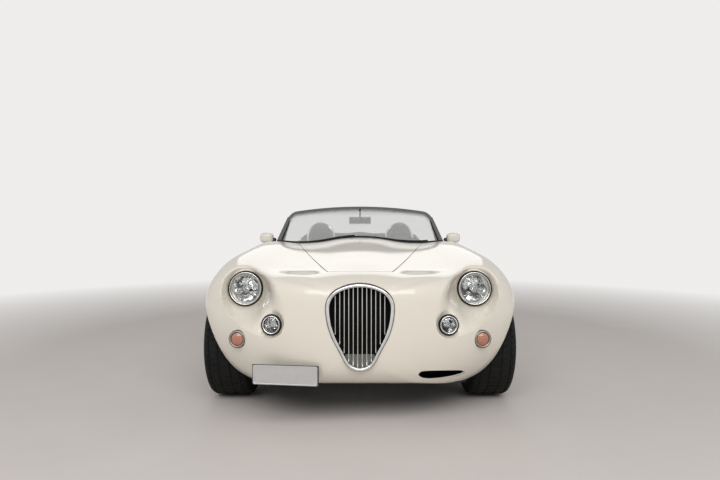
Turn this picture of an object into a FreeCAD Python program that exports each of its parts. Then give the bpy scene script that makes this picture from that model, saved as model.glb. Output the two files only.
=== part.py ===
import FreeCAD, Part
import math
import os

# Two-seat roadster with a long bonnet, built as separate panels, running gear and trim.
# Millimetres. X is across the car with its left side at +X, Y runs from nose (-Y) to tail (+Y),
# Z is up, and the origin is on the ground under the middle of the car.

V = FreeCAD.Vector

# Driving dimensions of the whole car
WHEELBASE = 2362.0
FRONT_AXLE_Y = -1230.0
REAR_AXLE_Y = FRONT_AXLE_Y + WHEELBASE
FRONT_TRACK = 1466.0
REAR_TRACK = 1460.0
SHUT_GAP = 5.0
SEAT_GAP = 0.3
PIN_PLAY = 0.05
PANEL = 16.0

# Wheels
TYRE_R = 320.0
FRONT_TYRE_W = 235.0
REAR_TYRE_W = 265.0
RIM_R = 228.0
RIM_WALL = 9.0
RIM_FLANGE = 9.0
HUB_R = 74.0
SPOKES = 10
SPOKE_W = 20.0
SPOKE_T = 34.0
DISC_R = 165.0
DISC_T = 28.0
SPINDLE_R = 30.0
ARCH_R = 372.0
REAR_ARCH_R = 356.0
FRONT_WELL_X = 440.0
REAR_WELL_X = 575.0

# Wheels are turned about the X axis. A wheel's own x runs outwards from the middle of its tread.
DISC_X0 = -12.0
HUB_X0 = DISC_X0 + DISC_T
SPOKE_X0 = 46.0
SPOKE_X1 = SPOKE_X0 + SPOKE_T
SPINDLE_END = 64.0
KINGPIN_X = 690.0
KINGPIN_R = 12.0
POST_R = 26.0
POST_HALF = 95.0
ARM_R = 13.0
ARM_EYE_R = 24.0
ARM_EYE_T = 26.0
SPOKE_PAIR = 11.0
CALIPER_R = 208.0
CALIPER_INNER_R = 112.0
CALIPER_HALF = 62.0
CARRIER_Z0 = TYRE_R + 5.0
CARRIER_Z1 = TYRE_R + 50.0
BEAM_BOTTOM_Z = 185.0
BEAM_TOP_Z = 240.0
BEAM_HALF_Y = 60.0
LOW_ARM_SPREAD = 120.0
HIGH_ARM_SPREAD = 88.0
STEER_ARM_Y = 105.0

# Hull sections from nose to tail, each half of a section that is closed by its mirror image.
# Columns: y, belly_z, belly_x, side_x, side_z, crest_x, crest_z, valley_x, valley_z, crown_z
HULL = [
    (-1922, 395, 60, 112, 500, 64, 600, 34, 602, 607),
    (-1905, 312, 130, 240, 485, 150, 670, 84, 674, 680),
    (-1860, 250, 225, 400, 470, 262, 705, 150, 714, 724),
    (-1785, 212, 360, 555, 465, 400, 728, 235, 736, 749),
    (-1680, 185, 480, 690, 475, 540, 748, 300, 744, 766),
    (-1540, 162, 570, 828, 530, 630, 776, 335, 752, 786),
    (-1400, 152, 610, 864, 560, 655, 800, 352, 768, 803),
    (-1230, 150, 640, 873, 590, 660, 824, 372, 788, 824),
    (-900, 150, 665, 846, 560, 645, 862, 415, 830, 866),
    (-430, 150, 680, 806, 560, 655, 886, 456, 872, 914),
    (0, 150, 690, 796, 540, 690, 856, 500, 842, 862),
    (520, 150, 690, 806, 530, 706, 822, 520, 815, 832),
    (850, 150, 682, 852, 530, 690, 846, 500, 842, 862),
    (1132, 160, 650, 877, 570, 680, 862, 470, 846, 862),
    (1400, 182, 590, 846, 520, 620, 822, 420, 800, 816),
    (1620, 210, 500, 756, 505, 530, 752, 350, 738, 752),
    (1780, 245, 380, 600, 490, 400, 672, 250, 668, 680),
    (1880, 300, 230, 400, 470, 250, 600, 150, 602, 610),
    (1930, 370, 100, 190, 460, 110, 535, 62, 538, 543),
]

# Doors, in side view, each turning on a hidden hinge behind its front edge
DOOR_HINGE_X = 768.0
DOOR_HINGE_Y = -218.0
DOOR_NOSE_R = 46.0
DOOR_REACH = 790.0
DOOR_BOTTOM_Z = 255.0
DOOR_CORNER_R = 95.0
DOOR_INNER_X = 665.0
HINGE_HEIGHTS = [440.0, 650.0]
HINGE_PIN_R = 7.0
HINGE_LEAF_T = 14.0
HINGE_LEAF_W = 20.0
HINGE_LEAF_ANGLE = 210.0
HINGE_LEAF_REACH = 84.0

# Cockpit tub
COCKPIT_HALF = 660.0
COCKPIT_FRONT_Y = -700.0
COCKPIT_OPEN_Y = -225.0
COCKPIT_REAR_Y = 640.0
REAR_BODY_Y = 480.0
FLOOR_Z = 150.0
FLOOR_T = 24.0
TUNNEL_HALF = 115.0
TUNNEL_TOP_Z = 395.0
TUNNEL_REAR_Y = 400.0
SCUTTLE_UNDER_Z = 700.0
JACK_PAD_Y = (-150.0, 400.0)
JACK_PAD_HALF = 40.0
JACK_PAD_X0 = 661.0
JACK_PAD_X1 = 687.0
JACK_PAD_Z = 138.0

# Bonnet and boot lid, in plan
BONNET_FRONT_Y = -1725.0
BONNET_REAR_Y = -478.0
BONNET_FRONT_HALF = 165.0
BONNET_REAR_HALF = 452.0
BONNET_CORNER = 60.0
LID_FRONT_Y = 1020.0
LID_REAR_Y = 1650.0
LID_FRONT_HALF = 400.0
LID_REAR_HALF = 320.0
LID_CORNER = 70.0
LEDGE = 22.0
EYE_R = 8.0
EYE_PIN_R = 4.0
EYE_X0 = 45.0
EYE_X1 = 65.0
EYE_SINK = 9.0
EYE_LEAD = 20.0
BAY_HALF = 385.0
BAY_FRONT_Y = -1600.0
BAY_REAR_Y = -720.0
BOOT_HALF = 380.0
BOOT_FRONT_Y = 1045.0
BOOT_END_Y = 1625.0
BOOT_FLOOR_Z = 352.0
UNDERBODY_Z = 330.0
BAY_UNDER_Z = 640.0
ENGINE_HALF = 190.0
ENGINE_FRONT_Y = -1500.0
ENGINE_REAR_Y = -780.0
ENGINE_TOP_Z = 640.0

# Grille, an egg with its narrow end down
GRILLE_TOP_Z = 716.0
GRILLE_WIDE_Z = 602.0
GRILLE_HALF = 159.0
GRILLE_KNEE_X = 118.0
GRILLE_KNEE_Z = 440.0
GRILLE_BOTTOM_Z = 307.0
GRILLE_RING = 19.0
GRILLE_FACE_Y = -1930.0
GRILLE_DEPTH = 46.0
BARS = 12
BAR_PITCH = 21.0
BAR_W = 6.0
BAR_DEPTH = 20.0
RAIL_Z = 486.0
RAIL_H = 12.0

# Lamps on the car's left side. Columns: name, x, y, z, radius, depth, pitch and yaw of the axis in degrees
LAMP_TABLE = [
    ("headlamp", 610.0, -1572.0, 656.0, 92.0, 120.0, 6.0, 4.0),
    ("driving_lamp", 432.0, -1812.0, 505.0, 49.0, 80.0, 6.0, 8.0),
    ("indicator", 622.0, -1735.0, 408.0, 40.0, 50.0, 0.0, 36.0),
    ("tail_lamp", 470.0, 1834.0, 572.0, 58.0, 60.0, 10.0, 24.0),
    ("reverse_lamp", 350.0, 1886.0, 545.0, 34.0, 50.0, 8.0, 18.0),
]
LAMPS = {row[0]: row for row in LAMP_TABLE}
POD_WALL = 13.0
LAMP_RING = 7.0

# Slot intake low in the nose, on each side
SLOT_Z = 264.0
SLOT_H = 42.0
SLOT_INNER_X = 275.0
SLOT_OUTER_X = 505.0
SLOT_FRONT_Y = -1960.0
SLOT_DEPTH = 250.0

# Seats, roof and roll hoops
SEAT_X = 372.0
SEAT_HALF = 232.0
SEAT_FRONT_Y = -60.0
SEAT_CUSHION_Z = 330.0
SEAT_BACK_Y = 455.0
SEAT_BACK_T = 120.0
SEAT_BACK_TOP_Z = 905.0
HEAD_TOP_Z = 1050.0
HEAD_HALF = 100.0
HEAD_Y = 575.0
ROOF_FRONT_Y = 655.0
ROOF_REAR_Y = 905.0
ROOF_HALF = 610.0
ROOF_BASE_Z = 800.0
ROOF_TOP_Z = 958.0
ROOF_FRONT_DROP = 70.0
ROOF_REAR_DROP = 88.0
ROOF_CROWN_Y = 90.0
ROOF_END_R = 66.0
HOOP_BAR_R = 18.0
HOOP_HALF = 118.0
HOOP_DROP = 25.0

# Windscreen. Its lower line lies inside the body and its upper line is the top edge
SCREEN_LOW_Z = 840.0
SCREEN_LOW_Y = -586.0
SCREEN_LOW_SAG = 321.0
SCREEN_TOP_Z = 1180.0
SCREEN_TOP_Y = 57.0
SCREEN_TOP_SAG = 200.0
SCREEN_HALF = 680.0
SCREEN_EDGE_LOW_X = 654.0
SCREEN_EDGE_TOP_X = 606.0
SCREEN_CROWN_Z = 1166.0
SCREEN_CORNER_Z = 1118.0
SCREEN_CORNER_R = 62.0
SCREEN_FRAME_W = 21.0
SCREEN_FRAME_T = 22.0
GLASS_T = 5.0

# Steering
WHEEL_X = 372.0
WHEEL_Y = -78.0
WHEEL_Z = 742.0
WHEEL_R = 178.0
WHEEL_GRIP_R = 14.0
COLUMN_TILT = 24.0
COLUMN_R = 20.0
SHAFT_R = 10.0

# Levers on the tunnel
GEAR_Y = -95.0
BRAKE_Y = 235.0

# Door mirrors
MIRROR_X = 750.0
MIRROR_Y = -142.0
MIRROR_Z = 900.0
MIRROR_HALF_W = 56.0
MIRROR_R = 39.0
MIRROR_BACK = 12.0
MIRROR_BALL_R = 15.0
MIRROR_BALL_X = 692.0
MIRROR_STALK_R = 10.0

# Silencer and tail pipes
SILENCER_HALF = 360.0
SILENCER_Y0 = 1440.0
SILENCER_Y1 = 1640.0
SILENCER_BOTTOM_Z = 215.0
PIPE_X = (-322.0, -228.0, 228.0, 322.0)
PIPE_Y0 = 1600.0
PIPE_END_Y = 1880.0
PIPE_Z = 275.0
PIPE_R = 38.0
PIPE_WALL = 4.0
PIPE_BORE_Y0 = 1700.0

# Blank plates. The front one stands on a bracket on the car's right side of the nose
PLATE_T = 6.0
FRONT_PLATE_X = -352.0
FRONT_PLATE_Y = -1912.0
FRONT_PLATE_Z = 285.0
FRONT_PLATE_W = 330.0
FRONT_PLATE_H = 106.0
FRONT_PLATE_TURN = -7.0
REAR_PLATE_Y = 1897.0
REAR_PLATE_Z = 450.0
REAR_PLATE_W = 500.0
REAR_PLATE_H = 112.0


def box(x0, x1, y0, y1, z0, z1):
    """A block between two corners."""
    return Part.makeBox(x1 - x0, y1 - y0, z1 - z0, V(x0, y0, z0))


def rod(start, end, radius):
    """A round bar from one point to another."""
    axis = end.sub(start)
    return Part.makeCylinder(radius, axis.Length, start, axis)


def ring(start, end, outer, inner):
    """A tube from one point to another."""
    return rod(start, end, outer).cut(rod(start, end, inner))


def other_side(shape):
    """The same piece on the car's right side."""
    return shape.mirror(V(0, 0, 0), V(1, 0, 0))


def both_sides(shape):
    """A piece and its mirror image, as solids that don't touch."""
    return Part.makeCompound([shape, other_side(shape)])


def fuse(shapes):
    """One solid from pieces that meet or overlap."""
    whole = shapes[0].multiFuse(shapes[1:])
    return whole.removeSplitter()


def prism(outline, direction):
    """A face's outline carried along a direction."""
    return Part.Face(outline).extrude(direction)


def polygon(points):
    """A closed wire of straight lines."""
    return Part.makePolygon(points + [points[0]])


def arc_mid(start, tangent, end):
    """The middle of the arc that leaves start along tangent and ends at end."""
    chord = end.sub(start)
    along = chord.dot(tangent) / (chord.Length * tangent.Length)
    along = max(-1.0, min(1.0, along))
    half_turn = math.acos(along)
    side = tangent.normalize().sub(V(chord).multiply(along / chord.Length))
    if side.Length < 1e-9:
        return start.add(V(chord).multiply(0.5))
    rise = chord.Length / 2.0 * math.tan(half_turn / 2.0)
    return start.add(V(chord).multiply(0.5)).add(side.normalize().multiply(rise))


def arc(start, tangent, end):
    """The arc that leaves start along tangent, or the line where it doesn't turn."""
    middle = arc_mid(start, V(tangent), end)
    straight = start.add(end).multiply(0.5)
    if middle.sub(straight).Length < 1e-4:
        return Part.LineSegment(start, end).toShape()
    return Part.Arc(start, middle, end).toShape()


def biarc(start, tangent_in, end, tangent_out):
    """Two arcs in one smooth line between points with given directions."""
    v = end.sub(start)
    total = tangent_in.add(tangent_out)
    spread = 2.0 * (1.0 - tangent_in.dot(tangent_out))
    if spread > 1e-6:
        lean = v.dot(total)
        reach = (-lean + math.sqrt(lean * lean + spread * v.dot(v))) / spread
    else:
        reach = v.dot(v) / (4.0 * v.dot(tangent_in))
    joint = start.add(end).add(V(tangent_in).sub(tangent_out).multiply(reach)).multiply(0.5)
    back = V(tangent_out).multiply(-1.0)
    first = arc(start, tangent_in, joint)
    second_mid = arc_mid(end, back, joint)
    straight = joint.add(end).multiply(0.5)
    if second_mid.sub(straight).Length < 1e-4:
        second = Part.LineSegment(joint, end).toShape()
    else:
        second = Part.Arc(joint, second_mid, end).toShape()
    return [first, second]


def hull_section(row):
    """One closed section of the body: flat belly, round sill, full shoulder, wing crest, valley, crown."""
    y, belly_z, belly_x, side_x, side_z, crest_x, crest_z, valley_x, valley_z, crown_z = row
    belly = V(belly_x, y, belly_z)
    side = V(side_x, y, side_z)
    crest = V(crest_x, y, crest_z)
    valley = V(valley_x, y, valley_z)
    crown = V(0, y, crown_z)
    up = V(0, 0, 1)
    inward = V(-1, 0, 0)
    sill_mid = arc_mid(side, V(0, 0, -1), belly)
    half = [Part.Arc(belly, sill_mid, side).toShape()]
    half += biarc(side, up, crest, inward)
    half += biarc(crest, inward, valley, inward)
    rise = biarc(valley, inward, crown, inward)
    half.append(rise[0])
    shoulder = rise[0].Vertexes[1].Point
    if shoulder.sub(valley).Length < 1e-6:
        shoulder = rise[0].Vertexes[0].Point
    opposite = V(-shoulder.x, shoulder.y, shoulder.z)
    top = Part.Arc(shoulder, crown, opposite).toShape()
    floor = Part.LineSegment(V(-belly_x, y, belly_z), belly).toShape()
    mirrored = [other_side(edge) for edge in half]
    return Part.Wire(Part.__sortEdges__([floor] + half + [top] + mirrored))


def make_hull():
    """The whole outer form of the body, as one loft."""
    return Part.makeLoft([hull_section(row) for row in HULL], True, False)


def plan_outline(front_y, rear_y, front_half, rear_half, grow, corner):
    """A panel's outline in plan, with a bowed front and rounded rear corners, larger all round by grow."""
    fy = front_y - grow
    ry = rear_y + grow
    fx = front_half + grow
    rx = rear_half + grow
    bow = corner * 0.9
    z = 0.0
    front_left = V(fx, fy + bow, z)
    front_right = V(-fx, fy + bow, z)
    rear_left = V(rx, ry - corner, z)
    rear_right = V(-rx, ry - corner, z)
    tail_left = V(rx - corner, ry, z)
    tail_right = V(-rx + corner, ry, z)
    side_way = rear_left.sub(front_left).normalize()
    other_way = V(-side_way.x, side_way.y, 0)
    edges = [
        Part.Arc(front_right, V(0, fy, z), front_left).toShape(),
        Part.LineSegment(front_left, rear_left).toShape(),
        arc(rear_left, side_way, tail_left),
        Part.LineSegment(tail_left, tail_right).toShape(),
        Part.Arc(tail_right, arc_mid(rear_right, other_way, tail_right), rear_right).toShape(),
        Part.LineSegment(rear_right, front_right).toShape(),
    ]
    return Part.Wire(edges)


def bonnet_plan(grow):
    """The bonnet's outline in plan."""
    return plan_outline(
        BONNET_FRONT_Y, BONNET_REAR_Y, BONNET_FRONT_HALF, BONNET_REAR_HALF, grow, BONNET_CORNER
    )


def lid_plan(grow):
    """The boot lid's outline in plan."""
    return plan_outline(LID_FRONT_Y, LID_REAR_Y, LID_FRONT_HALF, LID_REAR_HALF, grow, LID_CORNER)


def tall(wire, z0, z1):
    """A plan outline as a block between two heights."""
    face = Part.Face(wire)
    face.translate(V(0, 0, z0))
    return face.extrude(V(0, 0, z1 - z0))


def door_block(grow):
    """The space of a door, larger by grow at its edges: flat below, round about the hinge at both ends."""
    x0 = DOOR_INNER_X - grow
    y0 = DOOR_HINGE_Y - grow * 0.5
    y1 = DOOR_HINGE_Y + DOOR_REACH + grow
    z0 = DOOR_BOTTOM_Z - grow
    z1 = 1000.0
    r = DOOR_CORNER_R
    c = r * (1.0 - math.sqrt(0.5))
    edges = [
        Part.LineSegment(V(x0, y0, z1), V(x0, y0, z0)).toShape(),
        Part.LineSegment(V(x0, y0, z0), V(x0, y1 - r, z0)).toShape(),
        Part.Arc(V(x0, y1 - r, z0), V(x0, y1 - c, z0 + c), V(x0, y1, z0 + r)).toShape(),
        Part.LineSegment(V(x0, y1, z0 + r), V(x0, y1, z1)).toShape(),
        Part.LineSegment(V(x0, y1, z1), V(x0, y0, z1)).toShape(),
    ]
    side = prism(Part.Wire(edges), V(1000.0 - x0, 0, 0))
    hinge = V(DOOR_HINGE_X, DOOR_HINGE_Y, z0)
    reach = Part.makeCylinder(DOOR_REACH + grow, z1 - z0, hinge)
    nose = Part.makeCylinder(DOOR_NOSE_R + grow, z1 - z0, hinge)
    return side.common(reach).fuse(nose)


def egg(inset, y):
    """The grille's egg outline on a plane across the nose, drawn in by inset."""
    top = V(0, y, GRILLE_TOP_Z - inset)
    wide = V(GRILLE_HALF - inset, y, GRILLE_WIDE_Z)
    knee = V(GRILLE_KNEE_X - inset * 0.95, y, GRILLE_KNEE_Z)
    bottom = V(0, y, GRILLE_BOTTOM_Z + inset)
    drop = GRILLE_WIDE_Z - GRILLE_KNEE_Z
    narrowing = wide.x - knee.x
    side_r = (drop * drop + narrowing * narrowing) / (2.0 * narrowing)
    sine = drop / side_r
    leaning = V(-sine, 0, -math.sqrt(1.0 - sine * sine))
    half = biarc(top, V(1, 0, 0), wide, V(0, 0, -1))
    half.append(arc(wide, V(0, 0, -1), knee))
    half += biarc(knee, leaning, bottom, V(-1, 0, 0))
    return Part.Wire(Part.__sortEdges__(half + [other_side(e) for e in half]))


def egg_block(inset, y0, y1):
    """The grille's egg carried along the car."""
    return prism(egg(inset, y0), V(0, y1 - y0, 0))


def lamp_frame(name):
    """A lamp's face centre and the way it looks."""
    _, x, y, z, radius, depth, pitch, yaw = LAMPS[name]
    way = -1.0 if y < 0 else 1.0
    look = V(
        math.sin(math.radians(yaw)) * math.cos(math.radians(pitch)),
        way * math.cos(math.radians(yaw)) * math.cos(math.radians(pitch)),
        math.sin(math.radians(pitch)),
    )
    return V(x, y, z), look, radius, depth


def lamp_pocket(name):
    """The round hole that a lamp sits in, from well in front of the body to behind the lamp."""
    centre, look, radius, depth = lamp_frame(name)
    start = centre.sub(V(look).multiply(depth + SEAT_GAP))
    return rod(start, centre.add(V(look).multiply(150.0)), radius + SEAT_GAP)


def turned(points, arcs):
    """A ring turned about the X axis from an outline of (x, r) points; arcs maps a point's number
    to the middle point of an arc that runs from it to the next point."""
    spots = [V(x, 0, r) for x, r in points]
    edges = []
    for number, spot in enumerate(spots):
        following = spots[(number + 1) % len(spots)]
        if number in arcs:
            x, r = arcs[number]
            edges.append(Part.Arc(spot, V(x, 0, r), following).toShape())
        else:
            edges.append(Part.LineSegment(spot, following).toShape())
    return Part.Face(Part.Wire(edges)).revolve(V(0, 0, 0), V(1, 0, 0), 360)


def make_tyre(width):
    """A tyre with bulged sidewalls and a gently crowned tread with two wide grooves."""
    half = width / 2.0
    bead = half - 14.0
    shoulder = half - 12.0
    inner = RIM_R + SEAT_GAP
    bead_top = RIM_R + RIM_FLANGE + 4.0
    groove = 5.0
    return turned(
        [
            (-bead, inner),
            (-bead, bead_top),
            (-shoulder, TYRE_R - 10.0),
            (-shoulder + 16.0, TYRE_R - 1.0),
            (-32.0, TYRE_R),
            (-30.0, TYRE_R - groove),
            (-22.0, TYRE_R - groove),
            (-20.0, TYRE_R),
            (20.0, TYRE_R),
            (22.0, TYRE_R - groove),
            (30.0, TYRE_R - groove),
            (32.0, TYRE_R),
            (shoulder - 16.0, TYRE_R - 1.0),
            (shoulder, TYRE_R - 10.0),
            (bead, bead_top),
            (bead, inner),
            (bead - 12.0, inner),
            (bead - 6.0, inner + 14.0),
            (-bead + 6.0, inner + 14.0),
            (-bead + 12.0, inner),
        ],
        {1: (-half, RIM_R + 47.0), 13: (half, RIM_R + 47.0)},
    )


def make_rim(width):
    """A light-alloy wheel in one piece with its hub and brake disc: a barrel with lips, ten spokes in
    five pairs, a hub with a blind bore and the disc behind it."""
    bead = width / 2.0 - 14.0
    inner = RIM_R - RIM_WALL
    lip = RIM_R + RIM_FLANGE
    barrel = turned(
        [
            (-bead - 7.0, inner),
            (bead + 7.0, inner),
            (bead + 7.0, lip),
            (bead + 1.0, lip),
            (bead + 1.0, RIM_R),
            (-bead - 1.0, RIM_R),
            (-bead - 1.0, lip),
            (-bead - 7.0, lip),
        ],
        {},
    )
    pieces = [barrel]
    pieces.append(rod(V(DISC_X0, 0, 0), V(HUB_X0, 0, 0), DISC_R))
    pieces.append(rod(V(HUB_X0, 0, 0), V(SPOKE_X1 - 4.0, 0, 0), HUB_R))
    for pair in range(SPOKES // 2):
        for side in (-1, 1):
            angle = 360.0 / (SPOKES // 2) * pair + side * SPOKE_PAIR
            spoke = box(SPOKE_X0, SPOKE_X1, -SPOKE_W / 2.0, SPOKE_W / 2.0, HUB_R - 20.0, inner + 3.0)
            spoke.rotate(V(0, 0, 0), V(1, 0, 0), angle)
            pieces.append(spoke)
    whole = fuse(pieces)
    bore = rod(V(DISC_X0 - 1.0, 0, 0), V(SPINDLE_END + 2.0, 0, 0), SPINDLE_R + PIN_PLAY)
    return whole.cut(bore)


def placed_wheel(shape, x, y):
    """A wheel's piece on the car's left, moved to its axle."""
    piece = shape.copy()
    piece.translate(V(x, y, TYRE_R))
    return piece


def make_caliper(wheel_x, y, way):
    """A brake caliper round the edge of the disc, behind the axle (way 1) or ahead of it (way -1)."""
    disc_in = wheel_x + DISC_X0
    disc_out = wheel_x + HUB_X0
    body = ring(V(disc_in - 40.0, y, TYRE_R), V(disc_out + 24.0, y, TYRE_R), CALIPER_R, CALIPER_INNER_R)
    slot = rod(V(disc_in - SHUT_GAP, y, TYRE_R), V(disc_out + SHUT_GAP, y, TYRE_R), DISC_R + SHUT_GAP)
    near, far = sorted((y + way * 60.0, y + way * 250.0))
    sector = box(disc_in - 60.0, disc_out + 60.0, near, far, TYRE_R - CALIPER_HALF, TYRE_R + CALIPER_HALF)
    return body.cut(slot).common(sector)


def make_knuckle():
    """The left front upright: post bored for the kingpin, spindle, steering arm and brake caliper."""
    y = FRONT_AXLE_Y
    wheel_x = FRONT_TRACK / 2.0
    post = rod(V(KINGPIN_X, y, TYRE_R - POST_HALF), V(KINGPIN_X, y, TYRE_R + POST_HALF), POST_R)
    spindle = rod(V(KINGPIN_X, y, TYRE_R), V(wheel_x + SPINDLE_END, y, TYRE_R), SPINDLE_R)
    arm = box(KINGPIN_X - 28.0, KINGPIN_X - 4.0, y, y + STEER_ARM_Y, TYRE_R - 82.0, TYRE_R - 62.0)
    arm_x = KINGPIN_X - 16.0
    arm_eye = rod(V(arm_x, y + STEER_ARM_Y, TYRE_R - 84.0), V(arm_x, y + STEER_ARM_Y, TYRE_R - 60.0), 18.0)
    caliper = make_caliper(wheel_x, y, 1)
    carrier_x = wheel_x + DISC_X0 - 20.0
    carrier = box(KINGPIN_X, carrier_x, y + 10.0, y + 130.0, CARRIER_Z0, CARRIER_Z1)
    whole = fuse([post, spindle, arm, arm_eye, caliper, carrier])
    bore = rod(
        V(KINGPIN_X, y, TYRE_R - POST_HALF - 1.0),
        V(KINGPIN_X, y, TYRE_R + POST_HALF + 1.0),
        KINGPIN_R + PIN_PLAY,
    )
    return whole.cut(bore)


def make_front_suspension():
    """Crossmember under the engine, and on each side two wishbones with the kingpin between them."""
    y = FRONT_AXLE_Y
    low_z = TYRE_R - POST_HALF - SHUT_GAP - ARM_EYE_T / 2.0
    high_z = TYRE_R + POST_HALF + SHUT_GAP + ARM_EYE_T / 2.0
    wall = FRONT_WELL_X
    pieces = []
    half_eye = ARM_EYE_T / 2.0
    for z, spread in ((low_z, LOW_ARM_SPREAD), (high_z, HIGH_ARM_SPREAD)):
        pieces.append(rod(V(KINGPIN_X, y, z - half_eye), V(KINGPIN_X, y, z + half_eye), ARM_EYE_R))
        for way in (-1, 1):
            pieces.append(rod(V(wall + 12.0, y + way * spread, z), V(KINGPIN_X, y, z), ARM_R))
            pieces.append(rod(V(wall, y + way * spread, z), V(wall + 24.0, y + way * spread, z), 22.0))
    pieces.append(rod(V(KINGPIN_X, y, low_z - half_eye), V(KINGPIN_X, y, high_z + half_eye), KINGPIN_R))
    arms = fuse(pieces)
    beam = box(-BAY_HALF, BAY_HALF, y - BEAM_HALF_Y, y + BEAM_HALF_Y, BEAM_BOTTOM_Z, BEAM_TOP_Z)
    return Part.makeCompound([arms, other_side(arms), beam])


def make_rear_axle():
    """Final drive, half shafts, hub carriers with spindles, and the subframe and arms that hold them,
    as one piece."""
    y = REAR_AXLE_Y
    wheel_x = REAR_TRACK / 2.0
    low_z = TYRE_R - 100.0
    sides = [rod(V(60.0, y, TYRE_R - 85.0), V(612.0, y, TYRE_R - 30.0), 21.0)]
    sides.append(box(600.0, 652.0, y - 45.0, y + 45.0, TYRE_R - 120.0, TYRE_R + 110.0))
    sides.append(rod(V(620.0, y, TYRE_R), V(wheel_x + SPINDLE_END, y, TYRE_R), SPINDLE_R))
    for way in (-1, 1):
        sides.append(rod(V(612.0, y + way * 20.0, low_z), V(190.0, y + way * 165.0, low_z), ARM_R))
        far = sorted((y + way * 150.0, y + way * 190.0))
        sides.append(box(120.0, 240.0, far[0], far[1], low_z + 10.0, UNDERBODY_Z))
    sides.append(box(120.0, 240.0, y - 190.0, y + 190.0, low_z - 17.0, low_z + 17.0))
    sides.append(make_caliper(wheel_x, y, -1))
    carrier_x = wheel_x + DISC_X0 - 20.0
    sides.append(box(630.0, carrier_x, y - 130.0, y - 10.0, CARRIER_Z0, CARRIER_Z1))
    middle = rod(V(0, y - 96.0, TYRE_R - 85.0), V(0, y + 84.0, TYRE_R - 85.0), 82.0)
    bridge = box(-130.0, 130.0, y - 24.0, y + 24.0, low_z - 12.0, low_z + 12.0)
    return fuse([middle, bridge] + with_mirrors(sides))


def make_seat():
    """The left seat: cushion with side bolsters, raked back with bolsters, and a head restraint."""
    base_z = FLOOR_Z + FLOOR_T + SEAT_GAP
    outline = [
        V(0, SEAT_FRONT_Y, base_z),
        V(0, SEAT_FRONT_Y - 30.0, SEAT_CUSHION_Z - 40.0),
        V(0, SEAT_FRONT_Y, SEAT_CUSHION_Z + 20.0),
        V(0, SEAT_BACK_Y - 60.0, SEAT_CUSHION_Z - 25.0),
        V(0, SEAT_BACK_Y + 20.0, SEAT_BACK_TOP_Z - 30.0),
        V(0, SEAT_BACK_Y + 60.0, SEAT_BACK_TOP_Z),
        V(0, SEAT_BACK_Y + SEAT_BACK_T, SEAT_BACK_TOP_Z - 20.0),
        V(0, SEAT_BACK_Y + SEAT_BACK_T - 40.0, base_z + 60.0),
        V(0, SEAT_BACK_Y - 20.0, base_z),
    ]
    half = SEAT_HALF - 55.0
    middle = prism(polygon(outline), V(2.0 * half, 0, 0))
    middle.translate(V(SEAT_X - half, 0, 0))
    side = [
        V(0, SEAT_FRONT_Y + 20.0, base_z),
        V(0, SEAT_FRONT_Y + 5.0, SEAT_CUSHION_Z + 30.0),
        V(0, SEAT_FRONT_Y + 80.0, SEAT_CUSHION_Z + 60.0),
        V(0, SEAT_BACK_Y - 120.0, SEAT_CUSHION_Z + 55.0),
        V(0, SEAT_BACK_Y - 40.0, SEAT_CUSHION_Z + 170.0),
        V(0, SEAT_BACK_Y - 10.0, SEAT_BACK_TOP_Z - 190.0),
        V(0, SEAT_BACK_Y + 50.0, SEAT_BACK_TOP_Z - 70.0),
        V(0, SEAT_BACK_Y + SEAT_BACK_T - 12.0, SEAT_BACK_TOP_Z - 90.0),
        V(0, SEAT_BACK_Y + SEAT_BACK_T - 50.0, base_z + 60.0),
        V(0, SEAT_BACK_Y - 20.0, base_z),
    ]
    bolster = prism(polygon(side), V(56.0, 0, 0))
    left = bolster.copy()
    left.translate(V(SEAT_X + SEAT_HALF - 56.0, 0, 0))
    right = bolster.copy()
    right.translate(V(SEAT_X - SEAT_HALF, 0, 0))
    dome = Part.makeCylinder(HEAD_HALF, 70.0, V(SEAT_X, HEAD_Y - 45.0, HEAD_TOP_Z - HEAD_HALF), V(0, 1, 0))
    neck = box(
        SEAT_X - HEAD_HALF, SEAT_X + HEAD_HALF, HEAD_Y - 45.0, HEAD_Y + 25.0,
        SEAT_BACK_TOP_Z - 60.0, HEAD_TOP_Z - HEAD_HALF,
    )
    return fuse([middle, left, right, dome, neck])


def make_folded_roof():
    """The folded roof under its cover, a low bolster across the rear deck with raised ends."""
    front_foot = V(-ROOF_HALF, ROOF_FRONT_Y, ROOF_BASE_Z)
    front_edge = V(-ROOF_HALF, ROOF_FRONT_Y, ROOF_TOP_Z - ROOF_FRONT_DROP)
    crown = V(-ROOF_HALF, ROOF_FRONT_Y + ROOF_CROWN_Y, ROOF_TOP_Z)
    rear_edge = V(-ROOF_HALF, ROOF_REAR_Y, ROOF_TOP_Z - ROOF_REAR_DROP)
    rear_foot = V(-ROOF_HALF, ROOF_REAR_Y, ROOF_BASE_Z)
    profile = [
        Part.LineSegment(front_foot, front_edge).toShape(),
        Part.Arc(front_edge, crown, rear_edge).toShape(),
        Part.LineSegment(rear_edge, rear_foot).toShape(),
        Part.LineSegment(rear_foot, front_foot).toShape(),
    ]
    bolster = prism(Part.Wire(profile), V(2.0 * ROOF_HALF, 0, 0))
    end_at = V(ROOF_HALF - 62.0, ROOF_FRONT_Y + ROOF_CROWN_Y, ROOF_TOP_Z - 34.0)
    end = Part.makeSphere(ROOF_END_R, end_at)
    return fuse([bolster, end, other_side(end)])


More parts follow.
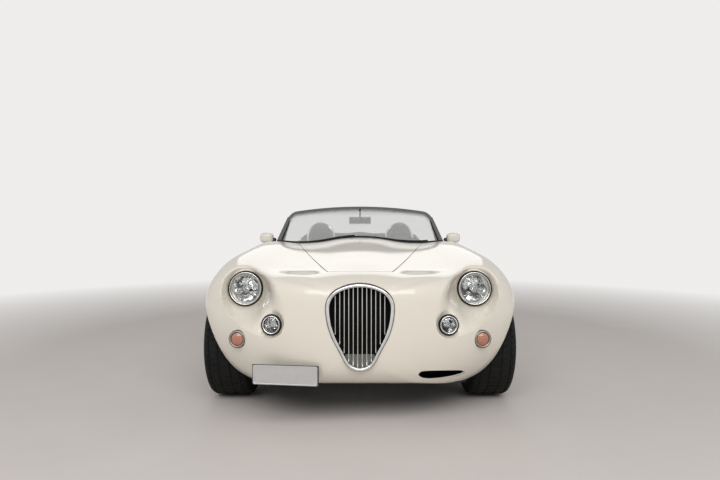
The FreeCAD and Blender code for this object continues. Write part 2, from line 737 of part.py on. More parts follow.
def make_roll_hoops():
    """Two low hoops behind the seats, each a bar bent over on two legs."""
    y = COCKPIT_REAR_Y - 22.0
    legs_z = FLOOR_Z + FLOOR_T
    hoops = []
    bend_z = HEAD_TOP_Z - HOOP_DROP - HOOP_HALF
    reach = HOOP_HALF + 2.0 * HOOP_BAR_R
    for x in (-SEAT_X, SEAT_X):
        left = rod(V(x - HOOP_HALF, y, legs_z), V(x - HOOP_HALF, y, bend_z), HOOP_BAR_R)
        right = rod(V(x + HOOP_HALF, y, legs_z), V(x + HOOP_HALF, y, bend_z), HOOP_BAR_R)
        bend = Part.makeTorus(HOOP_HALF, HOOP_BAR_R, V(x, y, bend_z), V(0, 1, 0))
        bend = bend.common(box(x - reach, x + reach, y - 50.0, y + 50.0, bend_z, bend_z + reach))
        hoops.append(fuse([left, right, bend]))
    return Part.makeCompound(hoops)


def screen_strip(z, middle_y, sag, thickness):
    """A bowed strip across the car at one height, thick along the car."""
    h = thickness / 2.0
    ends = middle_y + sag
    edges = [
        Part.Arc(V(-SCREEN_HALF, ends - h, z), V(0, middle_y - h, z), V(SCREEN_HALF, ends - h, z)).toShape(),
        Part.LineSegment(V(SCREEN_HALF, ends - h, z), V(SCREEN_HALF, ends + h, z)).toShape(),
        Part.Arc(V(SCREEN_HALF, ends + h, z), V(0, middle_y + h, z), V(-SCREEN_HALF, ends + h, z)).toShape(),
        Part.LineSegment(V(-SCREEN_HALF, ends + h, z), V(-SCREEN_HALF, ends - h, z)).toShape(),
    ]
    return Part.Wire(edges)


def screen_slab(thickness):
    """The windscreen's curved slab, raked back, thicker along the car than across its own face."""
    slope = (SCREEN_TOP_Y - SCREEN_LOW_Y) / (SCREEN_TOP_Z - SCREEN_LOW_Z)
    along = thickness * math.sqrt(1.0 + slope * slope)
    low = screen_strip(SCREEN_LOW_Z, SCREEN_LOW_Y, SCREEN_LOW_SAG, along)
    top = screen_strip(SCREEN_TOP_Z, SCREEN_TOP_Y, SCREEN_TOP_SAG, along)
    return Part.makeLoft([low, top], True, True)


def screen_front(inset):
    """The windscreen's outline seen from the front, drawn in by inset: straight posts, round corners
    and a bowed top."""
    low_x = SCREEN_EDGE_LOW_X - inset
    top_x = SCREEN_EDGE_TOP_X - inset
    r = SCREEN_CORNER_R - inset * 0.6
    corner_z = SCREEN_CORNER_Z - inset
    y = -900.0
    low_z = SCREEN_LOW_Z - 20.0
    post_top = V(top_x, y, corner_z - r)
    post_foot = V(low_x, y, low_z)
    rail = V(top_x - r, y, corner_z + r * 0.14)
    post_way = post_top.sub(post_foot).normalize()
    crown = V(0, y, SCREEN_CROWN_Z - inset)
    half = [
        Part.LineSegment(post_foot, post_top).toShape(),
        arc(post_top, post_way, rail),
    ]
    mirrored = [other_side(edge) for edge in half]
    top = Part.Arc(rail, crown, V(-rail.x, y, rail.z)).toShape()
    base = Part.LineSegment(V(-low_x, y, low_z), post_foot).toShape()
    return Part.Wire(Part.__sortEdges__(half + [top] + mirrored + [base]))


def make_screen_frame(hull):
    """The windscreen's frame, open below where it stands on the body."""
    outer = prism(screen_front(0.0), V(0, 1800.0, 0))
    inner = prism(screen_front(SCREEN_FRAME_W), V(0, 1800.0, 0))
    return screen_slab(SCREEN_FRAME_T).common(outer).cut(inner).cut(hull)


def make_screen_glass(hull):
    """The windscreen's glass, within its frame."""
    inner = prism(screen_front(SCREEN_FRAME_W), V(0, 1800.0, 0))
    return screen_slab(GLASS_T).common(inner).cut(hull)


def column_way():
    """The direction from the steering wheel forwards and down along its column."""
    tilt = math.radians(COLUMN_TILT)
    return V(0, -math.cos(tilt), -math.sin(tilt))


def make_steering_wheel():
    """A three-spoke steering wheel with a bored boss."""
    centre = V(WHEEL_X, WHEEL_Y, WHEEL_Z)
    way = column_way()
    rim = Part.makeTorus(WHEEL_R, WHEEL_GRIP_R)
    pieces = [rim, Part.makeCylinder(40.0, 46.0, V(0, 0, -4.0))]
    for angle in (0.0, 180.0, 270.0):
        spoke = box(20.0, WHEEL_R - 4.0, -13.0, 13.0, -3.0, 4.0)
        spoke.rotate(V(0, 0, 0), V(0, 0, 1), angle)
        pieces.append(spoke)
    wheel = fuse(pieces)
    wheel = wheel.cut(Part.makeCylinder(SHAFT_R + PIN_PLAY, 42.0, V(0, 0, 10.0)))
    wheel.Placement = FreeCAD.Placement(centre, FreeCAD.Rotation(V(0, 0, 1), way))
    return wheel


def make_steering_column():
    """The column's jacket from the bulkhead to behind the wheel, with the shaft standing out of it."""
    centre = V(WHEEL_X, WHEEL_Y, WHEEL_Z)
    way = column_way()
    jacket_start = centre.add(V(way).multiply(42.0 + SHUT_GAP))
    length = (centre.y - COCKPIT_FRONT_Y) / math.cos(math.radians(COLUMN_TILT))
    jacket = rod(jacket_start, centre.add(V(way).multiply(length)), COLUMN_R)
    shaft = rod(centre.add(V(way).multiply(14.0)), jacket_start.add(V(way).multiply(20.0)), SHAFT_R)
    jacket = jacket.common(box(-900.0, 900.0, COCKPIT_FRONT_Y, 900.0, 0.0, 1200.0))
    return fuse([jacket, shaft])


def make_dashboard():
    """The dashboard across the cockpit under the scuttle, with a hooded bulge for the gauges."""
    front = COCKPIT_OPEN_Y - 150.0
    rear = COCKPIT_OPEN_Y + 70.0
    top = SCUTTLE_UNDER_Z
    edges = [
        Part.LineSegment(V(0, front, top), V(0, front, 610.0)).toShape(),
        Part.LineSegment(V(0, front, 610.0), V(0, rear - 60.0, 560.0)).toShape(),
        Part.Arc(V(0, rear - 60.0, 560.0), V(0, rear - 5.0, 590.0), V(0, rear, 650.0)).toShape(),
        Part.LineSegment(V(0, rear, 650.0), V(0, rear - 12.0, 790.0)).toShape(),
        Part.Arc(V(0, rear - 12.0, 790.0), V(0, rear - 32.0, 826.0), V(0, COCKPIT_OPEN_Y, 838.0)).toShape(),
        Part.LineSegment(V(0, COCKPIT_OPEN_Y, 838.0), V(0, COCKPIT_OPEN_Y, top)).toShape(),
        Part.LineSegment(V(0, COCKPIT_OPEN_Y, top), V(0, front, top)).toShape(),
    ]
    half = COCKPIT_HALF - SEAT_GAP
    dash = prism(Part.Wire(edges), V(2.0 * half, 0, 0))
    dash.translate(V(-half, 0, 0))
    centre = V(WHEEL_X, WHEEL_Y, WHEEL_Z)
    way = column_way()
    tunnel = rod(centre, centre.add(V(way).multiply(700.0)), COLUMN_R + SEAT_GAP)
    return dash.cut(tunnel)


def make_levers():
    """The gear lever with its knob and boot, and the handbrake lever beside it, on the tunnel."""
    top = TUNNEL_TOP_Z
    boot = Part.makeCone(46.0, 20.0, 46.0, V(0, GEAR_Y, top))
    stick = rod(V(0, GEAR_Y, top + 30.0), V(0, GEAR_Y + 8.0, top + 118.0), 7.0)
    knob = Part.makeSphere(23.0, V(0, GEAR_Y + 9.0, top + 126.0))
    gear = fuse([boot, stick, knob])
    foot = box(-18.0, 18.0, BRAKE_Y - 30.0, BRAKE_Y + 40.0, top, top + 26.0)
    bar = rod(V(0, BRAKE_Y, top + 18.0), V(0, BRAKE_Y - 190.0, top + 62.0), 12.0)
    return Part.makeCompound([gear, fuse([foot, bar])])


def make_mirror(door):
    """The left door mirror: a shell turned about an axis across the car, with a flat back, a ball at its
    inner end and a stalk that stands on the door."""
    centre = V(MIRROR_X, MIRROR_Y, MIRROR_Z)
    w = MIRROR_HALF_W
    r = MIRROR_R
    edges = [
        Part.LineSegment(V(-w, 0, 0), V(w, 0, 0)).toShape(),
        Part.Arc(V(w, 0, 0), V(w * 0.87, 0, r * 0.6), V(w * 0.4, 0, r * 0.95)).toShape(),
        Part.Arc(V(w * 0.4, 0, r * 0.95), V(0, 0, r), V(-w * 0.4, 0, r * 0.95)).toShape(),
        Part.Arc(V(-w * 0.4, 0, r * 0.95), V(-w * 0.87, 0, r * 0.6), V(-w, 0, 0)).toShape(),
    ]
    shell = Part.Face(Part.Wire(edges)).revolve(V(0, 0, 0), V(1, 0, 0), 360)
    shell.translate(centre)
    behind = box(centre.x - 200.0, centre.x + 200.0, centre.y + MIRROR_BACK, centre.y + 200.0, 0.0, 1500.0)
    shell = shell.cut(behind)
    ball_at = V(MIRROR_BALL_X, MIRROR_Y, MIRROR_Z)
    ball = Part.makeSphere(MIRROR_BALL_R, ball_at)
    stalk = rod(V(MIRROR_BALL_X - 4.0, MIRROR_Y - 6.0, MIRROR_Z - 90.0), ball_at, MIRROR_STALK_R)
    neck = rod(ball_at, V(centre.x - 30.0, centre.y, centre.z), MIRROR_STALK_R - 2.0)
    return fuse([shell, ball, neck, stalk.cut(door)])


def make_interior_mirror(frame):
    """The mirror behind the windscreen's top, on a short arm from the frame."""
    housing = box(-92.0, 92.0, 78.0, 96.0, 1024.0, 1082.0)
    arm = rod(V(0, 84.0, 1070.0), V(0, 18.0, 1154.0), 7.0)
    return fuse([housing, arm]).cut(frame)


def lamp_solid(name, front, back):
    """A lamp's body along its axis, from back to front of its face."""
    centre, look, radius, _ = lamp_frame(name)
    return rod(centre.add(V(look).multiply(back)), centre.add(V(look).multiply(front)), radius)


def domed(name, inset, rise, thickness):
    """A lamp's bowed lens within its ring."""
    centre, look, radius, _ = lamp_frame(name)
    r = radius - inset
    sphere_r = (r * r + rise * rise) / (2.0 * rise)
    outer = Part.makeSphere(sphere_r, centre.add(V(look).multiply(rise - sphere_r)))
    barrel = rod(centre, centre.add(V(look).multiply(60.0)), r)
    base = rod(centre.sub(V(look).multiply(thickness)), centre, r)
    return fuse([outer.common(barrel), base])


def make_lamp(name):
    """A lamp's ring and bowl: a cup open to the front."""
    centre, look, radius, depth = lamp_frame(name)
    cup = lamp_solid(name, 6.0, -depth)
    hollow = rod(
        centre.sub(V(look).multiply(depth - 12.0)), centre.add(V(look).multiply(20.0)), radius - LAMP_RING
    )
    return cup.cut(hollow)


def make_pod(name, wall, length):
    """A round-backed pod that carries a lamp and runs back into the body."""
    centre, look, radius, _ = lamp_frame(name)
    r = radius + wall
    front = Part.makeCylinder(r, length * 0.35, centre, V(look).multiply(-1.0))
    shoulder = centre.sub(V(look).multiply(length * 0.35))
    back = Part.makeCone(r, r * 0.35, length * 0.65, shoulder, V(look).multiply(-1.0))
    return front.fuse(back)


def lamp_trough():
    """The hollow that runs from the headlamp down and inwards to the driving lamp, and to the indicator."""
    head, head_look, head_r, _ = lamp_frame("headlamp")
    drive, drive_look, drive_r, _ = lamp_frame("driving_lamp")
    start = head.add(V(head_look).multiply(head_r + 24.0)).add(V(0, 0, 16.0))
    end = drive.add(V(drive_look).multiply(drive_r + 30.0)).add(V(0, 0, 8.0))
    axis = end.sub(start)
    slope = Part.makeCone(head_r + 26.0, drive_r + 24.0, axis.Length, start, axis)
    ball = Part.makeSphere(head_r + 26.0, start)
    return slope.fuse(ball)


def with_mirrors(shapes):
    """Shapes of the left side and their mirror images in one list."""
    return shapes + [other_side(shape) for shape in shapes]


def body_shell(hull):
    """The hull with the lamps' troughs, pods and pockets and with the wheel wells."""
    pods = [make_pod("headlamp", POD_WALL, 420.0), make_pod("driving_lamp", POD_WALL, 190.0)]
    hollows = [lamp_pocket(name) for name in LAMPS]
    for x, y, radius in (
        (FRONT_WELL_X, FRONT_AXLE_Y, ARCH_R),
        (REAR_WELL_X, REAR_AXLE_Y, REAR_ARCH_R),
    ):
        hollows.append(rod(V(x, y, TYRE_R), V(1100.0, y, TYRE_R), radius))
    shape = hull.cut(with_mirrors([lamp_trough()]))
    shape = shape.multiFuse(with_mirrors(pods))
    return shape.cut(with_mirrors(hollows))


def eye_axis(hull, panel_front_y):
    """Where a panel's hinge axis lies: ahead of its front edge and just under the hull's crown."""
    y = panel_front_y - EYE_LEAD
    crown = hull.common(Part.makeLine(V(0, y, 0), V(0, y, 1500.0))).BoundBox.ZMax
    return y, crown - EYE_SINK


def panel_eyes(hull, panel_front_y):
    """The eyes of a bonnet or lid, each with an arm into the panel, and the holes for their pins."""
    eyes = []
    y, z = eye_axis(hull, panel_front_y)
    for way in (-1, 1):
        low, high = sorted((way * EYE_X0, way * EYE_X1))
        barrel = rod(V(low, y, z), V(high, y, z), EYE_R)
        arm = box(low, high, y, y + EYE_LEAD + 16.0, z - EYE_R + 1.0, z + EYE_R - 3.0)
        hole = rod(V(low - 1.0, y, z), V(high + 1.0, y, z), EYE_PIN_R + PIN_PLAY)
        eyes.append(barrel.fuse(arm).cut(hole))
    return eyes


def eye_pockets(hull, panel_front_y):
    """The space in the body around the eyes, open above, and the pins that cross it."""
    pockets = []
    pins = []
    r = EYE_R + SHUT_GAP
    y, z = eye_axis(hull, panel_front_y)
    for way in (-1, 1):
        low, high = sorted((way * (EYE_X0 - SHUT_GAP), way * (EYE_X1 + SHUT_GAP)))
        c = r * math.sqrt(0.5)
        back = y + EYE_LEAD + 14.0
        above = z + 80.0
        edges = [
            Part.LineSegment(V(low, y - r, above), V(low, y - r, z)).toShape(),
            Part.Arc(V(low, y - r, z), V(low, y - c, z - c), V(low, y, z - r)).toShape(),
            Part.LineSegment(V(low, y, z - r), V(low, back, z - r)).toShape(),
            Part.LineSegment(V(low, back, z - r), V(low, back, above)).toShape(),
            Part.LineSegment(V(low, back, above), V(low, y - r, above)).toShape(),
        ]
        pockets.append(prism(Part.Wire(edges), V(high - low, 0, 0)))
        pins.append(rod(V(low - 6.0, y, z), V(high + 6.0, y, z), EYE_PIN_R))
    return pockets, pins


def make_panel(hull, plan):
    """A bonnet or lid: the hull's skin within a plan outline."""
    under = hull.copy()
    under.translate(V(0, 0, -PANEL))
    return hull.common(tall(plan, 300.0, 1100.0)).cut(under)


def panel_recess(hull, plan):
    """The space a panel lies in: its outline grown by the shut gap, down to just under its skin."""
    under = hull.copy()
    under.translate(V(0, 0, -PANEL - SHUT_GAP))
    return tall(plan, 300.0, 1100.0).cut(under)


def hinge_leaves():
    """A door's two hinge leaves and pins on the body, and the slots and bores for them in the door."""
    leaves = []
    slots = []
    for z in HINGE_HEIGHTS:
        centre = V(DOOR_HINGE_X, DOOR_HINGE_Y, z)
        leaf = box(0.0, HINGE_LEAF_REACH, -HINGE_LEAF_W / 2.0, HINGE_LEAF_W / 2.0, 0.0, HINGE_LEAF_T)
        leaf.rotate(V(0, 0, 0), V(0, 0, 1), HINGE_LEAF_ANGLE)
        leaf.translate(centre)
        knuckle = Part.makeCylinder(HINGE_LEAF_W / 2.0 + 2.0, HINGE_LEAF_T, centre)
        pin = Part.makeCylinder(HINGE_PIN_R, HINGE_LEAF_T + 40.0, centre.sub(V(0, 0, 20.0)))
        leaves.append(fuse([leaf, knuckle, pin]))
        slot = box(
            DOOR_INNER_X - 20.0, DOOR_HINGE_X + 18.0, DOOR_HINGE_Y - 90.0, DOOR_HINGE_Y + 18.0,
            z - SHUT_GAP, z + HINGE_LEAF_T + SHUT_GAP,
        )
        bore = Part.makeCylinder(HINGE_PIN_R + PIN_PLAY, HINGE_LEAF_T + 42.0, centre.sub(V(0, 0, 21.0)))
        slots.append(slot.fuse(bore))
    return leaves, slots


def make_body_front(shell, hull):
    """Nose, front wings and scuttle in one, with the engine bay, footwells, grille duct and jambs."""
    bay = box(-BAY_HALF, BAY_HALF, BAY_FRONT_Y, BAY_REAR_Y, 0.0, 1100.0)
    nose = Part.makeCylinder(
        DOOR_NOSE_R + SHUT_GAP, 800.0, V(DOOR_HINGE_X, DOOR_HINGE_Y, DOOR_BOTTOM_Z - SHUT_GAP)
    )
    pockets, pins = eye_pockets(hull, BONNET_FRONT_Y)
    hollows = [
        box(-COCKPIT_HALF, COCKPIT_HALF, COCKPIT_FRONT_Y, 0.0, 0.0, SCUTTLE_UNDER_Z),
        bay.common(tall(bonnet_plan(-LEDGE), 0.0, 1100.0)),
        box(-BAY_HALF, BAY_HALF, BAY_FRONT_Y, BAY_REAR_Y, 0.0, BAY_UNDER_Z),
        panel_recess(hull, bonnet_plan(SHUT_GAP)),
        egg_block(GRILLE_RING * 0.5, GRILLE_FACE_Y - 5.0, BAY_FRONT_Y + 10.0),
        egg_block(-SEAT_GAP, GRILLE_FACE_Y - 5.0, GRILLE_FACE_Y + GRILLE_DEPTH),
    ]
    hollows += with_mirrors([lower_slot(), nose])
    body = shell.common(box(-1000.0, 1000.0, -2000.0, COCKPIT_OPEN_Y, 0.0, 1100.0))
    body = body.cut(hollows).cut(pockets)
    leaves, _ = hinge_leaves()
    return fuse([body] + pins + with_mirrors(leaves))


def lower_slot():
    """The slot intake low in the nose on the left, round at its inner end and pointed at its outer end."""
    half = SLOT_H / 2.0
    inner = SLOT_INNER_X + half
    above = V(inner, SLOT_FRONT_Y, SLOT_Z + half)
    below = V(inner, SLOT_FRONT_Y, SLOT_Z - half)
    point = V(SLOT_OUTER_X, SLOT_FRONT_Y, SLOT_Z + half - 6.0)
    edges = [
        Part.Arc(above, V(SLOT_INNER_X, SLOT_FRONT_Y, SLOT_Z), below).toShape(),
        Part.LineSegment(below, point).toShape(),
        Part.LineSegment(point, above).toShape(),
    ]
    return prism(Part.Wire(edges), V(0, SLOT_DEPTH, 0))


def make_body_rear(shell, hull):
    """Rear wings and deck in one, with the boot, the jambs of the doors and the space for the axle."""
    boot = box(-BOOT_HALF, BOOT_HALF, BOOT_FRONT_Y, BOOT_END_Y, BOOT_FLOOR_Z, 1100.0)
    axle_half = REAR_WELL_X + 5.0
    roof_half = ROOF_HALF + SEAT_GAP
    pockets, pins = eye_pockets(hull, LID_FRONT_Y)
    hollows = [
        box(-COCKPIT_HALF, COCKPIT_HALF, 0.0, COCKPIT_REAR_Y, 0.0, 1100.0),
        boot.common(tall(lid_plan(-LEDGE), 0.0, 1100.0)),
        box(-BOOT_HALF, BOOT_HALF, BOOT_FRONT_Y, BOOT_END_Y, BOOT_FLOOR_Z, BAY_UNDER_Z),
        panel_recess(hull, lid_plan(SHUT_GAP)),
        box(-axle_half, axle_half, REAR_AXLE_Y - 230.0, REAR_AXLE_Y + 230.0, 0.0, UNDERBODY_Z),
        box(-400.0, 400.0, REAR_AXLE_Y + 200.0, 1990.0, 0.0, UNDERBODY_Z),
        box(-roof_half, roof_half, 0.0, ROOF_REAR_Y + SEAT_GAP, ROOF_BASE_Z, 1100.0),
        box(
            -REAR_PLATE_W / 2.0 - 12.0, REAR_PLATE_W / 2.0 + 12.0, REAR_PLATE_Y, 2000.0,
            REAR_PLATE_Z - REAR_PLATE_H / 2.0 - 12.0, REAR_PLATE_Z + REAR_PLATE_H / 2.0 + 12.0,
        ),
    ]
    body = shell.common(box(-1000.0, 1000.0, REAR_BODY_Y, 2000.0, 0.0, 1100.0))
    body = body.cut(hollows + with_mirrors([door_block(SHUT_GAP)])).cut(pockets)
    return fuse([body] + pins)


def make_sills(hull):
    """The two sills under the doors, joining front and rear body."""
    block = box(COCKPIT_HALF, 1000.0, COCKPIT_OPEN_Y, REAR_BODY_Y, 0.0, DOOR_BOTTOM_Z - SHUT_GAP)
    pads = [
        box(JACK_PAD_X0, JACK_PAD_X1, y - JACK_PAD_HALF, y + JACK_PAD_HALF, JACK_PAD_Z, FLOOR_Z + 20.0)
        for y in JACK_PAD_Y
    ]
    return both_sides(fuse([hull.common(block)] + pads))


def make_door(shell):
    """The left door: the hull's side from the sill up, as thick as the whole door."""
    door = shell.common(door_block(0.0))
    _, slots = hinge_leaves()
    return door.cut(slots)


def make_floor():
    """The floor pan with its raised tunnel."""
    floor = box(-COCKPIT_HALF, COCKPIT_HALF, COCKPIT_FRONT_Y, COCKPIT_REAR_Y, FLOOR_Z, FLOOR_Z + FLOOR_T)
    tunnel = box(-TUNNEL_HALF, TUNNEL_HALF, COCKPIT_FRONT_Y, TUNNEL_REAR_Y, FLOOR_Z, TUNNEL_TOP_Z)
    inside = box(
        -TUNNEL_HALF + 12.0, TUNNEL_HALF - 12.0, COCKPIT_FRONT_Y - 1.0, TUNNEL_REAR_Y - 12.0,
        FLOOR_Z - 1.0, TUNNEL_TOP_Z - 12.0,
    )
    return fuse([floor, tunnel]).cut(inside)


def make_grille_frame():
    """The bright ring round the grille."""
    outer = egg_block(0.0, GRILLE_FACE_Y, GRILLE_FACE_Y + GRILLE_DEPTH)
    inner = egg_block(GRILLE_RING, GRILLE_FACE_Y - 1.0, GRILLE_FACE_Y + GRILLE_DEPTH + 1.0)
    return outer.cut(inner)


def make_grille_bars():
    """Twelve upright bars in the ring's opening, carried by a rail behind them."""
    y0 = GRILLE_FACE_Y + 8.0
    inside = egg_block(GRILLE_RING + SEAT_GAP, y0 - 1.0, y0 + 60.0)
    pieces = []
    for number in range(BARS):
        x = (number - (BARS - 1) / 2.0) * BAR_PITCH
        bar = box(x - BAR_W / 2.0, x + BAR_W / 2.0, y0, y0 + BAR_DEPTH, GRILLE_BOTTOM_Z, GRILLE_TOP_Z)
        pieces.append(bar.common(inside))
    back = y0 + BAR_DEPTH
    rail = box(-GRILLE_HALF, GRILLE_HALF, back - BAR_W, back, RAIL_Z - RAIL_H / 2.0, RAIL_Z + RAIL_H / 2.0)
    pieces.append(rail.common(inside))
    return fuse(pieces)


def make_exhaust():
    """Silencer across the tail and four tail pipes in two pairs."""
    silencer = box(-SILENCER_HALF, SILENCER_HALF, SILENCER_Y0, SILENCER_Y1, SILENCER_BOTTOM_Z, UNDERBODY_Z)
    pipes = [rod(V(x, PIPE_Y0, PIPE_Z), V(x, PIPE_END_Y, PIPE_Z), PIPE_R) for x in PIPE_X]
    bore_end = PIPE_END_Y + 20.0
    bores = [
        rod(V(x, PIPE_BORE_Y0, PIPE_Z), V(x, bore_end, PIPE_Z), PIPE_R - PIPE_WALL) for x in PIPE_X
    ]
    return fuse([silencer] + pipes).cut(bores)


def make_plates(hull):
    """The two blank plates, the front one with the bracket that carries it on the nose."""
    half_w = FRONT_PLATE_W / 2.0
    half_h = FRONT_PLATE_H / 2.0
    plate = box(-half_w, half_w, 0.0, PLATE_T, -half_h, half_h)
    bracket = box(-FRONT_PLATE_W / 4.0, FRONT_PLATE_W / 3.0, PLATE_T - 1.0, 140.0, -12.0, 26.0)
    front = plate.fuse(bracket)
    front.rotate(V(0, 0, 0), V(0, 0, 1), FRONT_PLATE_TURN)
    front.translate(V(FRONT_PLATE_X, FRONT_PLATE_Y, FRONT_PLATE_Z))
    front = front.cut(hull)
    rear = box(
        -REAR_PLATE_W / 2.0, REAR_PLATE_W / 2.0, REAR_PLATE_Y, REAR_PLATE_Y + PLATE_T,
        REAR_PLATE_Z - REAR_PLATE_H / 2.0, REAR_PLATE_Z + REAR_PLATE_H / 2.0,
    )
    return Part.makeCompound([front, rear])


def main():
    """Build every piece and write it out under its own name."""
    os.makedirs("parts", exist_ok=True)
    hull = make_hull()
    shell = body_shell(hull)
    wheel_x = FRONT_TRACK / 2.0
    rear_x = REAR_TRACK / 2.0
    front_tyre = placed_wheel(make_tyre(FRONT_TYRE_W), wheel_x, FRONT_AXLE_Y)
    rear_tyre = placed_wheel(make_tyre(REAR_TYRE_W), rear_x, REAR_AXLE_Y)
    front_rim = placed_wheel(make_rim(FRONT_TYRE_W), wheel_x, FRONT_AXLE_Y)
    rear_rim = placed_wheel(make_rim(REAR_TYRE_W), rear_x, REAR_AXLE_Y)
    knuckle = make_knuckle()
    door = make_door(shell)
    mirror = make_mirror(door)
    screen_frame = make_screen_frame(hull)
    seat = make_seat()
    bonnet = fuse([make_panel(hull, bonnet_plan(0.0))] + panel_eyes(hull, BONNET_FRONT_Y))
    lid = fuse([make_panel(hull, lid_plan(0.0))] + panel_eyes(hull, LID_FRONT_Y))
    nodes = {
        "body_front": make_body_front(shell, hull),
        "body_rear": make_body_rear(shell, hull),
        "sills": make_sills(hull),
        "floor_pan": make_floor(),
        "bonnet": bonnet,
        "boot_lid": lid,
        "door_left": door,
        "door_right": other_side(door),
        "mirror_left": mirror,
        "mirror_right": other_side(mirror),
        "dashboard": make_dashboard(),
        "seat_left": seat,
        "seat_right": other_side(seat),
        "steering_wheel": make_steering_wheel(),
        "steering_column": make_steering_column(),
        "levers": make_levers(),
        "windscreen_frame": screen_frame,
        "windscreen_glass": make_screen_glass(hull),
        "interior_mirror": make_interior_mirror(screen_frame),
        "roll_hoops": make_roll_hoops(),
        "folded_roof": make_folded_roof(),
        "headlamps": both_sides(make_lamp("headlamp")),
        "headlamp_lenses": both_sides(domed("headlamp", LAMP_RING + SEAT_GAP, 26.0, 4.0)),
        "driving_lamps": both_sides(make_lamp("driving_lamp")),
        "driving_lamp_lenses": both_sides(domed("driving_lamp", LAMP_RING + SEAT_GAP, 10.0, 4.0)),
        "indicators": both_sides(lamp_solid("indicator", 10.0, -50.0)),
        "tail_lamps": both_sides(lamp_solid("tail_lamp", 12.0, -60.0)),
        "reverse_lamps": both_sides(lamp_solid("reverse_lamp", 8.0, -50.0)),
        "plates": make_plates(hull),
        "grille_frame": make_grille_frame(),
        "grille_bars": make_grille_bars(),
        "exhaust": make_exhaust(),
        "engine": box(-ENGINE_HALF, ENGINE_HALF, ENGINE_FRONT_Y, ENGINE_REAR_Y, BEAM_TOP_Z, ENGINE_TOP_Z),
        "front_suspension": make_front_suspension(),
        "rear_axle": make_rear_axle(),
        "knuckle_left": knuckle,
        "knuckle_right": other_side(knuckle),
        "tyre_front_left": front_tyre,
        "tyre_front_right": other_side(front_tyre),
        "tyre_rear_left": rear_tyre,
        "tyre_rear_right": other_side(rear_tyre),
        "rim_front_left": front_rim,
        "rim_front_right": other_side(front_rim),
        "rim_rear_left": rear_rim,
        "rim_rear_right": other_side(rear_rim),
    }
    for name, shape in nodes.items():
        shape.exportStep("parts/" + name + ".step")


main()
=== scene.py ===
import logging
import math
from collections.abc import Callable, Sequence
from dataclasses import dataclass, field
from enum import Enum

import bpy
import numpy as np
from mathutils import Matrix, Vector


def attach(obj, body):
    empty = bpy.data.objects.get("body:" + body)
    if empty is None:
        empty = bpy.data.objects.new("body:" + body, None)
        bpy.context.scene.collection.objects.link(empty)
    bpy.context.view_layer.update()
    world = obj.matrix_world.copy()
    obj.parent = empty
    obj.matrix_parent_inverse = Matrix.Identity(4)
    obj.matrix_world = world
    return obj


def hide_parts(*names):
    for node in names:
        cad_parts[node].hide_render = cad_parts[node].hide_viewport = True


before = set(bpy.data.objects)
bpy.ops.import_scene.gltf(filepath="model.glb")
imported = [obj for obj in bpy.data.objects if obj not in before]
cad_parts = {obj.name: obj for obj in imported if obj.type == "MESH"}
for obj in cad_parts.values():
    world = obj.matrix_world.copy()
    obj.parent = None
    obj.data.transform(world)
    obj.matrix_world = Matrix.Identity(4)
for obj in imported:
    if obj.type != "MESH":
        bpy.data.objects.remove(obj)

LOG = logging.getLogger("roadster")
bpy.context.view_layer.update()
Array = np.ndarray
UP = np.array([0.0, 0.0, 1.0])
# Wall of pressed or moulded shells, in metres.
THIN_WALL = 0.003
# Steps round turned pieces, from large bright rings down to small rods.
TURN_FINEST = 96
TURN_FINE = 80
TURN_MIDDLE = 64
TURN_PLAIN = 48
TURN_COARSE = 40
TURN_SMALL = 24
TURN_LEAST = 16
# Points between two given ones along a curve, then points round a corner, a circle and an outline.
CURVE_STEPS = 6
CURVE_STEPS_FEW = 5
CORNER_STEPS = 8
CORNER_STEPS_FEW = 4
CIRCLE_STEPS = 16
CIRCLE_STEPS_FEW = 8
OUTLINE_STEPS = 120
OUTLINE_STEPS_FINE = 260
# Radii of the edges of blocks, in metres.
EDGE_SOFT = 0.003
EDGE_ROUND = 0.004


class Side(Enum):
    """A side of the car. The value is the sign of X there."""

    LEFT = 1.0
    RIGHT = -1.0

    @property
    def word(self) -> str:
        """The side's name as piece names use it."""
        return self.name.lower()


SIDES = (Side.LEFT, Side.RIGHT)


# Meshes as arrays


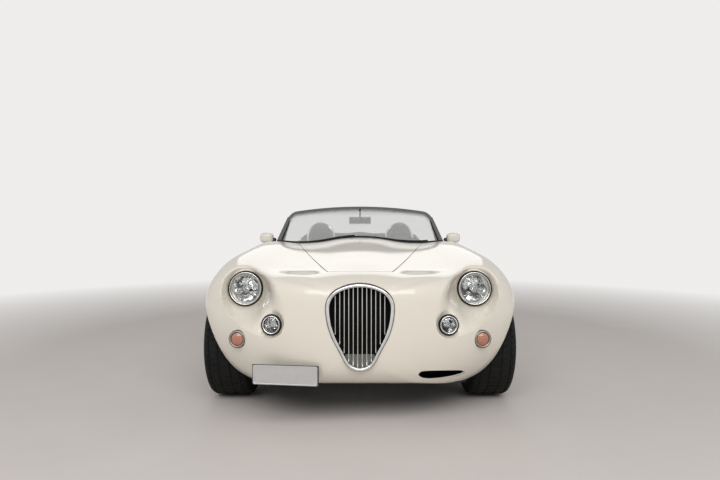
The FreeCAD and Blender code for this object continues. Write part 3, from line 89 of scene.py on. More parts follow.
@dataclass
class Skin:
    """A triangle mesh held as arrays while it is worked on.

    Attributes:
        points: Vertex places in metres, one row each.
        faces: Vertex numbers of each triangle.
        normals: Unit normals at the vertices, pointing outwards.
    """

    points: Array
    faces: Array
    normals: Array

    def flipped(self) -> "Skin":
        """The same mesh seen from its other side."""
        return Skin(self.points, self.faces[:, ::-1], -self.normals)

    def clip(self, level: Array) -> "Skin":
        """Cuts the mesh where a value on its vertices passes zero, and keeps the part above it.

        Each crossed edge gets one new vertex, placed where the value along that edge is zero.

        Args:
            level: One value for each vertex.

        Returns:
            The part of the mesh where the value is above zero.
        """
        level = np.where(np.abs(level) < 1e-7, 1e-7, level)
        inside = level > 0
        count = inside[self.faces].sum(axis=1)
        kept = self.faces[count == 3]
        one = self._turned(self.faces[count == 1], inside, True)
        two = self._turned(self.faces[count == 2], inside, False)
        edges = np.concatenate([one[:, [0, 1]], one[:, [0, 2]], two[:, [1, 2]], two[:, [0, 2]]])
        if len(edges) == 0:
            return self._packed(self.points, kept, self.normals)
        edges, back = np.unique(np.sort(edges, axis=1), axis=0, return_inverse=True)
        back = back.reshape(-1)
        low, high = level[edges[:, 0]], level[edges[:, 1]]
        share = (low / (low - high))[:, None]
        points = self.points[edges[:, 0]] * (1 - share) + self.points[edges[:, 1]] * share
        normals = self.normals[edges[:, 0]] * (1 - share) + self.normals[edges[:, 1]] * share
        normals /= np.linalg.norm(normals, axis=1, keepdims=True) + 1e-12
        fresh = back + len(self.points)
        n1, n2 = len(one), len(two)
        first, second = fresh[:n1], fresh[n1 : 2 * n1]
        third, fourth = fresh[2 * n1 : 2 * n1 + n2], fresh[2 * n1 + n2 :]
        faces = np.concatenate(
            [
                kept,
                np.stack([one[:, 0], first, second], axis=1),
                np.stack([two[:, 0], two[:, 1], third], axis=1),
                np.stack([two[:, 0], third, fourth], axis=1),
            ]
        )
        return self._packed(
            np.concatenate([self.points, points]), faces, np.concatenate([self.normals, normals])
        )

    @staticmethod
    def _turned(faces: Array, inside: Array, lone: bool) -> Array:
        """Rotates each triangle's corners so that its odd one out comes first (lone) or last."""
        odd = inside[faces] if lone else ~inside[faces]
        start = np.argmax(odd, axis=1) + (0 if lone else 1)
        order = (start[:, None] + np.arange(3)) % 3
        return np.take_along_axis(faces, order, axis=1)

    @staticmethod
    def _packed(points: Array, faces: Array, normals: Array) -> "Skin":
        """Drops vertices that no triangle uses."""
        used, back = np.unique(faces, return_inverse=True)
        return Skin(points[used], back.reshape(faces.shape), normals[used])

    def shell(self, thickness: float) -> "Skin":
        """Gives the mesh a wall: a copy moved inwards along the normals, joined along the open edges.

        Args:
            thickness: Wall in metres.

        Returns:
            A closed mesh.
        """
        n = len(self.points)
        edges = np.concatenate([self.faces[:, [0, 1]], self.faces[:, [1, 2]], self.faces[:, [2, 0]]])
        codes = edges.min(axis=1) * n + edges.max(axis=1)
        _, first, count = np.unique(codes, return_index=True, return_counts=True)
        rim = edges[first[count == 1]]
        a, b = rim[:, 0], rim[:, 1]
        faces = np.concatenate(
            [
                self.faces,
                self.faces[:, ::-1] + n,
                np.stack([b, a, a + n], axis=1),
                np.stack([b, a + n, b + n], axis=1),
            ]
        )
        points = np.concatenate([self.points, self.points - self.normals * thickness])
        return Skin(points, faces, np.concatenate([self.normals, -self.normals]))

    def mirrored(self) -> "Skin":
        """The mesh on the other side of the car, with its faces still pointing outwards."""
        flip = np.array([-1.0, 1.0, 1.0])
        return Skin(self.points * flip, self.faces[:, ::-1], self.normals * flip)

    @staticmethod
    def joined(skins: Sequence["Skin"]) -> "Skin":
        """One mesh from several, with their vertices kept apart."""
        offsets = np.cumsum([0] + [len(s.points) for s in skins[:-1]])
        return Skin(
            np.concatenate([s.points for s in skins]),
            np.concatenate([s.faces + o for s, o in zip(skins, offsets)]),
            np.concatenate([s.normals for s in skins]),
        )

    @staticmethod
    def of(points: Array, faces: Array) -> "Skin":
        """A mesh with normals worked out from its triangles, each weighted by its area."""
        corners = points[faces]
        cross = np.cross(corners[:, 1] - corners[:, 0], corners[:, 2] - corners[:, 0])
        normals = np.zeros_like(points)
        for corner in range(3):
            np.add.at(normals, faces[:, corner], cross)
        normals /= np.linalg.norm(normals, axis=1, keepdims=True) + 1e-15
        return Skin(points, faces, normals)


def grid_faces(rows: int, columns: int, wrap_rows: bool = False, wrap_columns: bool = False) -> Array:
    """Triangles of a grid of vertices numbered row by row.

    Args:
        rows: Number of rows of vertices.
        columns: Number of vertices in a row.
        wrap_rows: Whether the last row joins the first.
        wrap_columns: Whether each row closes on itself.

    Returns:
        Vertex numbers, three to a triangle. The cross product of the row step and the column step
        points out of the front.
    """
    i = np.arange(rows if wrap_rows else rows - 1)
    j = np.arange(columns if wrap_columns else columns - 1)
    i, j = (a.ravel() for a in np.meshgrid(i, j, indexing="ij"))
    i2, j2 = (i + 1) % rows, (j + 1) % columns
    a, b, c, d = i * columns + j, i2 * columns + j, i2 * columns + j2, i * columns + j2
    return np.concatenate([np.stack([a, b, c], axis=1), np.stack([a, c, d], axis=1)])


def grid_skin(points: Array, wrap_rows: bool = False, wrap_columns: bool = False) -> Skin:
    """A mesh from a grid of points of shape rows by columns by three.

    Vertices that fall together at a pole are merged, and triangles without area are dropped.
    """
    rows, columns = points.shape[:2]
    faces = grid_faces(rows, columns, wrap_rows, wrap_columns)
    flat = points.reshape(-1, 3)
    _, first, back = np.unique(np.round(flat, 7), axis=0, return_index=True, return_inverse=True)
    faces = back.reshape(-1)[faces]
    ok = (faces[:, 0] != faces[:, 1]) & (faces[:, 1] != faces[:, 2]) & (faces[:, 2] != faces[:, 0])
    return Skin.of(flat[first], faces[ok])


def circle(radius: float, count: int, squash: float = 1.0) -> Array:
    """A closed ring of points about the origin, (radius cos a, radius squash sin a)."""
    a = np.linspace(0, 2 * np.pi, count, endpoint=False)
    return np.stack([radius * np.cos(a), radius * squash * np.sin(a)], axis=1)


def rounded_rectangle(width: float, height: float, radius: float, per_corner: int = 5) -> Array:
    """A closed outline: four quarter circles whose centres are the corners drawn in by the radius."""
    a = np.linspace(0, np.pi / 2, per_corner)
    arc = np.stack([np.cos(a), np.sin(a)], axis=1) * radius
    x, y = width / 2 - radius, height / 2 - radius
    out = []
    for turn, centre in enumerate(((x, y), (-x, y), (-x, -y), (x, -y))):
        c, s = math.cos(turn * math.pi / 2), math.sin(turn * math.pi / 2)
        out.append(arc @ np.array([[c, s], [-s, c]]) + centre)
    return np.concatenate(out)


def frames_along(path: Array, closed: bool, up: Array) -> tuple[Array, Array]:
    """Two unit directions across a path at each of its points.

    The tangent is the difference of the neighbours. The first direction is up less its part along
    the tangent, and the second is tangent cross first.
    """
    if closed:
        tangent = np.roll(path, -1, axis=0) - np.roll(path, 1, axis=0)
    else:
        tangent = np.gradient(path, axis=0)
    tangent /= np.linalg.norm(tangent, axis=1, keepdims=True)
    up = np.broadcast_to(up, path.shape)
    first = up - (up * tangent).sum(axis=1, keepdims=True) * tangent
    first /= np.linalg.norm(first, axis=1, keepdims=True)
    return first, np.cross(tangent, first)


def sweep(path: Array, profile: Array, up: Array = UP, closed: bool = False,
          scale: Array | None = None) -> Skin:
    """Carries a closed profile along a path.

    Point (i, j) is path i plus profile x times the second direction plus profile y times the first.

    Args:
        path: Points of the centre line.
        profile: Closed outline, counter-clockwise seen along the path.
        up: The direction that profile y follows, one for all or one for each path point.
        closed: Whether the path closes on itself.
        scale: Factor on the profile at each path point.

    Returns:
        A closed mesh, with flat ends on an open path.
    """
    first, second = frames_along(path, closed, np.asarray(up, float))
    size = np.ones(len(path)) if scale is None else scale
    x = profile[None, :, 0, None] * size[:, None, None]
    y = profile[None, :, 1, None] * size[:, None, None]
    points = path[:, None] + x * second[:, None] + y * first[:, None]
    if not closed:
        points = capped(points)
    return facing_out(grid_skin(points, wrap_rows=closed, wrap_columns=True))


def capped(rings: Array) -> Array:
    """Adds a row at each end, whose points all lie at the mean of the row beside it."""
    start = np.broadcast_to(rings[:1].mean(axis=1, keepdims=True), rings[:1].shape)
    end = np.broadcast_to(rings[-1:].mean(axis=1, keepdims=True), rings[-1:].shape)
    return np.concatenate([start, rings, end])


def facing_out(skin: Skin) -> Skin:
    """Turns a closed mesh so that its signed volume is above zero."""
    a, b, c = (skin.points[skin.faces[:, k]] for k in range(3))
    if (a * np.cross(b, c)).sum() < 0:
        return skin.flipped()
    return skin


def turned(profile: Array, centre: Sequence[float], axis: Sequence[float], count: int = 64) -> Skin:
    """Turns a profile about an axis.

    Point (i, j) is centre plus axis times profile i's first number plus its second number times the
    direction at angle j.

    Args:
        profile: (distance along the axis, radius) of each point, open or closed.
        centre: A point on the axis.
        axis: The axis.
        count: Points round the axis.

    Returns:
        A mesh whose sides face away from the axis where the profile runs along it.
    """
    axis = np.asarray(axis, float) / np.linalg.norm(axis)
    helper = UP if abs(axis[2]) < 0.9 else np.array([0.0, 1.0, 0.0])
    first = np.cross(helper, axis)
    first /= np.linalg.norm(first)
    second = np.cross(axis, first)
    a = np.linspace(0, 2 * np.pi, count, endpoint=False)
    ring = np.cos(a)[:, None] * first + np.sin(a)[:, None] * second
    points = (
        np.asarray(centre, float)
        + profile[:, None, 0, None] * axis
        + profile[:, None, 1, None] * ring[None]
    )
    return facing_out(grid_skin(points, wrap_columns=True))


def smooth_profile(points: Sequence[Sequence[float]], steps: int = 8) -> Array:
    """A Catmull-Rom curve through points: each span blends its end points and their chords cubically."""
    p = np.asarray(points, float)
    p = np.concatenate([2 * p[:1] - p[1:2], p, 2 * p[-1:] - p[-2:-1]])
    t = np.linspace(0, 1, steps, endpoint=False)[:, None, None]
    a, b, c, d = p[:-3], p[1:-2], p[2:-1], p[3:]
    curve = 0.5 * (2 * b + (c - a) * t + (2 * a - 5 * b + 4 * c - d) * t**2 + (3 * b - a - 3 * c + d) * t**3)
    return np.concatenate([curve.transpose(1, 0, 2).reshape(-1, p.shape[1]), p[-2:-1]])


def pillow(centre: Sequence[float], half: Sequence[float], power: float = 4.0, rows: int = 25,
           columns: int = 48) -> Skin:
    """A rounded block: a sphere whose cosines are raised to 2 over power, so that 2 gives an ellipsoid.

    x = hx s(cos e) s(cos a), y = hy s(cos e) s(sin a), z = hz s(sin e), with s the signed power.
    """
    e = np.linspace(-np.pi / 2, np.pi / 2, rows)[:, None]
    a = np.linspace(0, 2 * np.pi, columns, endpoint=False)[None]

    def s(value: Array) -> Array:
        """The signed power."""
        return np.sign(value) * np.abs(value) ** (2.0 / power)

    ce = s(np.cos(e))
    points = np.stack([ce * s(np.cos(a)), ce * s(np.sin(a)), s(np.sin(e)) * np.ones_like(a)], axis=2)
    return facing_out(grid_skin(points * np.asarray(half, float) + np.asarray(centre, float),
                                wrap_columns=True))


def block(low: Sequence[float], high: Sequence[float], radius: float = 0.004) -> Skin:
    """A block with rounded edges: a rounded rectangle in plan, drawn in by quarter circles at both ends."""
    low, high = np.asarray(low, float), np.asarray(high, float)
    size, centre = high - low, (high + low) / 2
    radius = min(radius, size.min() * 0.49)
    a = np.linspace(0, np.pi / 2, 4)
    inset = np.concatenate([radius * (1 - np.sin(a)), radius * (1 - np.sin(a[::-1]))])
    z = np.concatenate([-size[2] / 2 + radius * (1 - np.cos(a)),
                        size[2] / 2 - radius * (1 - np.cos(a[::-1]))])
    rings = []
    for step, height in zip(inset, z):
        outline = rounded_rectangle(size[0] - 2 * step, size[1] - 2 * step, max(radius - step, 1e-5) + 1e-5)
        rings.append(np.column_stack([outline, np.full(len(outline), height)]))
    rings = np.array(rings)
    points = capped(rings) + centre
    return facing_out(grid_skin(points, wrap_columns=True))


def slab(low: Sequence[float], high: Sequence[float]) -> Skin:
    """A plain box between two corners, for small things that repeat."""
    ends = np.array([low, high], float)
    x, y, z = np.meshgrid(*ends.T, indexing="ij")
    points = np.column_stack([x.ravel(), y.ravel(), z.ravel()])
    quads = np.array([(0, 1, 3, 2), (4, 6, 7, 5), (0, 4, 5, 1), (2, 3, 7, 6), (0, 2, 6, 4), (1, 5, 7, 3)])
    return facing_out(Skin.of(points, np.concatenate([quads[:, [0, 1, 2]], quads[:, [0, 2, 3]]])))


def rod(start: Sequence[float], end: Sequence[float], radius: float, count: int = 20) -> Skin:
    """A round bar with slightly rounded ends."""
    start, end = np.asarray(start, float), np.asarray(end, float)
    length = float(np.linalg.norm(end - start))
    soft = min(radius * 0.2, length * 0.2)
    profile = np.array(
        [(0, 0), (0, radius - soft), (soft, radius), (length - soft, radius), (length, radius - soft),
         (length, 0)]
    )
    return turned(profile, start, end - start, count)


def moved(skin: Skin, matrix: Array, centre: Sequence[float]) -> Skin:
    """The mesh turned by a 3 by 3 matrix about the origin and then shifted."""
    return Skin(skin.points @ matrix.T + np.asarray(centre, float), skin.faces, skin.normals @ matrix.T)


def turn_about(axis: Sequence[float], degrees: float) -> Array:
    """The matrix of a turn about an axis: cos times the identity, plus sin times the cross product
    matrix, plus the rest along the axis."""
    x, y, z = np.asarray(axis, float) / np.linalg.norm(axis)
    a = math.radians(degrees)
    cross = np.array([[0, -z, y], [z, 0, -x], [-y, x, 0]])
    outer = np.outer([x, y, z], [x, y, z])
    return math.cos(a) * np.eye(3) + math.sin(a) * cross + (1 - math.cos(a)) * outer


# Shader graphs and finishes

Colour = tuple[float, float, float]


class Value:
    """One output or number of a shader graph that can stand in Python expressions."""

    def __init__(self, graph: "Graph", socket: bpy.types.NodeSocket) -> None:
        """Keeps the graph and its socket."""
        self.graph = graph
        self.socket = socket

    def _math(self, operation: str, *values: "Value | float", clamp: bool = False) -> "Value":
        """Adds a Math node whose inputs are the given values in order."""
        inputs = dict(enumerate(values))
        node = self.graph.add("ShaderNodeMath", {"operation": operation, "use_clamp": clamp}, inputs)
        return Value(self.graph, node.outputs[0])

    def __add__(self, other: "Value | float") -> "Value":
        """Self plus other."""
        return self._math("ADD", self, other)

    __radd__ = __add__

    def __mul__(self, other: "Value | float") -> "Value":
        """Self times other."""
        return self._math("MULTIPLY", self, other)

    __rmul__ = __mul__

    def __sub__(self, other: "Value | float") -> "Value":
        """Self less other."""
        return self._math("SUBTRACT", self, other)

    def __rsub__(self, other: "Value | float") -> "Value":
        """Other less self."""
        return self._math("SUBTRACT", other, self)

    def __truediv__(self, other: "Value | float") -> "Value":
        """Self over other."""
        return self._math("DIVIDE", self, other)

    def __pow__(self, other: "Value | float") -> "Value":
        """Self to the power of other."""
        return self._math("POWER", self, other)

    def sine(self) -> "Value":
        """The sine of self."""
        return self._math("SINE", self)

    def between(self, low: float, high: float) -> "Value":
        """Zero below low, one above high and a straight rise between them."""
        return self._math("MULTIPLY", self - low, 1.0 / (high - low), clamp=True)


class Graph:
    """The node graph of one material."""

    def __init__(self, name: str) -> None:
        """Starts an empty material."""
        self.material = bpy.data.materials.new(name)
        self.material.use_nodes = True
        self.tree = self.material.node_tree
        self.tree.nodes.clear()

    def add(self, kind: str, settings: dict | None = None, inputs: dict | None = None) -> bpy.types.Node:
        """Adds a node.

        Args:
            kind: The node's type.
            settings: Attributes set first. "stops" holds a ramp's (place, colour) pairs.
            inputs: Values or links by socket name or number.

        Returns:
            The node.
        """
        node = self.tree.nodes.new(kind)
        for key, value in (settings or {}).items():
            if key == "stops":
                ramp = node.color_ramp
                while len(ramp.elements) < len(value):
                    ramp.elements.new(0.5)
                for element, (place, colour) in zip(ramp.elements, value):
                    element.position = place
                    element.color = (*colour, 1.0)
            else:
                setattr(node, key, value)
        for key, value in (inputs or {}).items():
            socket = node.inputs[key]
            if isinstance(value, Value):
                self.tree.links.new(value.socket, socket)
            elif (isinstance(value, tuple) and len(value) == 3
                  and len(getattr(socket, "default_value", ())) == 4):
                socket.default_value = (*value, 1.0)
            else:
                socket.default_value = value
        return node

    def value(self, kind: str, output: str | int, settings: dict | None = None,
              inputs: dict | None = None) -> Value:
        """Adds a node and gives one of its outputs."""
        return Value(self, self.add(kind, settings, inputs).outputs[output])

    def place(self, scale: Sequence[float] = (1.0, 1.0, 1.0),
              turn: Sequence[float] = (0.0, 0.0, 0.0)) -> Value:
        """The point on the surface in metres, stretched and turned."""
        point = self.value("ShaderNodeTexCoord", "Object")
        inputs = {"Vector": point, "Scale": tuple(scale), "Rotation": tuple(turn)}
        return self.value("ShaderNodeMapping", "Vector", {}, inputs)

    def axis(self, letter: str) -> Value:
        """X, Y or Z of the point on the surface."""
        point = self.value("ShaderNodeTexCoord", "Object")
        return self.value("ShaderNodeSeparateXYZ", letter, {}, {"Vector": point})

    def attribute(self, name: str) -> Value:
        """A number stored at the mesh's vertices."""
        return self.value("ShaderNodeAttribute", "Fac", {"attribute_name": name})

    def noise(self, scale: float, detail: float = 3.0, rough: float = 0.5, at: Value | None = None) -> Value:
        """Cloudy noise between zero and one."""
        inputs = {"Vector": at or self.place(), "Scale": scale, "Detail": detail, "Roughness": rough}
        return self.value("ShaderNodeTexNoise", 0, {}, inputs)

    def cells(self, scale: float, output: str = "Distance", at: Value | None = None,
              feature: str = "F1") -> Value:
        """Cells of irregular size, by distance from their centres or edges."""
        inputs = {"Vector": at or self.place(), "Scale": scale}
        return self.value("ShaderNodeTexVoronoi", output, {"feature": feature}, inputs)

    def blend(self, share: Value | float, first: Value | Colour, second: Value | Colour) -> Value:
        """A colour from first at zero to second at one."""
        node = self.add("ShaderNodeMix", {"data_type": "RGBA"}, {0: share, 6: first, 7: second})
        return Value(self, node.outputs[2])

    def bump(self, height: Value, depth: float, strength: float = 1.0, under: Value | None = None) -> Value:
        """A normal bent by a height map whose full range is depth metres."""
        inputs = {"Height": height, "Distance": depth, "Strength": strength}
        if under is not None:
            inputs["Normal"] = under
        return self.value("ShaderNodeBump", 0, {}, inputs)

    def surface(self, **inputs: "Value | float | Colour") -> Value:
        """A Principled shader; underscores in the names stand for spaces."""
        named = {key.replace("_", " "): value for key, value in inputs.items()}
        return self.value("ShaderNodeBsdfPrincipled", 0, {}, named)

    def finish(self, shader: Value) -> bpy.types.Material:
        """Links the shader to the output."""
        self.add("ShaderNodeOutputMaterial", {}, {"Surface": shader})
        return self.material


class Finish:
    """A surface finish that makes its material once."""

    _made: dict = {}

    def material(self) -> bpy.types.Material:
        """The finish's material, made on first use."""
        if self not in Finish._made:
            graph = Graph(type(self).__name__.lower() + f"_{len(Finish._made)}")
            Finish._made[self] = graph.finish(self.draw(graph))
        return Finish._made[self]

    def draw(self, graph: Graph) -> Value:
        """Draws the shader into a graph."""
        raise NotImplementedError


@dataclass(frozen=True)
class Paint(Finish):
    """Body paint: a solid colour with fine unevenness under a clear coat."""

    colour: Colour = (0.83, 0.785, 0.70)
    shade: Colour = (0.78, 0.73, 0.635)
    roughness: float = 0.38

    def draw(self, graph: Graph) -> Value:
        """Colour drifts slightly over the panels, and low parts carry a trace of dust."""
        drift = graph.noise(1.7, 2.0)
        low = 1.0 - graph.axis("Z").between(0.16, 0.36)
        tone = graph.blend(drift * 0.35, self.colour, self.shade)
        dusty = graph.blend(low * graph.noise(34.0, 5.0) * 0.35, tone, (0.52, 0.48, 0.41))
        peel = graph.bump(graph.noise(420.0, 2.0), 0.00006, 0.35)
        rough = self.roughness + graph.noise(90.0, 4.0) * 0.08
        return graph.surface(
            Base_Color=dusty, Roughness=rough, Coat_Weight=0.85, Coat_Roughness=0.05, Coat_IOR=1.45,
            Normal=peel
        )


@dataclass(frozen=True)
class Metal(Finish):
    """Bare or plated metal."""

    colour: Colour = (0.78, 0.78, 0.77)
    dull: Colour = (0.52, 0.52, 0.52)
    roughness: float = 0.07
    spread: float = 0.08
    grain: float = 300.0
    depth: float = 0.00002

    def draw(self, graph: Graph) -> Value:
        """Fine scuffs break the gloss, and patches are a little duller."""
        patch = graph.noise(26.0, 5.0, 0.6)
        scuff = graph.noise(self.grain, 4.0, 0.7, graph.place((1.0, 0.25, 1.0)))
        tone = graph.blend(patch.between(0.35, 0.8) * 0.45, self.colour, self.dull)
        rough = self.roughness + patch * self.spread + scuff * self.spread * 0.5
        return graph.surface(Base_Color=tone, Metallic=1.0, Roughness=rough,
                             Normal=graph.bump(scuff, self.depth))


@dataclass(frozen=True)
class Turned(Finish):
    """Metal turned on a lathe: rings about the axle, read from the vertices' distance from it."""

    colour: Colour = (0.46, 0.46, 0.47)
    pitch: float = 0.0016

    def draw(self, graph: Graph) -> Value:
        """A sine of the distance from the axle gives the tool's rings."""
        radius = graph.attribute("radius")
        rings = (radius * (2 * math.pi / self.pitch)).sine() * 0.5 + 0.5
        rust = graph.noise(55.0, 5.0, 0.65).between(0.5, 0.85)
        tone = graph.blend(rust * 0.3, self.colour, (0.25, 0.19, 0.15))
        rough = 0.26 + rings * 0.12 + rust * 0.2
        return graph.surface(Base_Color=tone, Metallic=1.0, Roughness=rough,
                             Normal=graph.bump(rings, 0.00008))


@dataclass(frozen=True)
class Faceted(Finish):
    """A mirror-bright reflector pressed with small facets, each tilted its own way."""

    colour: Colour = (0.86, 0.87, 0.88)
    facets: float = 26.0

    def draw(self, graph: Graph) -> Value:
        """Smooth cells bend the normal, and a few facets get a painted reflection: their colour is darkened
        as if they mirrored something dark.
        """
        cell = graph.cells(self.facets, "Distance", feature="SMOOTH_F1")
        # Painted reflection: noise patches darken the mirror's colour where facets seem to reflect something
        # dark.
        dark = graph.noise(21.0, 0.0).between(0.60, 0.66)
        tone = graph.blend(dark * 0.75, self.colour, (0.10, 0.10, 0.11))
        return graph.surface(Base_Color=tone, Metallic=1.0, Roughness=0.06 + dark * 0.1,
                             Normal=graph.bump(cell, 0.0035))


@dataclass(frozen=True)
class Glass(Finish):
    """Clear or coloured glass."""

    colour: Colour = (0.97, 0.985, 0.98)
    tint: Colour = (0.020, 0.030, 0.036)
    tint_low: float = 9.0
    tint_high: float = 9.1
    shine: float = 0.28
    band: float = 0.13
    haze: float = 0.0

    def draw(self, graph: Graph) -> Value:
        """A thin pane: see-through, darker in the band along its top, with a mirror's share by its angle."""
        band = graph.axis("Z").between(self.tint_low, self.tint_high)
        smear = graph.noise(9.0, 6.0, 0.7)
        seen = graph.value("ShaderNodeBsdfTransparent", 0, {}, {"Color": self.colour})
        dark = graph.surface(Base_Color=self.tint, Roughness=0.3, Specular_IOR_Level=0.2)
        body = graph.value("ShaderNodeMixShader", 0, {}, {0: band * self.band, 1: seen, 2: dark})
        mirror = graph.surface(Base_Color=(0.97, 0.98, 0.98), Metallic=1.0, Roughness=0.01 + smear * 0.03)
        angle = graph.value("ShaderNodeFresnel", 0, {}, {"IOR": 1.45})
        return graph.value("ShaderNodeMixShader", 0, {},
                           {0: angle * self.shine + self.haze, 1: body, 2: mirror})


@dataclass(frozen=True)
class Lens(Finish):
    """Moulded lamp plastic with light inside it."""

    colour: Colour = (0.85, 0.30, 0.06)
    deep: Colour = (0.45, 0.11, 0.02)
    ribs: float = 900.0

    def draw(self, graph: Graph) -> Value:
        """Ribs run upright, and the colour deepens towards their valleys as painted shade, with some random
        drift.
        """
        wave = (graph.axis("X") * self.ribs).sine() * 0.5 + 0.5
        cross = (graph.axis("Z") * self.ribs).sine() * 0.5 + 0.5
        cell = wave * cross
        # Painted shade: the deep colour sits in the ribs' valleys.
        tone = graph.blend(cell * 0.7 + graph.noise(40.0) * 0.3, self.deep, self.colour)
        return graph.surface(
            Base_Color=tone, Roughness=0.12 + cell * 0.1, Coat_Weight=1.0, Coat_Roughness=0.03,
            Emission_Color=tone, Emission_Strength=0.06, Normal=graph.bump(cell, 0.0006),
        )


@dataclass(frozen=True)
class Rubber(Finish):
    """Tyre or seal rubber."""

    colour: Colour = (0.009, 0.009, 0.0095)
    worn: Colour = (0.024, 0.0235, 0.023)
    roughness: float = 0.62

    def draw(self, graph: Graph) -> Value:
        """Grey bloom in patches over a fine pebble."""
        bloom = graph.noise(17.0, 6.0, 0.65).between(0.4, 0.85)
        pebble = graph.noise(700.0, 3.0)
        tone = graph.blend(bloom * 0.7, self.colour, self.worn)
        rough = self.roughness + bloom * 0.14 + pebble * 0.05
        return graph.surface(
            Base_Color=tone, Roughness=rough, Specular_IOR_Level=0.16, Normal=graph.bump(pebble, 0.00025)
        )


@dataclass(frozen=True)
class Leather(Finish):
    """Grained hide with wrinkles and slightly rubbed high spots."""

    colour: Colour = (0.040, 0.041, 0.044)
    rubbed: Colour = (0.085, 0.084, 0.084)
    grain: float = 420.0

    def draw(self, graph: Graph) -> Value:
        """Cell edges make the grain, and slow noise makes the creases and the rubbed patches."""
        edge = graph.cells(self.grain, "Distance", feature="DISTANCE_TO_EDGE").between(0.0, 0.25)
        crease = graph.noise(24.0, 6.0, 0.62)
        tone = graph.blend(crease.between(0.45, 0.8) * 0.6, self.colour, self.rubbed)
        fine = graph.bump(edge, 0.00035)
        normal = graph.bump(crease, 0.0022, 0.5, fine)
        rough = 0.46 + crease * 0.16 + edge * 0.06
        return graph.surface(Base_Color=tone, Roughness=rough, Sheen_Weight=0.08, Normal=normal)


@dataclass(frozen=True)
class Weave(Finish):
    """Coarse roof cloth or carpet."""

    colour: Colour = (0.022, 0.023, 0.026)
    thread: Colour = (0.060, 0.061, 0.066)
    pitch: float = 0.0022
    depth: float = 0.0006
    fuzz: float = 0.35

    def draw(self, graph: Graph) -> Value:
        """Threads cross at right angles as the product of two sines, over a soft fuzz."""
        rate = 2 * math.pi / self.pitch
        across = (graph.axis("X") * rate).sine()
        along = ((graph.axis("Y") + graph.axis("Z")) * rate).sine()
        weave = across * along * 0.5 + 0.5
        fluff = graph.noise(650.0, 4.0, 0.7)
        tone = graph.blend(weave * 0.6 + fluff * self.fuzz, self.colour, self.thread)
        height = weave * (1.0 - self.fuzz) + fluff * self.fuzz
        return graph.surface(
            Base_Color=tone, Roughness=0.86 + fluff * 0.1, Sheen_Weight=0.35, Sheen_Roughness=0.5,
            Normal=graph.bump(height, self.depth),
        )


@dataclass(frozen=True)
class Plastic(Finish):
    """Moulded plastic or satin lacquer with a fine grain."""

    colour: Colour = (0.022, 0.022, 0.023)
    wear: Colour = (0.060, 0.060, 0.060)
    roughness: float = 0.42
    grain: float = 800.0
    depth: float = 0.0001
    coat: float = 0.0
    gloss: float = 0.5

    def draw(self, graph: Graph) -> Value:
        """Fine pebble with slow drift in tone and gloss."""
        pebble = graph.cells(self.grain)
        drift = graph.noise(13.0, 5.0, 0.6)
        tone = graph.blend(drift.between(0.45, 0.9) * 0.5, self.colour, self.wear)
        rough = self.roughness + drift * 0.12
        return graph.surface(
            Base_Color=tone, Roughness=rough, Coat_Weight=self.coat, Coat_Roughness=0.08,
            Specular_IOR_Level=self.gloss, Normal=graph.bump(pebble, self.depth),
        )


@dataclass(frozen=True)
class Mesh(Finish):
    """Rows of round holes in thin black sheet, coloured near black as painted shade."""

    pitch: float = 0.009

    def draw(self, graph: Graph) -> Value:
        """The product of two sines makes the holes, seen as dips painted darker with the shade behind them.
        """
        rate = 2 * math.pi / self.pitch
        wave = (graph.axis("X") * rate).sine() * (graph.axis("Z") * rate).sine()
        hole = (wave * 0.5 + 0.5).between(0.35, 0.6)
        # Painted shade: the sheet is near black and the holes darker still.
        tone = graph.blend(hole, (0.001, 0.001, 0.001), (0.010, 0.010, 0.011))
        return graph.surface(Base_Color=tone, Roughness=0.6, Specular_IOR_Level=0.1,
                             Normal=graph.bump(hole, 0.001))


@dataclass(frozen=True)
class Dial(Finish):
    """A gauge's face: pale ticks round a dark disc and a red needle, from attributes on the disc."""

    sweep: float = 0.62

    def draw(self, graph: Graph) -> Value:
        """Ticks are where a sine of the angle is high, between two radii; the needle is a thin sector."""
        radius = graph.attribute("radius")
        angle = graph.attribute("angle")
        band = radius.between(0.68, 0.7) * (1.0 - radius.between(0.88, 0.9))
        ticks = (angle * 40.0).sine().between(0.75, 0.85) * band * (1.0 - (angle * -1.0).between(1.1, 1.2))
        needle = (1.0 - ((angle - self.sweep) ** 2.0).between(0.0008, 0.0016)) * (1.0 - radius.between(0.8,
            0.82))
        drift = graph.noise(60.0, 3.0) * 0.4
        face = graph.blend(drift, (0.012, 0.012, 0.014), (0.03, 0.03, 0.034))
        marked = graph.blend(ticks, face, (0.78, 0.77, 0.72))
        return graph.surface(Base_Color=graph.blend(needle, marked, (0.75, 0.06, 0.03)), Roughness=0.4)


IVORY = Paint()
CHROME = Metal()
SATIN = Metal(colour=(0.60, 0.60, 0.60), dull=(0.42, 0.42, 0.42), roughness=0.24, spread=0.12)
ALLOY = Metal(colour=(0.62, 0.63, 0.64), dull=(0.48, 0.49, 0.50), roughness=0.2, spread=0.1, grain=900.0)
CAST = Metal(colour=(0.36, 0.36, 0.36), dull=(0.20, 0.20, 0.20), roughness=0.42, spread=0.2, grain=220.0,
             depth=0.0003)
PIPE = Metal(colour=(0.55, 0.53, 0.50), dull=(0.34, 0.30, 0.26), roughness=0.2, spread=0.22)
BLADE = Turned()
REFLECTOR = Faceted()
PANE = Glass(colour=(0.992, 0.998, 0.995), tint_low=1.085, tint_high=1.125, haze=0.22)
LAMP_GLASS = Glass(colour=(0.985, 0.99, 0.99), shine=0.6)
AMBER = Lens(colour=(0.62, 0.27, 0.17), deep=(0.34, 0.12, 0.075))
RING_BROWN = Metal(colour=(0.40, 0.365, 0.31), dull=(0.26, 0.235, 0.20), roughness=0.3, spread=0.12)
COLLAR_PALE = Metal(colour=(0.74, 0.73, 0.69), dull=(0.60, 0.59, 0.55), roughness=0.34, spread=0.1)
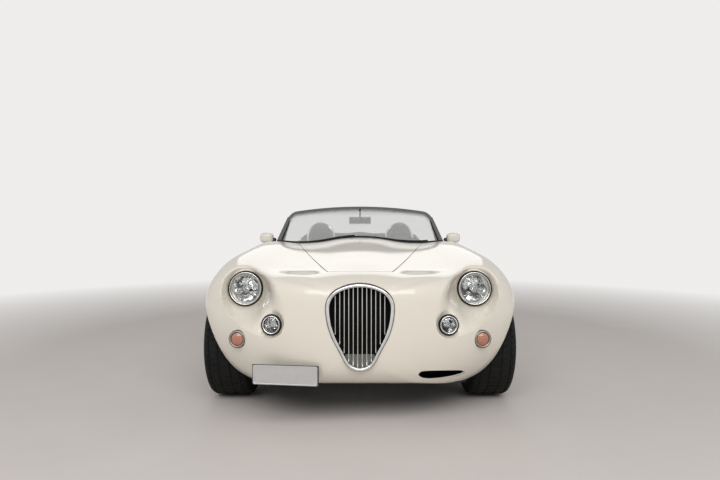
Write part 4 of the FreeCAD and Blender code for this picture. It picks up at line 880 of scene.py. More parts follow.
# Black far darker than real plastic, with little gloss: painted shade for the insides of the intakes and the
# grille's duct, also used on the grille's rail.
SHADE_BLACK = Plastic(colour=(0.0015, 0.0015, 0.0018), wear=(0.003, 0.003, 0.003), roughness=0.7, gloss=0.08)
# The grille's sill: a pale grey darkened as painted shade, for the shadow it lies in behind the bars.
SHADED_SILL_GREY = Plastic(colour=(0.20, 0.20, 0.17), wear=(0.30, 0.30, 0.26), roughness=0.5)
RED = Lens(colour=(0.62, 0.02, 0.015), deep=(0.22, 0.004, 0.004))
CLEAR_LENS = Lens(colour=(0.80, 0.80, 0.78), deep=(0.42, 0.42, 0.42))
TYRE = Rubber()
SEAL = Rubber(colour=(0.010, 0.010, 0.011), worn=(0.022, 0.022, 0.022), roughness=0.5)
HIDE = Leather()
SOFT_TOP = Weave()
CARPET = Weave(colour=(0.018, 0.018, 0.020), thread=(0.050, 0.050, 0.054), pitch=0.0045, depth=0.0016,
               fuzz=0.75)
BLACK = Plastic()
GLOSS_BLACK = Plastic(colour=(0.012, 0.012, 0.013), wear=(0.022, 0.022, 0.022), roughness=0.16, depth=0.00003)
UNDERSEAL = Plastic(colour=(0.020, 0.020, 0.021), roughness=0.75, grain=260.0, depth=0.0008)
FRAME_BLACK = Plastic(colour=(0.030, 0.031, 0.034), wear=(0.075, 0.076, 0.080), roughness=0.28, coat=0.6)
PLATE = Metal(colour=(0.66, 0.66, 0.67), dull=(0.58, 0.58, 0.59), roughness=0.38, spread=0.08)
# Near-black mesh: its darkness is painted shade, for the grille, the side vents' wells and the radiator.
GRILLE_MESH = Mesh()
DIAL = Dial()


def piece(
    name: str,
    skin: Skin,
    finish: Finish,
    body: str = "root",
    slot: str | None = None,
    replaces: Sequence[str] = (),
    crease: float = 38.0,
    attributes: dict[str, Array] | None = None,
) -> bpy.types.Object:
    """Puts a mesh into the scene.

    Args:
        name: The piece's name.
        skin: Its mesh in the car's frame.
        finish: Its surface finish.
        body: The moving body that it rides on.
        slot: The record's material slot; not used.
        replaces: Nodes of the frame that it stands for.
        crease: Edges that turn more than this many degrees stay sharp.
        attributes: Numbers for each vertex, by name.

    Returns:
        The object, at the origin.
    """
    mesh = bpy.data.meshes.new(name)
    count = len(skin.faces)
    mesh.vertices.add(len(skin.points))
    mesh.vertices.foreach_set("co", skin.points.astype(np.float32).ravel())
    mesh.loops.add(3 * count)
    mesh.loops.foreach_set("vertex_index", skin.faces.astype(np.int32).ravel())
    mesh.polygons.add(count)
    mesh.polygons.foreach_set("loop_start", np.arange(0, 3 * count, 3, dtype=np.int32))
    mesh.update(calc_edges=True)
    mesh.validate()
    mesh.shade_smooth()
    mesh.set_sharp_from_angle(angle=math.radians(crease))
    for key, values in (attributes or {}).items():
        layer = mesh.attributes.new(key, "FLOAT", "POINT")
        layer.data.foreach_set("value", values.astype(np.float32))
    mesh.materials.append(finish.material())
    obj = bpy.data.objects.new(name, mesh)
    bpy.context.scene.collection.objects.link(obj)
    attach(obj, body)
    if replaces:
        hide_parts(*replaces)
    LOG.info("%s: %d triangles on %s", name, count, body)
    return obj


def dress(node: str, finish: Finish) -> None:
    """Gives a node of the frame its finished material and leaves its shape as it is."""
    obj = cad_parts[node]
    for slot in obj.material_slots:
        slot.material = finish.material()
    LOG.info("%s: dressed as it stands", node)


# The body's outer form


def along_arc(start: Array, way: Array, end: Array, share: Array) -> Array:
    """Points on the arcs that leave start along way and pass through end, one arc for each row.

    With a the angle between way and the chord, the arc turns 2a, its radius is chord / (2 sin a), and a
    point at share s is start + r sin(2as) way + r (1 - cos(2as)) across.
    """
    chord = end - start
    length = np.linalg.norm(chord, axis=1, keepdims=True)
    unit = chord / length
    dot = np.clip((unit * way).sum(axis=1, keepdims=True), -1.0, 1.0)
    angle = np.maximum(np.arccos(dot), 1e-5)
    across = unit - dot * way
    across /= np.linalg.norm(across, axis=1, keepdims=True) + 1e-15
    radius = length / (2 * np.sin(angle))
    turn = 2 * angle * share[None]
    out = (radius * np.sin(turn))[..., None] * way[:, None] + (radius * (1 - np.cos(turn)))[...,
        None] * across[:, None]
    return start[:, None] + out


def along_biarc(start: Array, way_in: Array, end: Array, way_out: Array, share: Array) -> Array:
    """Points on two tangent arcs between points with given directions, one pair for each row.

    The joint is the middle of start + d way_in and end - d way_out, where d solves
    v.v - 2d v.(in + out) - 2d^2 (1 - in.out) = 0 with v the chord.
    """
    v = end - start
    vv = (v * v).sum(axis=1)
    spread = 2 * (1 - (way_in * way_out).sum(axis=1))
    lean = (v * (way_in + way_out)).sum(axis=1)
    flat = spread < 1e-6
    safe = np.where(flat, 1.0, spread)
    reach = np.where(
        flat, vv / (4 * (v * way_in).sum(axis=1) + 1e-15), (-lean + np.sqrt(lean * lean + safe * vv)) / safe
    )
    joint = (start + end + (way_in - way_out) * reach[:, None]) / 2
    first = along_arc(start, way_in, joint, share)
    second = along_arc(end, -way_out, joint, share)[:, ::-1]
    return np.concatenate([first, second[:, 1:]], axis=1)


def spline(knots: Array, values: Array, at: Array) -> Array:
    """A natural cubic spline through rows of values.

    The second derivatives m solve h m[i-1] + 2 (h + k) m[i] + k m[i+1] = 6 (slope after - slope before).
    """
    n = len(knots)
    step = np.diff(knots)
    matrix = np.eye(n)
    right = np.zeros_like(values)
    i = np.arange(1, n - 1)
    matrix[i, i - 1] = step[:-1]
    matrix[i, i] = 2 * (step[:-1] + step[1:])
    matrix[i, i + 1] = step[1:]
    slope = np.diff(values, axis=0) / step[:, None]
    right[1:-1] = 6 * np.diff(slope, axis=0)
    m = np.linalg.solve(matrix, right)
    k = np.clip(np.searchsorted(knots, at) - 1, 0, n - 2)
    h = step[k][:, None]
    a = (knots[k + 1] - at)[:, None] / h
    b = 1 - a
    return a * values[k] + b * values[k + 1] + ((a**3 - a) * m[k] + (b**3 - b) * m[k + 1]) * h * h / 6


@dataclass
class Hull:
    """The body's outer form: sections across the car, smooth from nose to tail.

    Attributes:
        rows: y, belly_z, belly_x, side_x, side_z, crest_x, crest_z, valley_x, valley_z and crown_z of
            each section, in millimetres.
        stations: Number of sections in the worked-out grid.
    """

    rows: tuple = (
        (-1922, 395, 60, 112, 500, 64, 600, 34, 602, 607),
        (-1905, 312, 130, 240, 485, 150, 670, 84, 674, 680),
        (-1860, 250, 225, 400, 470, 262, 705, 150, 714, 724),
        (-1785, 212, 360, 555, 465, 400, 728, 235, 736, 749),
        (-1680, 185, 480, 690, 475, 540, 748, 300, 744, 766),
        (-1540, 162, 570, 828, 530, 630, 776, 335, 752, 786),
        (-1400, 152, 610, 864, 560, 655, 800, 352, 768, 803),
        (-1230, 150, 640, 873, 590, 660, 824, 372, 788, 824),
        (-900, 150, 665, 846, 560, 645, 862, 415, 830, 866),
        (-430, 150, 680, 806, 560, 655, 886, 456, 872, 914),
        (0, 150, 690, 796, 540, 690, 856, 500, 842, 862),
        (520, 150, 690, 806, 530, 706, 822, 520, 815, 832),
        (850, 150, 682, 852, 530, 690, 846, 500, 842, 862),
        (1132, 160, 650, 877, 570, 680, 862, 470, 846, 862),
        (1400, 182, 590, 846, 520, 620, 822, 420, 800, 816),
        (1620, 210, 500, 756, 505, 530, 752, 350, 738, 752),
        (1780, 245, 380, 600, 490, 400, 672, 250, 668, 680),
        (1880, 300, 230, 400, 470, 250, 600, 150, 602, 610),
        (1930, 370, 100, 190, 460, 110, 535, 62, 538, 543),
    )
    stations: int = 360
    middle: tuple[float, float] = (0.0, 0.45)
    y: Array = field(init=False)
    half: Array = field(init=False)
    polar: Array = field(init=False)
    angles: Array = field(init=False)

    def __post_init__(self) -> None:
        """Works out the sections and the table of radii that tells inside from outside."""
        rows = np.array(self.rows, float) / 1000.0
        gap = np.diff(rows, axis=0)
        step = np.sqrt(gap[:, 0] ** 2 + 0.35 * (gap[:, 1:] ** 2).mean(axis=1))
        knots = np.concatenate([[0.0], np.cumsum(step)])
        share = np.linspace(0, 1, self.stations)
        at = knots[-1] * (0.65 * share + 0.35 * share**2)
        columns = spline(knots, rows, at)
        self.y = columns[:, 0]
        self.half = self.sections(columns)
        offset = self.half - np.array(self.middle)
        angle = np.arctan2(offset[..., 1], offset[..., 0])
        radius = np.hypot(offset[..., 0], offset[..., 1])
        self.angles = np.linspace(-np.pi / 2, np.pi / 2, 721)
        self.polar = np.array([np.interp(self.angles, a, r) for a, r in zip(angle, radius)])

    @staticmethod
    def sections(columns: Array) -> Array:
        """The right half of each section's outline as (x, z) points, from the belly up to the crown.

        The belly is a line, then come an arc to the side, and smooth pairs of arcs to the wing's crest,
        down into the valley and up to the crown.
        """
        _, belly_z, belly_x, side_x, side_z, crest_x, crest_z, valley_x, valley_z, crown_z = columns.T
        zero = np.zeros_like(belly_z)
        belly = np.stack([belly_x, belly_z], axis=1)
        side = np.stack([side_x, side_z], axis=1)
        crest = np.stack([crest_x, crest_z], axis=1)
        valley = np.stack([valley_x, valley_z], axis=1)
        crown = np.stack([zero, crown_z], axis=1)
        up = np.broadcast_to([0.0, 1.0], belly.shape)
        inward = np.broadcast_to([-1.0, 0.0], belly.shape)
        flat = np.linspace(0, 1, 7)[None, :, None] * belly[:, None] * np.array([1.0, 0.0])
        flat[..., 1] = belly_z[:, None]
        sill = along_arc(side, -up, belly, np.linspace(0, 1, 22))[:, ::-1]
        shoulder = along_biarc(side, up, crest, inward, np.linspace(0, 1, 19))
        dip = along_biarc(crest, inward, valley, inward, np.linspace(0, 1, 10))
        rise = along_biarc(valley, inward, crown, inward, np.linspace(0, 1, 15))
        return np.concatenate([flat, sill[:, 1:], shoulder[:, 1:], dip[:, 1:], rise[:, 1:]], axis=1)

    def grid(self, low: float, high: float) -> Skin:
        """The form's skin between two places along the car, over its full width.

        Args:
            low: Front end in metres.
            high: Rear end in metres.

        Returns:
            An open mesh, facing outwards.
        """
        rows = (self.y >= low - 0.02) & (self.y <= high + 0.02)
        half, y = self.half[rows], self.y[rows]
        other = half[:, 1:-1][:, ::-1] * np.array([-1.0, 1.0])
        ring = np.concatenate([half, other], axis=1)
        points = np.stack([ring[..., 0], np.broadcast_to(y[:, None], ring.shape[:2]), ring[..., 1]], axis=2)
        skin = grid_skin(points, wrap_columns=True)
        middle = skin.points.copy()
        middle[:, [0, 2]] -= np.array(self.middle)
        if (skin.normals * middle)[:, [0, 2]].sum() < 0:
            skin = skin.flipped()
        return skin

    def depth(self, points: Array) -> Array:
        """How far inside the form points are, across the car: the form's radius about the middle line
        at the point's angle, less the point's own radius."""
        x, y, z = points.T
        dx, dz = np.abs(x) - self.middle[0], z - self.middle[1]
        row = np.interp(y, self.y, np.arange(len(self.y)))
        column = (np.arctan2(dz, dx) + np.pi / 2) / (self.angles[1] - self.angles[0])
        i = np.clip(row.astype(int), 0, len(self.y) - 2)
        j = np.clip(column.astype(int), 0, len(self.angles) - 2)
        u, v = row - i, column - j
        p = self.polar
        radius = (p[i, j] * (1 - v) + p[i, j + 1] * v) * (1 - u) + (p[i + 1, j] * (1 - v) + p[i + 1,
            j + 1] * v) * u
        inside = radius - np.hypot(dx, dz)
        ends = np.minimum(y - self.y[0], self.y[-1] - y)
        return np.minimum(inside, ends)

    def top(self, x: Array, y: Array) -> Array:
        """The height of the upper surface over a point in plan, found by halving."""
        x, y = np.broadcast_arrays(np.asarray(x, float), np.asarray(y, float))
        low, high = np.full(x.shape, 0.45), np.full(x.shape, 1.2)
        for _ in range(30):
            z = (low + high) / 2
            inside = self.depth(np.stack([x.ravel(), y.ravel(), z.ravel()], axis=1)).reshape(x.shape) > 0
            low, high = np.where(inside, z, low), np.where(inside, high, z)
        return low

    def side(self, y: Array, z: Array) -> Array:
        """The half width of the body at a place along the car and a height, found by halving."""
        y, z = np.broadcast_arrays(np.asarray(y, float), np.asarray(z, float))
        low, high = np.zeros(y.shape), np.full(y.shape, 1.1)
        for _ in range(30):
            x = (low + high) / 2
            inside = self.depth(np.stack([x.ravel(), y.ravel(), z.ravel()], axis=1)).reshape(y.shape) > 0
            low, high = np.where(inside, x, low), np.where(inside, high, x)
        return low

    def end(self, x: Array, z: Array, nose: bool = True) -> Array:
        """Where the nose's or tail's skin is along the car at a place across it, found by halving."""
        x, z = np.broadcast_arrays(np.asarray(x, float), np.asarray(z, float))
        inner = np.full(x.shape, -1.2 if nose else 1.2)
        outer = np.full(x.shape, -1.922 if nose else 1.93)
        for _ in range(30):
            y = (inner + outer) / 2
            inside = self.depth(np.stack([x.ravel(), y.ravel(), z.ravel()], axis=1)).reshape(x.shape) > 0
            inner, outer = np.where(inside, y, inner), np.where(inside, outer, y)
        return inner


def outline_level(points: Array, outline: Array) -> Array:
    """Signed distance from a closed outline, positive inside.

    The distance is the least over the outline's edges, and a point is inside if a ray from it crosses
    an odd number of them.
    """
    best = np.full(len(points), np.inf)
    inside = np.zeros(len(points), bool)
    for a, b in zip(outline, np.roll(outline, -1, axis=0)):
        edge = b - a
        away = points - a
        t = np.clip((away @ edge) / (edge @ edge + 1e-18), 0, 1)
        best = np.minimum(best, np.linalg.norm(away - t[:, None] * edge, axis=1))
        spans = (a[1] > points[:, 1]) != (b[1] > points[:, 1])
        rise = np.where(abs(edge[1]) < 1e-12, 1e-12, edge[1])
        inside ^= spans & (points[:, 0] < a[0] + (points[:, 1] - a[1]) / rise * edge[0])
    return np.where(inside, best, -best)


@dataclass
class Panel:
    """The outline in plan of a panel in the upper skin, with a bowed front and round rear corners."""

    front: float
    rear: float
    front_half: float
    rear_half: float
    corner: float

    def outline(self, grow: float = 0.0) -> Array:
        """The outline, larger all round by grow.

        The front is an arc through the two front corners and the middle of the front edge; the sides
        are lines and the rear corners are smooth curves.
        """
        fy, ry = self.front - grow, self.rear + grow
        fx, rx = self.front_half + grow, self.rear_half + grow
        bow = self.corner * 0.9
        radius = (fx * fx + bow * bow) / (2 * bow)
        reach = math.asin(fx / radius)
        a = np.linspace(-reach, reach, 41)
        front = np.stack([radius * np.sin(a), fy + radius - radius * np.cos(a)], axis=1)
        way = np.array([rx - fx, ry - self.corner - fy - bow])
        way /= np.linalg.norm(way)
        start = np.array([[rx, ry - self.corner]])
        end = np.array([[rx - self.corner, ry]])
        corner = along_arc(start, way[None], end, np.linspace(0, 1, 12))[0]
        return np.concatenate([front, corner, corner[::-1] * np.array([-1.0, 1.0])])

    def level(self, points: Array, grow: float = 0.0) -> Array:
        """Signed distance from the outline in plan, positive inside."""
        return outline_level(points[:, :2], self.outline(grow))


# Lamps' places, shared by the body and the lamps


@dataclass(frozen=True)
class LampSite:
    """Where a round lamp sits on the car's left side and how it looks outwards."""

    x: float
    y: float
    z: float
    radius: float
    pitch: float
    yaw: float

    @property
    def centre(self) -> Array:
        """The middle of the lamp's face."""
        return np.array([self.x, self.y, self.z])

    @property
    def look(self) -> Array:
        """The unit direction that the lamp faces: forwards at the nose, backwards at the tail."""
        p, w = math.radians(self.pitch), math.radians(self.yaw)
        way = -1.0 if self.y < 0 else 1.0
        return np.array([math.sin(w) * math.cos(p), way * math.cos(w) * math.cos(p), math.sin(p)])


HEADLAMP = LampSite(0.610, -1.572, 0.656, 0.092, 6.0, 4.0)
DRIVING_LAMP = LampSite(0.432, -1.812, 0.505, 0.049, 6.0, 8.0)
INDICATOR = LampSite(0.610, -1.758, 0.425, 0.0445, 2.0, 9.0)
TAIL_LAMP = LampSite(0.470, 1.834, 0.572, 0.058, 10.0, 24.0)
REVERSE_LAMP = LampSite(0.350, 1.886, 0.545, 0.034, 8.0, 18.0)


def resampled(outline: Array, count: int) -> Array:
    """A closed outline with its points spaced evenly along it."""
    closed = np.concatenate([outline, outline[:1]])
    length = np.concatenate([[0], np.cumsum(np.linalg.norm(np.diff(closed, axis=0), axis=1))])
    at = np.linspace(0, length[-1], count, endpoint=False)
    return np.stack([np.interp(at, length, closed[:, k]) for k in range(outline.shape[1])], axis=1)


@dataclass
class Scoop:
    """The hollow in each front wing that holds the headlamp and the driving lamp.

    Its edge is drawn as it shows from a point straight ahead, as (across, down) over the distance. Its
    floor is a thin plate that runs through that edge on the wing and through rings just behind both
    lamps' faces. It starts with a crease on its outer side and eases in on its inner side.

    Attributes:
        ahead: How far the point is ahead of the car's middle.
        height: The point's height.
        soft: Width of the eased start, over the distance.
        behind: How far the floor is behind the lamps' faces.
        clear: How far outside the lamps the rings are.
    """

    hull: Hull
    ahead: float = 4.32
    height: float = 0.962
    soft: float = 0.036
    behind: float = 0.009
    clear: float = 0.006
    edge: tuple[tuple[float, float], ...] = (
        (0.2685, 0.1118), (0.2680, 0.1325), (0.2586, 0.1559), (0.2470, 0.1720), (0.2290, 0.1878),
        (0.2068, 0.1998), (0.1886, 0.2064), (0.1731, 0.2089), (0.1588, 0.2037), (0.1500, 0.1921),
        (0.1470, 0.1702), (0.1470, 0.1420), (0.1550, 0.1100), (0.1720, 0.0830), (0.1980, 0.0665),
        (0.2320, 0.0625), (0.2560, 0.0740), (0.2655, 0.0930), (0.2685, 0.1118),
    )
    outline: Array = field(init=False)
    centres: Array = field(init=False)
    weights: Array = field(init=False)

    def __post_init__(self) -> None:
        """Solves for the plate's weights from the edge and the two rings."""
        self.outline = resampled(smooth_profile(self.edge, CURVE_STEPS)[:-1], 90)
        u, v = self.outline.T
        y = np.full(len(u), -1.6)
        for _ in range(14):
            y = 0.5 * y + 0.5 * self.hull.end(u * (y + self.ahead), self.height - v * (y + self.ahead))
        rim = np.column_stack([u * (y + self.ahead), self.height - v * (y + self.ahead), y])
        rings = []
        for lamp in (HEADLAMP, DRIVING_LAMP):
            a = np.linspace(0, 2 * np.pi, 28, endpoint=False)
            level = np.cross(UP, lamp.look)
            level /= np.linalg.norm(level)
            rise = np.cross(lamp.look, level)
            r = lamp.radius + self.clear
            ring = lamp.centre - lamp.look * self.behind + r * (np.cos(a)[:, None] * level + np.sin(a)[:,
                None] * rise)
            rings.append(ring[:, [0, 2, 1]])
        known = np.concatenate([rim, *rings])
        self.centres = known[:, :2]
        n = len(known)
        system = np.zeros((n + 3, n + 3))
        system[:n, :n] = self.kernel(self.centres) + 1e-5 * np.eye(n)
        system[:n, n:] = np.column_stack([np.ones(n), self.centres])
        system[n:, :n] = system[:n, n:].T
        self.weights = np.linalg.solve(system, np.concatenate([known[:, 2], np.zeros(3)]))

    def kernel(self, places: Array) -> Array:
        """The thin plate's basis, r squared times the logarithm of r, from places to the known points."""
        gap = places[:, None] - self.centres[None]
        square = (gap**2).sum(axis=2) + 1e-12
        return 0.5 * square * np.log(square)

    def floor(self, points: Array) -> Array:
        """Where the floor is along the car at the points' places across it."""
        places = np.column_stack([np.abs(points[:, 0]), points[:, 2]])
        plane = np.column_stack([np.ones(len(places)), places])
        n = len(self.centres)
        return self.kernel(places) @ self.weights[:n] + plane @ self.weights[n:]

    def level(self, points: Array) -> Array:
        """Signed distance from the edge as seen from ahead, positive inside."""
        away = points[:, 1] + self.ahead
        seen = np.column_stack([np.abs(points[:, 0]) / away, (self.height - points[:, 2]) / away])
        level = outline_level(seen, self.outline)
        return np.where(points[:, 1] < -1.30, level, -0.05)

    def ease(self, points: Array, level: Array) -> Array:
        """Share of the full depth: one on the outer side and by the lamps, and a smooth start elsewhere."""
        away = points[:, 1] + self.ahead
        u, v = np.abs(points[:, 0]) / away, (self.height - points[:, 2]) / away
        inner = np.clip(0.5 - ((u - 0.205) * 0.45 + (v - 0.155) * 0.893) / 0.030, 0, 1)
        start = np.clip(level / self.soft, 0, 1)
        start = start * start * (3 - 2 * start)
        near = np.ones(len(points))
        for lamp in (HEADLAMP, DRIVING_LAMP):
            flat = np.column_stack([np.abs(points[:, 0]) - lamp.x, points[:, 2] - lamp.z])
            share = np.clip((np.linalg.norm(flat, axis=1) - lamp.radius - 0.004) / 0.030, 0, 1)
            near = np.minimum(near, share * share * (3 - 2 * share))
        return 1 - inner * (1 - start) * near

    def cut_into(self, skin: Skin) -> Skin:
        """Splits a skin along the edge and sinks the inside straight back onto the floor."""
        level = self.level(skin.points)
        outside, inside = skin.clip(-level), skin.clip(level)
        at = np.clip(self.level(inside.points), 0, None)
        depth = np.maximum(self.floor(inside.points) - inside.points[:, 1], 0.0)
        depth = depth * self.ease(inside.points, at) * (at > 2e-6)
        sunk = inside.points + depth[:, None] * np.array([0.0, 1.0, 0.0])
        return welded(Skin.joined([outside, Skin.of(sunk, inside.faces)]))


def welded(skin: Skin) -> Skin:
    """Merges vertices that share a place, and keeps their summed normal."""
    _, first, back = np.unique(np.round(skin.points, 6), axis=0, return_index=True, return_inverse=True)
    back = back.reshape(-1)
    normals = np.zeros((len(first), 3))
    np.add.at(normals, back, skin.normals)
    normals /= np.linalg.norm(normals, axis=1, keepdims=True) + 1e-15
    faces = back[skin.faces]
    ok = (faces[:, 0] != faces[:, 1]) & (faces[:, 1] != faces[:, 2]) & (faces[:, 2] != faces[:, 0])
    return Skin(skin.points[first], faces[ok], normals)


@dataclass
class Body:
    """The painted body: one shell for nose, wings, sills and tail, with bonnet, boot lid and doors.

    Attributes:
        gap: Shut gap between panels.
        wall: Thickness of the painted skin.
        lid_wall: Thickness of bonnet and boot lid.
    """

    hull: Hull
    gap: float = 0.005
    wall: float = 0.004
    lid_wall: float = 0.014
    axle_y: tuple[float, float] = (-1.230, 1.132)
    arch: tuple[float, float] = (0.372, 0.356)
    well_x: tuple[float, float] = (0.440, 0.575)
    hub_z: float = 0.320
    hinge: tuple[float, float] = (0.768, -0.218)
    door_reach: float = 0.790
    door_nose: float = 0.046
    door_inner: float = 0.665
    door_bottom: float = 0.255
    door_corner: float = 0.095
    tub_half: float = 0.660
    tub_front: float = -0.225
    tub_rear: float = 0.640
    bonnet: Panel = field(default_factory=lambda: Panel(-1.725, -0.478, 0.165, 0.452, 0.060))
    lid: Panel = field(default_factory=lambda: Panel(1.020, 1.650, 0.400, 0.320, 0.070))
    bay: tuple[float, float, float] = (0.385, -1.600, -0.720)
    boot: tuple[float, float, float] = (0.380, 1.045, 1.625)
    boot_floor: float = 0.352
    plate_well: tuple[float, float, float] = (0.262, 0.450, 0.068)
    slot: tuple[tuple[float, float], ...] = (
        (0.1128, 0.2789), (0.1186, 0.2729), (0.1426, 0.2713), (0.1749, 0.2708), (0.1965, 0.2708),
        (0.2031, 0.2737),
        (0.1923, 0.2789), (0.1749, 0.2832), (0.1534, 0.2865), (0.1317, 0.2878), (0.1188, 0.2853),
        (0.1128, 0.2789),
    )

    def skin(self, low: float, high: float) -> Skin:
        """The outer skin with its lamp hollows, before it is cut into panels."""
        grid = self.hull.grid(low, high)
        return Scoop(self.hull).cut_into(grid) if low < -1.8 else grid

    def door_level(self, points: Array, grow: float = 0.0) -> Array:
        """Signed distance from the doors' edges, positive inside a door.

        A door is what lies outside its inner face, above its bottom, behind its hinge and within its
        reach of the hinge, with a round lower rear corner, together with a round nose about the hinge.
        """
        x, y, z = np.abs(points[:, 0]), points[:, 1], points[:, 2]
        away = np.hypot(x - self.hinge[0], y - self.hinge[1])
        behind = y - self.hinge[1] + grow * 0.5
        rear = self.door_reach + grow - away
        above = z - self.door_bottom + grow
        corner = self.door_corner
        dy, dz = np.maximum(corner - rear, 0), np.maximum(corner - above, 0)
        rounded = np.where((rear < corner) & (above < corner), corner - np.hypot(dy, dz),
                           np.minimum(rear, above))
        side = np.minimum.reduce([x - self.door_inner + grow, behind, rounded])
        nose = np.minimum(self.door_nose + grow - away, above)
        return np.maximum(side, nose)

    def tub_level(self, points: Array, grow: float = 0.0) -> Array:
        """Signed distance from the cockpit's opening in plan, positive inside: a box with round corners."""
        x, y = np.abs(points[:, 0]), points[:, 1]
        corner = 0.11
        front = y - self.tub_front + grow
        dx = self.tub_half + grow - x
        rear = self.tub_rear + 0.012 + grow - y
        box_level = np.minimum(dx, rear)
        round_level = corner - np.hypot(np.maximum(corner - dx, 0), np.maximum(corner - rear, 0))
        return np.minimum(np.where((dx < corner) & (rear < corner), round_level, box_level), front)

    def roof_well_level(self, points: Array) -> Array:
        """Signed distance from the folded roof's well in the deck, positive inside."""
        x, y = np.abs(points[:, 0]), points[:, 1]
        r = 0.06
        dx, dy = 0.6103 - x, 0.9053 - y
        corner = r - np.hypot(np.maximum(r - dx, 0), np.maximum(r - dy, 0))
        level = np.where((dx < r) & (dy < r), corner, np.minimum(dx, dy))
        return np.minimum(level, y - 0.5)

    def arch_level(self, points: Array, which: int, shrink: float = 0.0) -> Array:
        """Distance outside a pair of wheel arches, which are cylinders about the axle."""
        x, y, z = np.abs(points[:, 0]), points[:, 1], points[:, 2]
        away = np.hypot(y - self.axle_y[which], z - self.hub_z) - self.arch[which] + shrink
        return np.maximum(away, self.well_x[which] - x)

    def seen_from_ahead(self, points: Array) -> Array:
        """Where points show from the place straight ahead, as (across, down) over the distance."""
        away = points[:, 1] + Scoop.ahead
        return np.column_stack([np.abs(points[:, 0]) / away, (Scoop.height - points[:, 2]) / away])

    def slot_rim(self) -> Array:
        """The low intake's outline on the nose: its points as they show from ahead, carried onto the hull."""
        u, v = resampled(smooth_profile(self.slot, CURVE_STEPS)[:-1], OUTLINE_STEPS).T
        y = np.full(len(u), -1.8)
        for _ in range(14):
            y = 0.5 * y + 0.5 * self.hull.end(u * (y + Scoop.ahead), Scoop.height - v * (y + Scoop.ahead))
        return np.column_stack([u * (y + Scoop.ahead), y, Scoop.height - v * (y + Scoop.ahead)])

    def build_slots(self) -> None:
        """The low intakes' ducts: walls straight back from the outline and a closed end, black as painted
        shade for the dark inside the intakes.
        """
        rim = self.slot_rim()
        rim[:, 1] = np.minimum(rim[:, 1], -1.66)
        back = np.array([0.0, 1.0, 0.0])
        middle = rim.mean(axis=0)
        deep = rim + back * 0.060
        rows = [rim + back * 0.002, rim + back * 0.030, deep, middle + (deep - middle) * 0.5]
        rows.append(np.broadcast_to(deep.mean(axis=0), rim.shape))
        cup = grid_skin(np.array(rows), wrap_columns=True)
        if (cup.normals * (middle - cup.points)).sum() < 0:
            cup = cup.flipped()
        cup = cup.shell(THIN_WALL)
        # The ducts' near-black is painted shade.
        piece("intake_ducts", Skin.joined([cup, cup.mirrored()]), SHADE_BLACK, slot="black_plastic")

    def build_shell(self) -> None:
        """The fixed body: the skin less doors, bonnet, lid, cockpit, arches, lamps and intakes."""
        skin = self.skin(-1.922, 1.930)
        p = skin.points
        skin = skin.clip(-self.door_level(p, self.gap))
        for which in (0, 1):
            skin = skin.clip(self.arch_level(skin.points, which))
        p = skin.points
        upper = p[:, 2] - 0.60
        skin = skin.clip(-np.minimum(self.bonnet.level(p, self.gap), upper))
        p = skin.points
        skin = skin.clip(-np.minimum(self.lid.level(p, self.gap), p[:, 2] - 0.60))
        p = skin.points
        skin = skin.clip(-np.minimum(np.maximum(self.tub_level(p, 0.002), self.roof_well_level(p)),
                                     p[:, 2] - 0.60))
        p = skin.points
        nose = np.minimum(outline_level(p[:, [0, 2]], Grille().egg(0.004)), -1.7 - p[:, 1])
        skin = skin.clip(-nose)
        p = skin.points
        slot = resampled(smooth_profile(self.slot, CURVE_STEPS)[:-1], OUTLINE_STEPS)
        skin = skin.clip(-np.where(p[:, 1] < -1.5, outline_level(self.seen_from_ahead(p), slot), -1.0))
        self.build_slots()
        for lamp, clear in ((HEADLAMP, 0.001), (DRIVING_LAMP, 0.001), (INDICATOR, 0.001), (TAIL_LAMP, 0.001),
                            (REVERSE_LAMP, 0.001)):
            p = skin.points
            side = np.where(p[:, 0] < 0, -1.0, 1.0)[:, None] * np.array([1.0, 0, 0]) + np.array([0, 1.0, 1.0])
            away = p * side - lamp.centre
            along = away @ lamp.look
            off = np.linalg.norm(away - along[:, None] * lamp.look, axis=1)
            near = 0.16 - np.abs(along)
            skin = skin.clip(-np.minimum(lamp.radius + clear - off, near))
        p = skin.points
        half, z, high = self.plate_well
        plate = np.minimum.reduce([half - np.abs(p[:, 0]), high - np.abs(p[:, 2] - z), p[:, 1] - 1.6])
        skin = skin.clip(-plate)
        p = skin.points
        under = np.minimum.reduce([0.40 - np.abs(p[:, 0]), p[:, 1] - 1.332, 0.330 - p[:, 2]])
        skin = skin.clip(-under)
        p = skin.points
        skin = skin.clip(-np.minimum(outline_level(p[:, 1:], VENT), np.abs(p[:, 0]) - 0.6))
        belly = self.belly_level(skin.points)
        under_skin = skin.clip(belly)
        self.build_belly(under_skin)
        paint = skin.clip(-belly).shell(self.wall)
        piece("body_shell", paint, IVORY, slot="body_paint", replaces=("body_front", "body_rear", "sills"),
              crease=32)

    def belly_level(self, points: Array) -> Array:
        """Positive on the flat belly, which is undersealed and not painted."""
        y = points[:, 1]
        hull_low = np.interp(y, [row[0] / 1000 for row in self.hull.rows],
                             [row[1] / 1000 for row in self.hull.rows])
        return np.minimum.reduce([hull_low + 0.007 - points[:, 2], y + 1.70, 1.70 - y])

    def build_belly(self, skin: Skin) -> None:
        """The undersealed floor around the cabin's floor pan and the open engine bay."""
        p = skin.points
        tub = np.minimum.reduce([0.660 - np.abs(p[:, 0]), p[:, 1] + 0.700, 0.640 - p[:, 1]])
        skin = skin.clip(-tub)
        p = skin.points
        half, front, rear = self.bay
        skin = skin.clip(-np.minimum.reduce([half - np.abs(p[:, 0]), p[:, 1] - front, rear - p[:, 1]]))
        p = skin.points
        skin = skin.clip(-np.minimum.reduce([0.580 - np.abs(p[:, 0]), p[:, 1] - 0.902, 1.362 - p[:, 1]]))
        piece("underbody", skin.shell(0.006), UNDERSEAL, slot="chassis_black")

